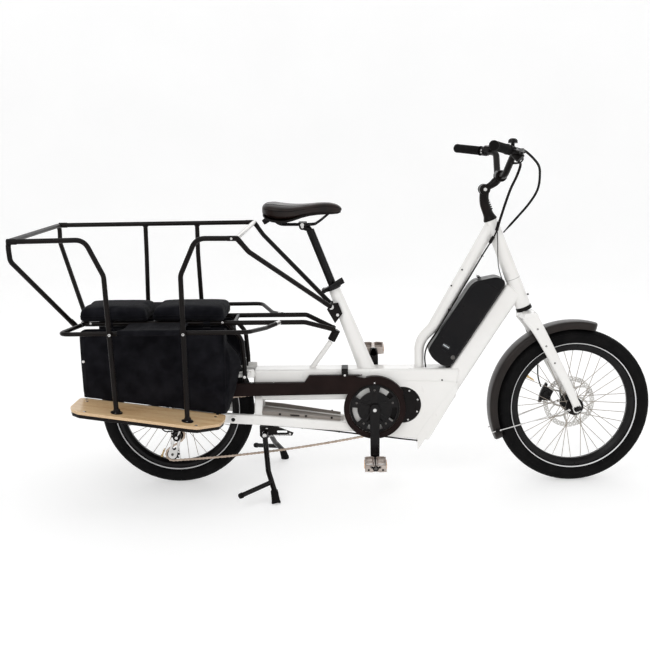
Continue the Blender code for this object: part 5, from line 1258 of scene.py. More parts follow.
rails = [tube(curve([(0.348, s * 0.022, 0.905), (0.356, s * 0.022, 0.896), (0.372, s * 0.022, 0.8895),
        (0.4, s * 0.022, 0.8885), (0.472, s * 0.022, 0.8885), (0.492, s * 0.02, 0.896), (0.522, s * 0.014, 0.919),
        (0.53, s * 0.013, 0.927)], 6), 0.0035, 16) for s in (1, -1)]
piece("saddle_rails", rails, GLOSS_BLACK, "seat")
SEAT_CLAMP = vec(0.44, 0, 0.882)
post = tube([SEAT_TOP - SEAT_UP * 0.13, SEAT_TOP + SEAT_UP * 0.2005, SEAT_TOP + SEAT_UP * 0.203],
        [0.0135, 0.0135, 0.012], 48)
neck = tube([SEAT_TOP + SEAT_UP * 0.195, SEAT_TOP + SEAT_UP * 0.206 + vec(-0.004, 0, 0.001),
        SEAT_CLAMP - vec(-0.004, 0, 0.004)], [0.011, 0.0105, 0.009], 24)
head_core = tube([SEAT_CLAMP - vec(0, 0.015, 0), SEAT_CLAMP + vec(0, 0.015, 0)], 0.0115, 32)
jaws = [softened(block((SEAT_CLAMP.x - 0.014, y0, 0.885), (SEAT_CLAMP.x + 0.014, y1, 0.8965)), 0.0025, 3)
        for y0, y1 in ((-0.029, -0.015), (0.015, 0.029))]
piece("seat_post_tube", [post, neck, head_core] + jaws, GLOSS_BLACK, "seat", hides=["seat_post"])
piece("seat_clamp_bolts", [bolt(SEAT_CLAMP + vec(0, s * 0.028, 0.007), (0, s, 0), 0.0065, 0.004) for s in (-1, 1)]
        + [bolt(SEAT_CLAMP + vec(0, s * 0.0148, -0.001), (0, s, 0), 0.005, 0.003) for s in (-1, 1)], BRIGHT, "seat")

# ---------------------------------------------------------------- steering
HUB = vec(WHEELBASE, 0, TYRE_R)
FENDER_START_DEG, FENDER_SWEEP_DEG, FENDER_STEPS = 74, 130, 96


def fork_leg(sign):
    """A broad flat blade from the crown to the axle."""
    stations = ((1.186, 0.578, 0.025, 0.054), (1.215, 0.536, 0.0215, 0.056), (1.256, 0.462, 0.0185, 0.0575),
            (1.3195, 0.34, 0.0145, 0.06), (1.348, 0.275, 0.013, 0.061), (1.356, 0.252, 0.009, 0.061))
    dense = curve([(x, z, 0) for x, z, _, _ in stations], 5)
    sizes = curve([(half, y, 0) for _, _, half, y in stations], 5)
    rings = []
    for i, (p, q) in enumerate(zip(dense, sizes)):
        before, after = dense[max(i - 1, 0)], dense[min(i + 1, len(dense) - 1)]
        along = vec(after.x - before.x, 0, after.y - before.y).normalized()
        across = vec(-along.z, 0, along.x)
        ring = []
        for k in range(32):
            a = tau * (k + 0.5) / 32
            c, s = cos(a), sin(a)
            ring.append(vec(p.x, sign * q.y, p.y) + across * q.x * abs(c) ** 0.75 * (1 if c > 0 else -1)
                    + vec(0, 0.0098 * abs(s) ** 0.75 * (1 if s > 0 else -1), 0))
        rings.append(ring)
    return skin(rings)


crown = swept_box([CROWN + vec(0.004, -0.063, -0.004), CROWN + vec(0.004, -0.05, -0.002),
        CROWN + vec(0.004, 0.0, 0.001), CROWN + vec(0.004, 0.05, -0.002), CROWN + vec(0.004, 0.063, -0.004)],
        0.0235, 0.015, 0.009, 6)
race = turned(((0.015, -0.014), (0.024, -0.014), (0.0268, -0.0128), (0.0268, -0.006), (0.015, -0.006)), HEAD_BOTTOM,
        64, STEER_UP)
race_top = turned(((0.015, -0.006), (0.0262, -0.006), (0.0266, -0.005), (0.0266, -0.0018), (0.0258, -0.0008),
        (0.015, -0.0008)), HEAD_BOTTOM, 64, STEER_UP)
piece("fork_legs", [fork_leg(1), fork_leg(-1), crown], WHITE, "steering", hides=["fork"], angle=60)
piece("headset_race", [race, race_top], PLASTIC, "steering")
piece("fork_axle", rod(HUB - vec(0, 0.07, 0), HUB + vec(0, 0.07, 0), 0.005, 24), BRIGHT, "steering")
drops, fork_screws = [], []
for s in (-1, 1):
    drops.append(softened(slab([(1.338, 0.288), (1.356, 0.292), (1.365, 0.272), (1.364, 0.256), (1.354, 0.246),
            (1.343, 0.248), (1.336, 0.262)], *band(s, 0.059, 0.067)), 0.0018, 3))
    for x, z, y in ((1.2127, 0.5358, 0.0655), (1.2423, 0.4779, 0.0668), (1.2721, 0.4203, 0.068)):
        fork_screws.append(bolt((x, s * (y - 0.0006), z), (0, s, 0), 0.003, 0.0018))
piece("fork_dropouts", drops, WHITE, "steering")
piece("fork_screws", fork_screws, DARK_STEEL, "steering")
piece("steerer", rod(HEAD_TOP - STEER_UP * 0.02, HEAD_TOP + STEER_UP * 0.0026, 0.0142, 40), STEEL, "steering")

FENDER_C, FENDER_R = vec(1.349, 0, 0.267), 0.2885
half_section = curve([(-0.0252, 0.0364, 0), (-0.025, 0.037, 0), (-0.017, 0.0368, 0), (-0.009, 0.0358, 0),
        (-0.0045, 0.032, 0), (-0.0022, 0.0255, 0), (-0.0008, 0.014, 0), (0.0, 0.0, 0)], 4)
outside = [(p.x, -p.y) for p in half_section[:-1]] + [(p.x, p.y) for p in reversed(half_section)]
inside = [(d - 0.0022, y * 0.945) for d, y in reversed(outside)]
inside[0] = (outside[-1][0] - 0.0002, outside[-1][1] - 0.0024)
inside[-1] = (outside[0][0] - 0.0002, outside[0][1] + 0.0024)
rings = []
for i in range(FENDER_STEPS + 1):
    t = i / FENDER_STEPS
    a = radians(FENDER_START_DEG + FENDER_SWEEP_DEG * t)
    out = vec(cos(a), 0, sin(a))
    taper = 1.0 - 0.35 * max(0.0, 1 - t / 0.035) ** 2 - 0.35 * max(0.0, 1 - (1 - t) / 0.035) ** 2
    rings.append([FENDER_C + out * (FENDER_R + d) + vec(0, y * taper, 0) for d, y in outside + inside])
piece("front_fender_shell", skin(rings), FENDER, "steering", hides=["front_fender"], angle=50)
edge_roll = []
for s in (-1, 1):
    edge_roll.append(tube([FENDER_C + vec(cos(radians(79 + 120 * k / 90)), 0,
            sin(radians(79 + 120 * k / 90))) * (FENDER_R - 0.025) + vec(0, s * 0.0362, 0) for k in range(91)],
            0.0013, 8))
piece("front_fender_edges", edge_roll, FENDER, "steering")
stays = []
for s in (1, -1):
    stays.append(tube(curve([(1.32, s * 0.0745, 0.26), (1.24, s * 0.064, 0.234), (1.13, s * 0.045, 0.198),
            (1.098, s * 0.0388, 0.188), (1.07, s * 0.037, 0.18)], 6), 0.0018, 12))
piece("fender_stays", stays, ALLOY, "steering")
tabs = [softened(block((1.082, min(s * 0.0378, s * 0.0405), 0.179), (1.106, max(s * 0.0378, s * 0.0405), 0.193)),
        0.0008, 2) for s in (-1, 1)]
piece("fender_stay_tabs", tabs, PLASTIC, "steering")
piece("fender_stay_bolts", [bolt((1.098, s * 0.04, 0.188), (0, s, 0), 0.003, 0.0022) for s in (-1, 1)]
        + [bolt((1.322, s * 0.07, 0.26), (0, s, 0), 0.0042, 0.0066) for s in (-1, 1)], BRIGHT, "steering")
strap = swept_box([FENDER_C + vec(cos(2.03), 0, sin(2.03)) * 0.2872, CROWN + vec(0.006, 0, -0.0185)], 0.008, 0.002,
        0.0008, 2)
piece("fender_strap", strap, BLACK, "steering")

for name, x, angle, y, body in (("front", WHEELBASE, 160, 0.04, "steering"), ("rear", 0.0, 40, 0.042, "frame")):
    a0 = radians(angle)
    middle = vec(x + 0.086 * cos(a0), 0, TYRE_R + 0.086 * sin(a0))
    outline = arc((x, TYRE_R), 0.106, angle - 15, angle + 15, 12) + arc((x, TYRE_R), 0.067, angle + 15, angle - 15,
            10)
    halves = [softened(slab(outline, y - 0.006, y - 0.0012), 0.0016, 3),
            softened(slab(outline, y + 0.003, y + 0.0078), 0.0016, 3)]
    bridge = softened(slab(arc((x, TYRE_R), 0.106, angle - 14, angle + 14, 12) + arc((x, TYRE_R), 0.0925,
            angle + 14, angle - 14, 12), y - 0.0058, y + 0.0076), 0.0016, 3)
    cylinder = knob(middle + vec(0, y + 0.007, 0), (0, 1, 0), ((0.0125, 0), (0.0125, 0.008), (0.0105, 0.01),
            (0.0, 0.0104)), 36)
    cylinder_in = knob(middle + vec(0, y - 0.0055, 0), (0, -1, 0), ((0.0115, 0), (0.0115, 0.004), (0.01, 0.0052),
            (0.0, 0.0055)), 36)
    tangent, lift = vec(-sin(a0), 0, cos(a0)), vec(cos(a0), 0, sin(a0)) * 0.01
    arms = [tube([middle + vec(0, y + 0.002, 0) + tangent * s * 0.012 + lift, middle + vec(0, y + 0.004, 0)
            + tangent * s * 0.034 + lift], [0.008, 0.0058], 20) for s in (-1, 1)]
    piece(f"{name}_calliper_body", halves + [bridge, cylinder, cylinder_in] + arms, GLOSS_BLACK, body,
            hides=[f"{name}_calliper"])
    piece(f"{name}_calliper_bolts", [bolt(middle + vec(0, y + 0.0075, 0) + tangent * s * 0.034 + lift, (0, 1, 0),
            0.005, 0.004) for s in (-1, 1)], BRIGHT, body)
disc_hose = curve([(1.256, 0.048, 0.315), (1.248, 0.06, 0.35), (1.244, 0.064, 0.41), (1.215, 0.062, 0.49),
        (1.185, 0.05, 0.56), (1.178, 0.025, 0.585)], 8)
piece("front_disc_hose", tube(disc_hose, 0.0024, 12), PLASTIC, "steering")

quill = turned(((0.0148, 0.0004), (0.0215, 0.0004), (0.0228, 0.0014), (0.0228, 0.006), (0.0148, 0.006)), HEAD_TOP,
        64, STEER_UP)
base = HEAD_TOP + STEER_UP * 0.0045
column_points = [base, base + STEER_UP * 0.008, base + STEER_UP * 0.022, base + STEER_UP * 0.05,
        STEM_PIVOT - vec(0, 0, 0.03), STEM_PIVOT - vec(-0.001, 0, 0.01)]
column = tube(curve(column_points, 4), [0.0225, 0.0221, 0.0216, 0.0208, 0.0198, 0.0188, 0.018, 0.0174, 0.017,
        0.0166, 0.0162, 0.016, 0.0158, 0.0156] + [0.0155] * 7, 36)
cheeks = [knob(STEM_PIVOT + vec(0, s * 0.0103, 0), (0, s, 0), ((0.0178, 0), (0.0178, 0.007), (0.016, 0.0087),
        (0.0, 0.009)), 56) for s in (-1, 1)]
cheek_legs = [tube([STEM_PIVOT + vec(0, s * 0.0145, -0.004), STEM_PIVOT + vec(0.002, s * 0.0125, -0.026)],
        [0.0042, 0.0046], 16, 1.0) for s in (-1, 1)]
column = cut(column, drum(STEM_PIVOT, 0.0188, -0.0105, 0.0105, 64))
piece("stem_column", [column, quill] + cheeks + cheek_legs, BLACK, "steering", hides=["stem_base"], angle=45)
ridge = []
front_dir = vec(STEER_UP.z, 0, -STEER_UP.x)
for k in range(7):
    p = base + STEER_UP * (0.03 + 0.0075 * k) + front_dir * 0.0172
    ridge.append(swept_box([p + vec(0, -0.0065, 0), p + vec(0, 0.0065, 0)], 0.0018, 0.0022, 0.0007, 2))
piece("stem_ridges", ridge, PLASTIC, "steering")
piece("stem_pivot_bolts", [knob(STEM_PIVOT + vec(0, s * 0.019, 0), (0, s, 0), ((0.0064, 0), (0.0064, 0.0026),
        (0.0054, 0.0034), (0.0, 0.0034)), 6) for s in (-1, 1)], BRIGHT, "steering")
tongue = knob(STEM_PIVOT - vec(0, 0.0096, 0), (0, 1, 0), ((0.016, 0), (0.0172, 0.0012), (0.0172, 0.018),
        (0.016, 0.0192), (0.0, 0.0192)), 56)
reach = tube(curve([STEM_PIVOT + vec(0.004, 0, 0.003), STEM_PIVOT + vec(0.024, 0, 0.014),
        STEM_PIVOT + vec(0.04, 0, 0.027), BAR_CLAMP], 6), [0.009 + 0.005 * min(1, i / 10) for i in range(19)], 32,
        1.0)
clamp_ring = turned([(0.0114, -0.0215), (0.0178, -0.0215), (0.019, -0.0203), (0.019, 0.0203), (0.0178, 0.0215),
        (0.0114, 0.0215)], BAR_CLAMP, 64)
piece("stem_arm_forging", [tongue, reach, clamp_ring], BLACK, "handlebar", hides=["stem_arm"], angle=45)
piece("bar_clamp_bolts", [bolt(BAR_CLAMP + vec(0.0165, s * 0.013, t), (1, 0, 0), 0.0036, 0.0036) for s in (-1, 1)
        for t in (-0.008, 0.008)], BRIGHT, "handlebar")

left = [BAR_CLAMP + vec(0, 0.025, 0), vec(1.098, 0.06, 1.044), vec(1.1106, 0.144, 1.1174), GRIP_OUT]
bar_points = rounded([mirror(p) for p in reversed(left)] + left, 0.05, 10)
piece("handlebar_tube", tube(bar_points, BAR_R, 32), BLACK, "handlebar", hides=["handlebar"])
GRIP_DIR = (GRIP_OUT - GRIP_IN).normalized()
RIB_PITCH, FIRST_RIB = 0.0034, 0.02
FORE = GRIP_DIR.cross(vec(0, 0, 1)).normalized()
FORE = FORE if FORE.x > 0 else -FORE
RAISE = FORE.cross(GRIP_DIR).normalized()
RAISE = RAISE if RAISE.z > 0 else -RAISE


def at_grip(sign, along, fore, up):
    """A point beside the grip: along the bar from its inner end, forward of it and above it."""
    p = GRIP_IN + GRIP_DIR * along + FORE * fore + RAISE * up
    return vec(p.x, sign * p.y, p.z)


def grip_way(vector, sign):
    return vec(vector.x, sign * vector.y, vector.z)


grip_length = (GRIP_OUT - GRIP_IN).length
for side_name, sign in (("left", 1), ("right", -1)):
    start, along = at_grip(sign, 0, 0, 0), grip_way(GRIP_DIR, sign)
    profile = [(0.0116, 0.012), (0.0165, 0.012), (0.0168, 0.0135), (0.0168, 0.0165), (0.015, 0.018)]
    k = 0
    while FIRST_RIB + RIB_PITCH * k < grip_length - 0.012:
        h = FIRST_RIB + RIB_PITCH * k
        profile += [(0.0146, h), (0.0152, h + 0.0009), (0.0152, h + 0.0022), (0.0146, h + 0.0031)]
        k += 1
    profile += [(0.015, grip_length - 0.01), (0.0155, grip_length - 0.002), (0.0155, grip_length + 0.004),
            (0.014, grip_length + 0.0064), (0.0, grip_length + 0.0066)]
    piece(f"grip_{side_name}_sleeve", knob(start, along, [(0.0, 0.012)] + profile, 48), GRIP, "handlebar",
            hides=[f"grip_{side_name}"], angle=35)
    clamp_core = turned([(0.0112, -0.016), (0.015, -0.016), (0.016, -0.015), (0.016, 0.001), (0.015, 0.002),
            (0.0112, 0.002)], start, 48, along)
    fore, raise_ = grip_way(FORE, sign), grip_way(RAISE, sign)
    hood_path = [at_grip(sign, -0.008, 0.01, 0), at_grip(sign, -0.008, 0.024, -0.002), at_grip(sign, -0.008, 0.0345,
            -0.004)]
    hood = tube(hood_path, [0.0095, 0.0098, 0.0088], 24, 1.0)
    reservoir = tube([at_grip(sign, -0.026, 0.02, 0.001), at_grip(sign, 0.004, 0.022, 0.0)], 0.0075, 20, dome=True)
    shapes = [clamp_core, hood, reservoir]
    if sign < 0:
        band_profile = [(0.0112, -0.043), (0.0146, -0.043), (0.0155, -0.042), (0.0155, -0.021), (0.0146, -0.02),
                (0.0112, -0.02)]
        shapes.append(turned(band_profile, start, 48, along))
        a, b = at_grip(sign, -0.036, 0.01, -0.006), at_grip(sign, -0.036, 0.03, -0.026)
        shapes.append(knob(a, b - a, ((0.014, 0), (0.016, 0.003), (0.016, 0.0235), (0.014, 0.0275), (0.0, 0.0285)),
                48))
        shapes.append(rod(at_grip(sign, -0.022, 0, 0), at_grip(sign, -0.014, 0, 0), 0.013, 32))
        shapes.append(rod(at_grip(sign, -0.04, 0, 0.01), at_grip(sign, -0.04, 0, 0.0235), 0.006, 24))
        shapes.append(tube([at_grip(sign, -0.036, 0.026, -0.022), at_grip(sign, -0.06, 0.028, -0.024)],
                [0.0055, 0.004], 16))
    else:
        shapes.append(rod(at_grip(sign, -0.024, 0, 0), at_grip(sign, -0.014, 0, 0), 0.014, 32))
        pod = softened(block((-0.0215, -0.0135, -0.0115), (0.0215, 0.0135, 0.01)), 0.004, 4)
        face = softened(block((-0.0195, -0.012, 0.009), (0.0195, 0.012, 0.0114)), 0.0012, 3)
        glass = softened(block((-0.013, -0.0095, 0.0112), (0.0165, 0.0095, 0.0118)), 0.0003, 1)
        to_display = (Matrix.Translation(at_grip(1, -0.031, 0.004, 0.01)) @ Matrix((FORE, GRIP_DIR,
                RAISE)).transposed().to_4x4())
        for shape in (pod, face, glass):
            bmesh.ops.transform(shape, matrix=to_display, verts=shape.verts)
        shapes.append(pod)
        piece("display_frame", face, ALLOY, "handlebar")
        piece("display_glass", glass, SCREEN, "handlebar")
        keys = [button(at_grip(1, -0.031 + dy, 0.004 - 0.0163, 0.01 + 0.0113), RAISE, 0.0021, 0.001)
                for dy in (-0.007, 0.0, 0.007)]
        piece("display_keys", keys, PLASTIC, "handlebar")
    piece(f"controls_{side_name}_body", shapes, PLASTIC, "handlebar", hides=[f"controls_{side_name}"], angle=40)
    pin_at = at_grip(sign, -0.008, 0.0445, -0.005)
    blade = curve([pin_at, at_grip(sign, 0.01, 0.049, -0.006), at_grip(sign, 0.03, 0.05, -0.006),
            at_grip(sign, 0.06, 0.0475, -0.006), at_grip(sign, 0.085, 0.049, -0.006), at_grip(sign, 0.106, 0.053,
            -0.006)], 6)
    radii = [0.0062 - 0.0016 * min(1, i / 8) + 0.001 * max(0, (i - 22) / 8) for i in range(len(blade))]
    knuckle = knob(pin_at - raise_ * 0.0058, raise_, ((0.0055, 0), (0.0065, 0.001), (0.0065, 0.0105),
            (0.0055, 0.0115)), 28)
    piece(f"brake_lever_{side_name}_blade", [tube(blade, radii, 20, 0.75, dome=True), knuckle], GLOSS_BLACK,
            f"brake_lever_{side_name}", hides=[f"brake_lever_{side_name}"])
    fork_plates = [tube([at_grip(sign, -0.008, 0.033, -0.005 + t), at_grip(sign, -0.008, 0.046, -0.005 + t)],
            [0.0058, 0.005], 20, 0.28) for t in (-0.0078, 0.0078)]
    piece(f"lever_fork_{side_name}", fork_plates, PLASTIC, "handlebar")
    piece(f"lever_pin_{side_name}", [rod(pin_at - raise_ * 0.0098, pin_at + raise_ * 0.0098, 0.002, 16)]
            + [bolt(at_grip(sign, -0.007, -0.0155, t), -fore, 0.0028, 0.0024) for t in (-0.004, 0.004)], BRIGHT,
            "handlebar")

bell_at, bell_up = at_grip(-1, -0.04, 0, 0.024), grip_way(RAISE, -1)
dome_profile = [(0.015, 0.0), (0.015, 0.0045), (0.0146, 0.0052), (0.0148, 0.006)]
dome_profile += [(0.0148 * cos(radians(a)) ** 0.8, 0.006 + 0.0095 * sin(radians(a)))
        for a in range(12, 90, 12)] + [(0.0, 0.0157)]
piece("bell_dome", knob(bell_at, bell_up, dome_profile, 48), GLOSS_BLACK, "bell", hides=["bell"])
shift_at = at_grip(-1, -0.036, 0.0345, -0.0305)
shift_path = curve([shift_at, at_grip(-1, -0.026, 0.032, -0.0365), at_grip(-1, -0.014, 0.026, -0.0405),
        at_grip(-1, 0.006, 0.013, -0.042)], 6)
piece("shift_lever_paddle", tube(shift_path, [0.0042 + 0.0024 * (i / (len(shift_path) - 1)) ** 2
        for i in range(len(shift_path))], 20, 0.5, dome=True), PLASTIC, "shift_lever", hides=["shift_lever"])

# ---------------------------------------------------------------- rack and its rails
RACK_R, SIDE_RAIL_R, GAP = 0.008, 0.007, 0.0004
BOARD_T, TRAY_T = 0.009, 0.012
CORNER_X = 0.2513
BOARD_UP = vec(BOARD_SLOPE, 0, 1).normalized()
BOARD_OUTLINE = ((-0.292, 0.166), (0.185, 0.166), (0.1885, 0.23), (0.18, 0.282), (0.118, 0.346), (0.09, 0.349),
        (-0.258, 0.337), (-0.283, 0.318), (-0.295, 0.285))


def board_top(x):
    """Height of the footboard's upper face, which falls towards the front."""
    return BOARD_REAR_Z - BOARD_SLOPE * (x - BOARD_REAR_X)


rack_bars, rack_caps = [], []
for s in (-1, 1):
    rack_bars.append(tube(rounded([(RACK_REAR, 0, RACK_Z), (RACK_REAR, s * RACK_Y, RACK_Z),
            (0.446, s * RACK_Y, RACK_Z), (0.542, s * 0.0125, 0.533)], 0.025, 12), RACK_R, 28))
    rack_bars.append(tube(rounded([(0.185, s * 0.07, 0.57), (0.233, s * 0.069, 0.515), (0.24, s * 0.068, 0.43),
            (0.24, s * 0.068, 0.368)], 0.05, 10), 0.0075, 28))
    rack_bars.append(tube(rounded([(-0.06, s * 0.074, 0.568), (-0.015, s * 0.087, 0.31), (-0.01, s * 0.087, 0.27)],
            0.05, 10), 0.007, 28))
    for at, r in (((0.185, s * 0.0715, 0.57), 0.0086), ((-0.06, s * 0.0735, 0.568), 0.0082)):
        rack_caps.append(collar_bead(at, (0, 0, 1), r, 0.0018))
    rack_caps.append(collar_bead((0.538, s * 0.015, 0.535), (-0.096, s * 0.06, 0.037), 0.0084, 0.0016))
for x in (-0.19, -0.06, 0.07, 0.21):
    rack_bars.append(rod((x, -RACK_Y, RACK_Z), (x, RACK_Y, RACK_Z), 0.0065, 24))
    rack_caps += [collar_bead((x, s * (RACK_Y - RACK_R + 0.0006), RACK_Z), (0, 1, 0), 0.0066, 0.0014)
            for s in (-1, 1)]
sleeve = cut(knob((0.531, 0, 0.4935), vec(0.019, 0, 0.0365), ((0.0125, 0.0), (0.0135, 0.001), (0.0135, 0.0402),
        (0.0125, 0.0411)), 40), rod((0.5222, 0, 0.478), (0.542, 0, 0.512), 0.0093, 32))
piece("rack_tubes", rack_bars + [sleeve], BLACK, hides=["rack"], angle=40)
piece("rack_welds", rack_caps, BLACK)
piece("rack_bolts", [bolt((0.24, s * 0.075, 0.385), (0, s, 0), 0.005, 0.003) for s in (-1, 1)]
        + [bolt((-0.01, s * 0.0935, 0.286), (0, s, 0), 0.005, 0.003) for s in (-1, 1)]
        + [bolt((x, s * 0.0795, 0.5722), (0, s, 0.15), 0.0038, 0.0026) for s in (-1, 1) for x in (-0.268, 0.172)],
        BRIGHT)


BOOT = ((0.0118, 0), (0.0118, 0.004), (0.0095, 0.01), (0.0082, 0.0105))


def foot_flange(x, y):
    """A round foot on the board, held by three screws."""
    at = vec(x, y, board_top(x)) + BOARD_UP * GAP
    disc = knob(at, BOARD_UP, ((0.019, 0), (0.019, 0.0022), (0.018, 0.0034), (0.011, 0.004)), 48)
    screws = [bolt(at + BOARD_UP * 0.0022 + vec(0.0135 * cos(a), 0.0135 * sin(a), -BOARD_SLOPE * 0.0135 * cos(a)),
            BOARD_UP, 0.003, 0.002) for a in (0.5, 2.6, 4.7)]
    return disc, screws


def cage_post(name, node, path, x, y, bend):
    disc, screws = foot_flange(x, y)
    boot = knob(vec(x, y, board_top(x)) + BOARD_UP * 0.0035, BOARD_UP, BOOT, 36)
    piece(name, [tube(rounded(path, bend, 14), CAGE_R, 32), disc, boot], BLACK, hides=[node], angle=40)
    piece(f"{name}_screws", screws, BRIGHT)


TOP = CAGE_Z + 0.003
cage_post("cage_right_rear_post", "cage_post_rear", [(-0.449, -CAGE_Y, CAGE_Z), (-0.22, -CAGE_Y, TOP),
        (-0.165, -CAGE_Y, 0.76), (-0.146, -FOOT_Y, board_top(-0.146) + 0.003)], -0.146, -FOOT_Y, 0.045)
cage_post("cage_right_front_post", "cage_post_front", [(CORNER_X - 0.0095, -CAGE_Y, TOP),
        (0.125, -CAGE_Y, TOP + 0.001), (0.0735, -CAGE_Y, 0.76), (0.0784, -FOOT_Y, board_top(0.0784) + 0.003)],
        0.0784, -FOOT_Y, 0.045)
left_bars = [tube([(-0.449, CAGE_Y, CAGE_Z), (-0.1, CAGE_Y, CAGE_Z + 0.0015), (CORNER_X - 0.0095, CAGE_Y, TOP)],
        CAGE_R, 32)]
left_screws = []
for top_x, foot_x in ((-0.144, -0.15), (0.044, 0.062)):
    left_bars.append(tube(rounded([(top_x, CAGE_Y, CAGE_Z), (top_x, CAGE_Y, 0.76),
            (foot_x, FOOT_Y, board_top(foot_x) + 0.003)], 0.06, 10), CAGE_R, 32))
    left_bars.append(collar_bead((top_x, CAGE_Y, CAGE_Z - CAGE_R + 0.0004), (0, 0, 1), 0.0084, 0.0016))
    disc, screws = foot_flange(foot_x, FOOT_Y)
    left_bars += [disc, knob(vec(foot_x, FOOT_Y, board_top(foot_x)) + BOARD_UP * 0.0035, BOARD_UP, BOOT, 36)]
    left_screws += screws
piece("cage_left_bars", left_bars, BLACK, hides=["cage_left"], angle=40)
piece("cage_left_screws", left_screws, BRIGHT)
hoop = [(-0.3235, -0.08, 0.57), (-0.456, -0.286, 0.808), (-0.4575, -CAGE_Y, CAGE_Z)]
hoop += [mirror(p) for p in reversed(hoop)]
piece("cage_rear_hoop", [tube(rounded(hoop, 0.035, 12), CAGE_R, 32)], BLACK, hides=["cage_hoop_rear"])
piece("cage_hoop_sleeves", [knob((-0.46, s * CAGE_Y, CAGE_Z), (1, 0, 0), ((0.0085, 0), (0.0094, 0.001),
        (0.0094, 0.03), (0.0085, 0.031)), 32) for s in (-1, 1)]
        + [knob((-0.32, s * 0.0745, 0.565), (-0.46, s * 0.71, 0.82), ((0.0085, 0), (0.0092, 0.001), (0.0092, 0.028),
        (0.0085, 0.029)), 32) for s in (-1, 1)], BLACK)
front_bars = [tube(rounded([(CORNER_X, s * CAGE_Y, TOP), (0.285, s * 0.278, 0.829), (0.53, s * 0.033, 0.615)], 0.04,
        12), CAGE_R, 32) for s in (-1, 1)]
plates = [softened(slab(((0.533, 0.625), (0.556, 0.627), (0.57, 0.59), (0.545, 0.557), (0.518, 0.605)),
        *band(s, 0.024, 0.03)), 0.0012, 2) for s in (-1, 1)]
piece("cage_front_legs", front_bars + plates, BLACK, hides=["cage_front_stays"], angle=40)
piece("cage_front_crossbar", [rod((CORNER_X, -CAGE_Y + 0.006, TOP), (CORNER_X, CAGE_Y - 0.006, TOP), 0.0075, 32)],
        STEEL)
piece("cage_front_corners", [tube(rounded([(CORNER_X - 0.03, s * CAGE_Y, TOP), (CORNER_X, s * CAGE_Y, TOP),
        (CORNER_X + 0.013, s * (CAGE_Y - 0.007), TOP - 0.0165)], 0.012, 8), 0.0084, 32) for s in (-1, 1)]
        + [collar_bead((CORNER_X, s * 0.2885, TOP), (0, 1, 0), 0.008, 0.0014) for s in (-1, 1)], BLACK)
piece("cage_stay_bolts", [bolt((0.533, s * 0.033, 0.613), (0, s, 0), 0.007, 0.0035) for s in (-1, 1)]
        + [knob((0.533, s * 0.02, 0.613), (0, s, 0), ((0.0085, 0), (0.0085, 0.0125)), 28) for s in (-1, 1)]
        + [bolt((0.554, s * 0.03, 0.586), (0, s, 0), 0.0052, 0.003) for s in (-1, 1)]
        + [bolt((CORNER_X - 0.016, s * (CAGE_Y + 0.0085), TOP), (0, s, 0), 0.0038, 0.0024) for s in (-1, 1)],
        BRIGHT)

for side, s in (("right", -1), ("left", 1)):
    rail_path = rounded([(-0.294, s * 0.0845, 0.57), (-0.322, s * SIDE_RAIL_Y, 0.575),
            (0.275, s * SIDE_RAIL_Y, 0.577), (0.3225, s * 0.15, 0.566), (0.3585, s * 0.0845, 0.5705)], 0.035, 12)
    piece(f"side_rail_{side}_tube", tube(rail_path, SIDE_RAIL_R, 28), BLACK, hides=[f"side_rail_{side}"])
    ends = [rod(rail_path[0] + (rail_path[0] - rail_path[1]).normalized() * 0.004, rail_path[0].lerp(rail_path[1],
            0.1), 0.008, 28), rod(rail_path[-1] + (rail_path[-1] - rail_path[-2]).normalized() * 0.004,
            rail_path[-1].lerp(rail_path[-2], 0.25), 0.008, 28)]
    post_x = (-0.1552, 0.0757) if s < 0 else (-0.1475, 0.0535)
    for x in post_x:
        ends.append(bolt((x, s * (CAGE_Y + 0.007), 0.5755), (0, s, 0), 0.0046, 0.0028))
    piece(f"side_rail_{side}_ends", ends, BRIGHT)

# ---------------------------------------------------------------- footboards
def sloped_plate(outline, side, high, low):
    """A plate parallel to the board; high and low are depths below the board's top face."""
    rings = []
    for depth in (high, low):
        rings.append([vec(x, side * y, board_top(x)) - BOARD_UP * depth for x, y in outline])
    return skin(rings)


for side, s in (("right", -1), ("left", 1)):
    outline = rounded_outline(BOARD_OUTLINE, 6, radius=0.02)
    piece(f"footboard_{side}_ply", softened(sloped_plate(outline, s, 0.0, BOARD_T), 0.0012, 3, 60), WOOD,
            hides=[f"footboard_{side}"], angle=40)
    inner = rounded_outline([(x * 0.988 - 0.0006, y + (0.003 if y < 0.2 else -0.003)) for x, y in BOARD_OUTLINE], 6,
            radius=0.018)
    support = [softened(sloped_plate(inner, s, BOARD_T + GAP, BOARD_T + TRAY_T), 0.0015, 2, 60)]
    for x in (0.15, -0.06):
        support.append(softened(sloped_plate([(x - 0.013, 0.0885), (x + 0.013, 0.0885), (x + 0.013, 0.25),
                (x - 0.013, 0.25)], s, BOARD_T + TRAY_T - 0.001, BOARD_T + TRAY_T + 0.006), 0.0015, 2, 60))
    piece(f"tray_{side}_steel", support, BLACK, hides=[f"tray_{side}"], angle=40)
    screws = []
    for x, y in ((0.158, 0.178), (0.156, 0.2085), (-0.27, 0.18), (-0.262, 0.205), (0.11, 0.33), (-0.24, 0.325)):
        at = vec(x, s * y, board_top(x))
        screws.append(knob(at - BOARD_UP * 0.0004, BOARD_UP, ((0.0052, 0), (0.0052, 0.0008), (0.004, 0.0016),
                (0.0, 0.0018)), 24))
    piece(f"footboard_{side}_screws", screws, BRIGHT)

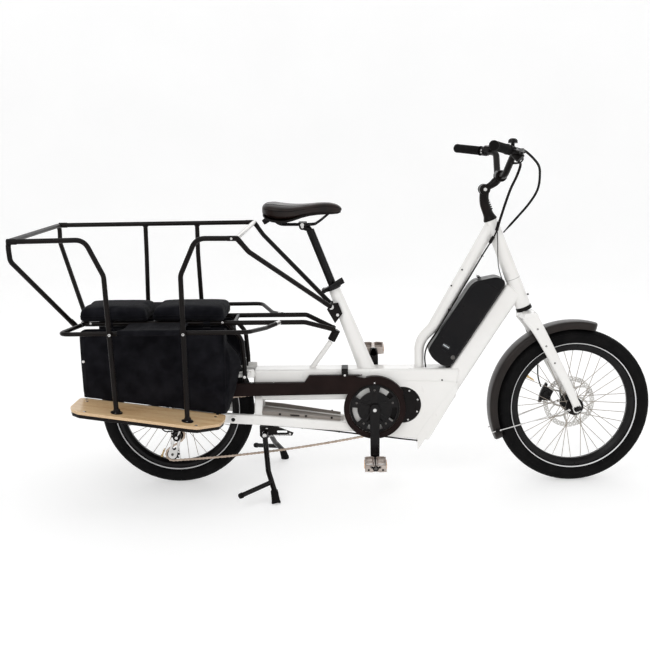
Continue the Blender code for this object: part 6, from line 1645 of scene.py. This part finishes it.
# ---------------------------------------------------------------- bags
BAG_INNER, BAG_OUTER, BAG_WALL = 0.0965, 0.176, 0.004
BAG_REAR, BAG_TOP, BAG_CORNER = -0.285, 0.558, 0.016
BAG_FRONT = ((0.186, 0.186, 0.558), (0.1873, 0.1868, 0.5166), (0.2255, 0.189, 0.474), (0.2331, 0.1893, 0.4484),
        (0.2119, 0.188, 0.3632), (0.186, 0.185, 0.284))


def bag_front(z, inside):
    """Front edge of the bag at a height, on its inner or its outer face."""
    for (a0, b0, z0), (a1, b1, z1) in zip(BAG_FRONT, BAG_FRONT[1:]):
        if z >= z1:
            t = (z - z0) / (z1 - z0)
            return (a0 + (a1 - a0) * t) if inside else (b0 + (b1 - b0) * t)
    return BAG_FRONT[-1][0 if inside else 1]


def bag_point(s, u, t, inset):
    """A point round the bag (u from 0 to 1) and up it (t from 0 to 1), with sag, folds and a soft outward belly."""
    z_guess = 0.3 + (BAG_TOP - 0.3) * t
    x_in, x_out = bag_front(z_guess, True), bag_front(z_guess, False)
    rear = BAG_REAR + 0.0035 * (1 - t)
    length, width = (x_out + x_in) / 2 - rear, BAG_OUTER - BAG_INNER
    around = 2 * (length + width)
    d = (u % 1.0) * around
    if d < length:
        x, y, nx, ny = rear + d, BAG_OUTER, 0.0, 1.0
    elif d < length + width:
        k = (d - length) / width
        x, y, nx, ny = x_out + (x_in - x_out) * k, BAG_OUTER - width * k, 1.0, 0.0
    elif d < 2 * length + width:
        k = (d - length - width) / length
        x, y, nx, ny = x_in + (rear - x_in) * k, BAG_INNER, 0.0, -1.0
    else:
        k = (d - 2 * length - width) / width
        x, y, nx, ny = rear, BAG_INNER + width * k, -1.0, 0.0
    cx = max(0.0, BAG_CORNER - min(x - rear, (x_out if y > 0.13 else x_in) - x)) / BAG_CORNER
    cy = max(0.0, BAG_CORNER - min(y - BAG_INNER, BAG_OUTER - y)) / BAG_CORNER
    if cx > 0 and cy > 0:
        pull = BAG_CORNER * (1 - 1 / max(1.0, hypot(cx, cy)))
        way = hypot(cx, cy)
        x -= (cx / way) * pull * (1 if x > 0 else -1)
        y -= (cy / way) * pull * (1 if y > 0.136 else -1)
    bottom = board_top(x) + 0.0042
    z = bottom + (BAG_TOP - bottom) * t
    belly = sin(pi * min(1.0, max(0.0, t))) ** 0.7
    folds = noise.noise(vec(x * 9.0, y * 6.0 * s, z * 4.5 + x * 5.0)) * 0.0032 + noise.noise(vec(x * 26.0, y * 9,
            z * 12.0)) * 0.0011
    fold_low = exp(-((z - 0.365 + 0.11 * (x - 0.12)) / 0.018) ** 2) * 0.0028 * max(0.0, min(1.0, (x + 0.05) / 0.15))
    fold_low -= exp(-((z - 0.395 + 0.2 * (x - 0.12)) / 0.01) ** 2) * 0.0022 * max(0.0, min(1.0, (x + 0.02) / 0.15))
    push = (0.003 * belly + folds * (0.35 + 0.65 * belly)) + fold_low * (1 if ny > 0 else 0.3)
    if ny < 0:
        push = min(push, 0.001)
    push = max(-0.0045, push) - inset
    x += nx * push
    y += ny * push
    return vec(x, s * y, z)


BAG_STEPS = 240


def bag_shell(s):
    """Outside from the floor up, over the rim, and down the inside."""
    up = 34

    def level(t, inset, drop=0.0):
        return [bag_point(s, k / BAG_STEPS, t, inset) - vec(0, 0, drop) for k in range(BAG_STEPS)]

    rings = [level(0.0, 0.03)] + [level(i / up, 0.0) for i in range(up)]
    rings += [level(1.0, 0.0, 0.001), level(1.0, BAG_WALL * 0.3), level(1.0, BAG_WALL * 0.8, 0.0004)]
    rings += [level(max(0.012, i / up - 0.01), BAG_WALL) for i in range(up, 0, -1)]
    rings.append(level(0.016, BAG_WALL + 0.028))
    return skin(rings)


FLAP_REAR, FLAP_FRONT = -0.134, {-1: 0.062, 1: 0.043}
for side, s in (("right", -1), ("left", 1)):
    piece(f"pannier_{side}_bag", bag_shell(s), CANVAS, hides=[f"pannier_{side}"], angle=60)
    rows = []
    steps = 56
    for i in range(steps + 1):
        x = FLAP_REAR + (FLAP_FRONT[s] - FLAP_REAR) * i / steps
        wave = 0.0007 * sin(i * 0.9) + 0.0008 * noise.noise(vec(x * 40, s, 0))
        over, under = [], []
        for k in range(9):
            t = k / 8
            y = 0.0985 + (0.274 - 0.0985) * t
            z = 0.5765 + (0.5856 - 0.5765) * t - 0.0065 * sin(pi * t) + wave * sin(pi * t)
            over.append((y, z))
            under.append((y, z - 0.0026))
        for a in range(95, -61, -13):
            c, n = cos(radians(a)), sin(radians(a))
            over.append((SIDE_RAIL_Y + (0.0106 + wave * 0.3) * c, 0.5761 + 0.0106 * n))
            under.append((SIDE_RAIL_Y + 0.008 * c, 0.5761 + 0.008 * n))
        section = over + [(over[-1][0] * 0.5 + under[-1][0] * 0.5, over[-1][1] * 0.5
                + under[-1][1] * 0.5 - 0.0008)] + under[::-1]
        rows.append([vec(x, s * y, z) for y, z in section])
    piece(f"pannier_{side}_flap", skin(rows), CANVAS, angle=60)
    trims = []
    rim = [bag_point(s, k / BAG_STEPS, 1.0, -0.0004) + vec(0, 0, -0.0022) for k in range(BAG_STEPS)]
    trims.append(tube(rim, 0.002, 10, closed_loop=True))
    for inside, offset in ((True, BAG_INNER + 0.0018), (False, BAG_OUTER - 0.002)):
        edge = [vec(bag_front(z, inside) - 0.0008, s * offset, z) for z in [0.556 - 0.0085 * k for k in range(30)]
                if z > board_top(0.186) + 0.01]
        trims.append(tube(curve(edge[::3], 4), 0.0019, 10))
    hem = []
    for k in range(22):
        z = 0.554 - 0.009 * k
        hem.append(vec(BAG_REAR + 0.01 + 0.0035 * k / 22, s * (BAG_OUTER + 0.0012 + 0.0026 * sin(pi * k / 21)), z))
    trims.append(tube(hem, 0.007, 16, 0.14, wide_axis=(1, 0, 0)))
    piece(f"pannier_{side}_binding", trims, WEBBING, angle=60)
    rivet = knob((-0.2736, s * (BAG_OUTER + 0.004), 0.465), (0, s, 0), ((0.0048, 0), (0.0048, 0.0008),
            (0.0036, 0.002), (0.0, 0.0024)), 28)
    piece(f"pannier_{side}_rivets", rivet, ALLOY)
    straps = []
    for x in (-0.205, 0.12):
        lo, hi = band(s, 0.08, 0.0985)
        straps.append(softened(block((x - 0.012, lo, 0.556), (x + 0.012, hi, 0.5575)), 0.0004, 1))
        loop = [(x, s * (RACK_Y + 0.0098 * cos(radians(a))), RACK_Z + 0.0098 * sin(radians(a)))
                for a in range(-100, 261, 20)]
        straps.append(tube(loop, 0.012, 12, 0.1, wide_axis=(1, 0, 0)))
    piece(f"pannier_{side}_hangers", straps, WEBBING, angle=60)

# ---------------------------------------------------------------- cushions
CLOTH_FRAMES, PAD_PRESSURE = 20, 4.0


def swell(thing, floor_z, cap):
    """Fill a pad by cloth pressure, never moving a point further than the cap or below the floor."""
    mesh = thing.data
    before = [v.co.copy() for v in mesh.vertices]
    cloth = thing.modifiers.new("cloth", "CLOTH")
    settings = cloth.settings
    settings.use_pressure = True
    settings.uniform_pressure_force = PAD_PRESSURE
    settings.quality = 6
    settings.tension_stiffness = settings.compression_stiffness = 12
    settings.bending_stiffness = 0.8
    settings.effector_weights.gravity = 0.0
    cloth.point_cache.frame_start, cloth.point_cache.frame_end = 1, CLOTH_FRAMES
    for frame_number in range(1, CLOTH_FRAMES + 1):
        bpy.context.scene.frame_set(frame_number)
    done = thing.evaluated_get(bpy.context.evaluated_depsgraph_get()).data
    after = [v.co.copy() for v in done.vertices]
    thing.modifiers.remove(cloth)
    for vertex, old, new in zip(mesh.vertices, before, after):
        move = new - old
        if move.length > cap:
            move *= cap / move.length
        vertex.co = old + move
        vertex.co.z = max(vertex.co.z, floor_z)
    bpy.context.scene.frame_set(1)


def pad_shape(x0, x1, half, low, high, lean0, lean1):
    """A crowned block with soft corners whose ends lean inwards towards the top."""
    rings = []
    for x_t, inset in ((0.0, 0.012), (0.0, 0.004), (0.015, 0.0), (0.06, 0.0), (0.2, 0.0), (0.4, 0.0), (0.6, 0.0),
            (0.8, 0.0), (0.94, 0.0), (0.985, 0.0), (1.0, 0.004), (1.0, 0.012)):
        ring = []
        for k in range(40):
            a = tau * (k + 0.5) / 40
            c, n = cos(a), sin(a)
            y = (half - inset) * (abs(c) ** 0.32) * (1 if c > 0 else -1)
            z = (low + high) / 2 + ((high - low) / 2 - inset * 0.6) * (abs(n) ** 0.45) * (1 if n > 0 else -1)
            lift = (z - low) / (high - low)
            crown = 0.006 * (1 - (y / half) ** 2) * lift
            slope0, slope1 = lean0 * lift ** 2, lean1 * lift ** 2
            x = (x0 + slope0) + ((x1 - slope1) - (x0 + slope0)) * x_t
            crown *= 1 - (2 * x_t - 1) ** 4
            ring.append(vec(x, y, min(z + crown - 0.004 * lift, high)))
        rings.append(ring)
    return skin(rings)


for which, x0, x1, lean0, lean1 in (("rear", -0.304, -0.074, 0.006, 0.009), ("front", -0.063, 0.185, 0.009, 0.006)):
    pad = piece(f"cushion_{which}_pad", pad_shape(x0, x1, 0.097, 0.5794, 0.626, lean0, lean1), PAD_CLOTH,
            hides=[f"cushion_{which}"], angle=180)
    pad.modifiers.clear()
    remesh = pad.modifiers.new("remesh", "REMESH")
    remesh.mode, remesh.voxel_size, remesh.use_smooth_shade = "VOXEL", 0.005, True
    bpy.context.view_layer.update()
    dense = bpy.data.meshes.new_from_object(pad.evaluated_get(bpy.context.evaluated_depsgraph_get()))
    pad.modifiers.clear()
    pad.data = dense
    swell(pad, 0.5791, 0.005)
    finer = pad.modifiers.new("finer", "SUBSURF")
    finer.levels = finer.render_levels = 1
    seam = []
    for k in range(160):
        a = tau * k / 160
        c, n = cos(a), sin(a)
        mid, reach = (x0 + x1) / 2, (x1 - x0) / 2
        seam.append(vec(mid + (reach - 0.003) * (abs(c) ** 0.22) * (1 if c > 0 else -1),
                0.0985 * (abs(n) ** 0.22) * (1 if n > 0 else -1), 0.599))
    bpy.context.view_layer.update()
    solid = pad.evaluated_get(bpy.context.evaluated_depsgraph_get())
    on_pad = []
    for p in seam:
        there = p - vec(MIDDLE_X, 0, 0)
        hit, near, normal, _ = solid.closest_point_on_mesh(there)
        on_pad.append((near + normal * 0.0002 if hit else there) + vec(MIDDLE_X, 0, 0))
    piece(f"cushion_{which}_piping", tube(on_pad, 0.0015, 10, closed_loop=True), WEBBING, angle=60)

# ---------------------------------------------------------------- double-leg stand
bracket = [softened(block((0.285, -0.056, 0.204), (0.34, 0.056, 0.21)), 0.0012, 2)]
for s in (-1, 1):
    lo, hi = band(s, 0.056, 0.06)
    cheek = slab(((0.285, 0.21), (0.285, 0.175), (0.295, 0.166), (0.312, 0.166), (0.32, 0.18), (0.395, 0.176),
            (0.4, 0.186), (0.34, 0.21)), lo, hi)
    slot_hole = tube([(0.348, lo - 0.01, 0.19), (0.348, hi + 0.01, 0.19)], 0.0045, 20)
    bracket.append(softened(cut(cheek, drum(STAND_PIVOT, 0.0098, lo - 0.01, hi + 0.01, 40), slot_hole,
            block((0.348, lo - 0.01, 0.186), (0.378, hi + 0.01, 0.194))), 0.0006, 2, 50))
    lo, hi = band(s, 0.056, 0.072)
    bracket.append(softened(block((0.29, lo, 0.206), (0.33, hi, 0.211)), 0.0012, 2))
piece("stand_bracket_plates", bracket, BLACK, hides=["stand_bracket"], angle=40)
piece("stand_bracket_bolts", [bolt((0.31, s * 0.066, 0.206), (0, 0, -1), 0.0048, 0.003) for s in (-1, 1)]
        + [bolt((0.388, s * 0.06, 0.183), (0, s, 0), 0.004, 0.0026) for s in (-1, 1)], BRIGHT)
stand = [drum(STAND_PIVOT, 0.0092, -0.084, 0.084, 48)]
for s in (-1, 1):
    leg = rounded([(0.3032, s * 0.076, 0.186), (0.308, s * 0.09, 0.14), (0.32, s * 0.165, 0.085),
            (0.3455, s * 0.23, 0.033)], 0.05, 14)
    stand.append(tube(leg, 0.009, 32))
    stand.append(rod((0.333, s * 0.201, 0.06), (0.24, s * 0.2782, 0.0408), 0.0078, 28))
    stand.append(collar_bead((0.33, s * 0.2035, 0.0593), (-0.093, s * 0.077, -0.019), 0.0084, 0.0018))
piece("kickstand_legs", stand, GLOSS_BLACK, "kickstand", hides=["kickstand"], angle=45)
feet, caps = [], []
for s in (-1, 1):
    toe, tip = vec(0.35, s * 0.244, 0.0), vec(0.342, s * 0.222, 0.04)
    way = (tip - toe).normalized()
    rings = []
    for t, r in ((0.0, 0.013), (0.06, 0.0148), (0.14, 0.015), (0.3, 0.0132), (0.34, 0.0139), (0.48, 0.0126),
            (0.52, 0.0133), (0.66, 0.0121), (0.7, 0.0127), (0.95, 0.0118), (1.0, 0.0105)):
        centre = toe.lerp(tip, t)
        side_way = way.cross(vec(0, 1, 0)).normalized()
        over_way = way.cross(side_way)
        ring = []
        for k in range(36):
            a = tau * k / 36
            p = centre + side_way * r * cos(a) + over_way * r * sin(a)
            p.z = max(p.z, 0.0002)
            ring.append(p)
        rings.append(ring)
    feet.append(skin(rings))
    feet.append(tube([vec(0.244, s * 0.2749, 0.0416), vec(0.238, s * 0.2799, 0.0404),
            vec(0.2345, s * 0.2828, 0.0397)], [0.0092, 0.0092, 0.008], 24))
    caps += [button((STAND_PIVOT.x, s * 0.0836, STAND_PIVOT.z), (0, s, 0), 0.0072, 0.003, 0.3),
            bolt((STAND_PIVOT.x, s * 0.0862, STAND_PIVOT.z), (0, s, 0), 0.005, 0.0024)]
piece("kickstand_feet", feet, GRIP, "kickstand", angle=50)
piece("kickstand_pivot_caps", caps, BRIGHT, "kickstand")
spring = []
for k in range(150):
    a = tau * k / 12
    spring.append(vec(0.313 + 0.072 * k / 149, -0.065 + 0.003 * cos(a), 0.177 + 0.004 * k / 149 + 0.003 * sin(a)))
piece("stand_spring", tube(spring, 0.0008, 8), BRIGHT)

# ---------------------------------------------------------------- held cables
LOWER_ROUTE = ((1.101, -0.068, 0.95), (1.09, -0.042, 0.9), (1.076, -0.03, 0.85), (1.035, -0.026, 0.78),
        (0.985, -0.025, 0.693), (0.93, -0.025, 0.599), (0.886, -0.025, 0.525), (0.856, -0.024, 0.478),
        (0.847, -0.02, 0.44), (0.85, -0.02, 0.402))
UPPER_ROUTE = ((1.127, -0.168, 1.09), (1.136, -0.148, 1.079), (1.13, -0.12, 1.045), (1.114, -0.098, 1.002),
        (1.101, -0.068, 0.95))
HOOD_END = HEAD_TOP + TURN @ (at_grip(-1, -0.008, 0.03, -0.004) - HEAD_TOP)
HOSE_ROUTE = (HOOD_END, HOOD_END + vec(0.022, 0.006, -0.001), (1.186, -0.172, 1.083), (1.198, -0.145, 1.047),
        (1.198, -0.11, 1.0), (1.18, -0.07, 0.955), (1.15, -0.035, 0.91), (1.12, -0.01, 0.87), (1.108, 0.0, 0.854))


def wrapped(path, radius, ridge=0.00035, pitch=0.0065):
    """A cable with a spiral wrap: its radius swells once a turn of the wrap."""
    fine = []
    for a, b in zip(path, path[1:]):
        n = max(1, int((b - a).length / 0.0011))
        fine += [a.lerp(b, i / n) for i in range(n)]
    fine.append(path[-1])
    rings, side, along_length = [], vec(0, 1, 0), 0.0
    for i, point in enumerate(fine):
        way = (fine[min(i + 1, len(fine) - 1)] - fine[max(i - 1, 0)]).normalized()
        side = (side - way * side.dot(way)).normalized()
        over = way.cross(side)
        if i:
            along_length += (point - fine[i - 1]).length
        ring = []
        for k in range(18):
            a = tau * k / 18
            turn = (along_length / pitch + k / 18) % 1.0
            thin = min(1.0, max(0.0, (point.z - 0.862) / 0.02))
            r = radius * (0.62 + 0.38 * thin) + (ridge if turn < 0.78 else -ridge * 1.6) * thin
            ring.append(point + side * r * cos(a) + over * r * sin(a))
        rings.append(ring)
    return skin(rings)


hose_path = curve(HOSE_ROUTE, 12)
half_way = max(i for i, p in enumerate(hose_path) if p.z > 0.995)
for name, shape, material, hides, first, second, start, end in (("cable_bundle_lower",
        wrapped(curve(LOWER_ROUTE, 14), 0.004), PLASTIC, ["cable_bundle"], "steering", "frame",
        (1.093, -0.048, 0.912), (1.05, -0.027, 0.806)), ("cable_bundle_upper", wrapped(curve(UPPER_ROUTE, 14),
        0.004), PLASTIC, (), "handlebar", "steering", (1.128, -0.108, 1.034), (1.106, -0.078, 0.968)),
        ("brake_hose_upper", wrapped(hose_path[:half_way + 1], 0.0038, 0.0002), GLOSS_BLACK, ["brake_hose"],
        "handlebar", "steering", (1.195, -0.158, 1.06), (1.199, -0.118, 1.01)),
        ("brake_hose_lower", wrapped(hose_path[half_way:], 0.0038, 0.0002), GLOSS_BLACK, (), "steering", "frame",
        (1.194, -0.097, 0.985), (1.13, -0.018, 0.883))):
    cable = piece(name, shape, material, None, hides=hides, angle=60)
    cable.modifiers.clear()
    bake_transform(cable)
thin_path = curve([(1.083, -0.03, 0.868), (1.0851, -0.0305, 0.8127), (1.0884, -0.0305, 0.7489),
        (1.1, -0.029, 0.705), (1.106, -0.026, 0.69)], 10)
piece("display_wire", tube(thin_path, 0.0015, 12), PLASTIC)
piece("cable_sleeves", [tube([p, q], 0.0056, 20) for p, q in ((vec(1.087, -0.0385, 0.892),
        vec(1.0805, -0.033, 0.864)), (vec(1.0715, -0.0296, 0.843), vec(1.059, -0.0285, 0.822)))], PLASTIC)
piece("cable_ties", [turned([(0.0046, -0.0012), (0.0056, -0.001), (0.0056, 0.001), (0.0046, 0.0012)], at, 24, way)
        for at, way in ((LOWER_ROUTE[3], (0.05, 0, 0.087)), (LOWER_ROUTE[5], (0.05, 0, 0.09)))]
        + [softened(block((0.924, -0.0305, 0.596), (0.93, -0.0245, 0.601)), 0.001, 2)], PLASTIC)

# ---------------------------------------------------------------- floor, light and camera
FLOOR_R, COVE_R, WALL_TOP = 5.0, 3.0, 9.0
GLOW, WORLD_LIGHT = 0.46, 0.4


def backdrop():
    """A pale round floor that curves up into a wall all the way round."""
    profile = [(0.001, 0.0), (2.0, 0.0), (FLOOR_R, 0.0)]
    profile += [(FLOOR_R + COVE_R * sin(radians(a)), COVE_R - COVE_R * cos(radians(a))) for a in range(6, 91, 6)]
    profile.append((FLOOR_R + COVE_R, WALL_TOP))
    shape = bmesh.new()
    sides = 96
    rows = [[shape.verts.new((r * cos(tau * k / sides), r * sin(tau * k / sides), z - 0.0004))
            for k in range(sides)] for r, z in profile]
    for a, b in zip(rows, rows[1:]):
        for k in range(sides):
            m = (k + 1) % sides
            shape.faces.new((a[k], b[k], b[m], a[m]))
    bmesh.ops.recalc_face_normals(shape, faces=shape.faces)
    if rows[0][0].link_faces[0].normal.z < 0:
        bmesh.ops.reverse_faces(shape, faces=shape.faces)
    mesh = bpy.data.meshes.new("backdrop")
    shape.to_mesh(mesh)
    shape.free()
    mesh.shade_smooth()
    floor = finish("studio floor", (0.6, 0.6, 0.6), 0.7, tint=(0.63, 0.63, 0.63), patch=1.0, grain=60.0,
            depth=0.0001, strength=0.05)
    shader = floor.node_tree.nodes["Principled BSDF"]
    shader.inputs["Emission Color"].default_value = (1, 1, 1, 1)
    shader.inputs["Emission Strength"].default_value = GLOW
    mesh.materials.append(floor)
    thing = bpy.data.objects.new("backdrop", mesh)
    bpy.context.collection.objects.link(thing)


backdrop()

scene = bpy.context.scene
scene.view_settings.view_transform = "Standard"
world = bpy.data.worlds.new("studio")
scene.world = world
world.use_nodes = True
world.node_tree.nodes["Background"].inputs["Color"].default_value = (1.0, 1.0, 1.0, 1)
world.node_tree.nodes["Background"].inputs["Strength"].default_value = WORLD_LIGHT

for lamp_name, place, aim, size, power in (("key", (-1.6, -3.0, 3.6), (0.0, 0.0, 0.5), 2.4, 40),
        ("fill", (2.8, -2.6, 2.2), (0.1, 0.0, 0.5), 2.6, 12), ("top", (0.2, 0.6, 4.2), (0.0, 0.0, 0.4), 3.0, 24),
        ("back", (0.5, 3.4, 2.4), (0.0, 0.0, 0.6), 2.6, 12)):
    data = bpy.data.lights.new(lamp_name, "AREA")
    data.shape, data.size, data.energy = "SQUARE", size, power
    lamp = bpy.data.objects.new(lamp_name, data)
    bpy.context.collection.objects.link(lamp)
    lamp.location = place
    lamp.rotation_euler = (Vector(aim) - Vector(place)).to_track_quat("-Z", "Y").to_euler()

CAMERA_AT, LENS = (0.02343, -3.5, 1.1854), 58.13
CAMERA_DEG = (-1.4309, 10.3421, -0.7828)   # yaw, pitch and roll
camera_data = bpy.data.cameras.new("camera")
camera = bpy.data.objects.new("camera", camera_data)
bpy.context.collection.objects.link(camera)
camera_data.sensor_width = 36.0
camera_data.lens = LENS
yaw, pitch, roll = [radians(a) for a in CAMERA_DEG]
ahead = vec(sin(yaw) * cos(pitch), cos(yaw) * cos(pitch), -sin(pitch))
right = vec(cos(yaw), -sin(yaw), 0)
over = right.cross(ahead)
tilted_right = right * cos(roll) + over * sin(roll)
tilted_up = -right * sin(roll) + over * cos(roll)
camera.matrix_world = Matrix.Translation(CAMERA_AT) @ Matrix((tilted_right, tilted_up,
        -ahead)).transposed().to_4x4()
scene.camera = camera
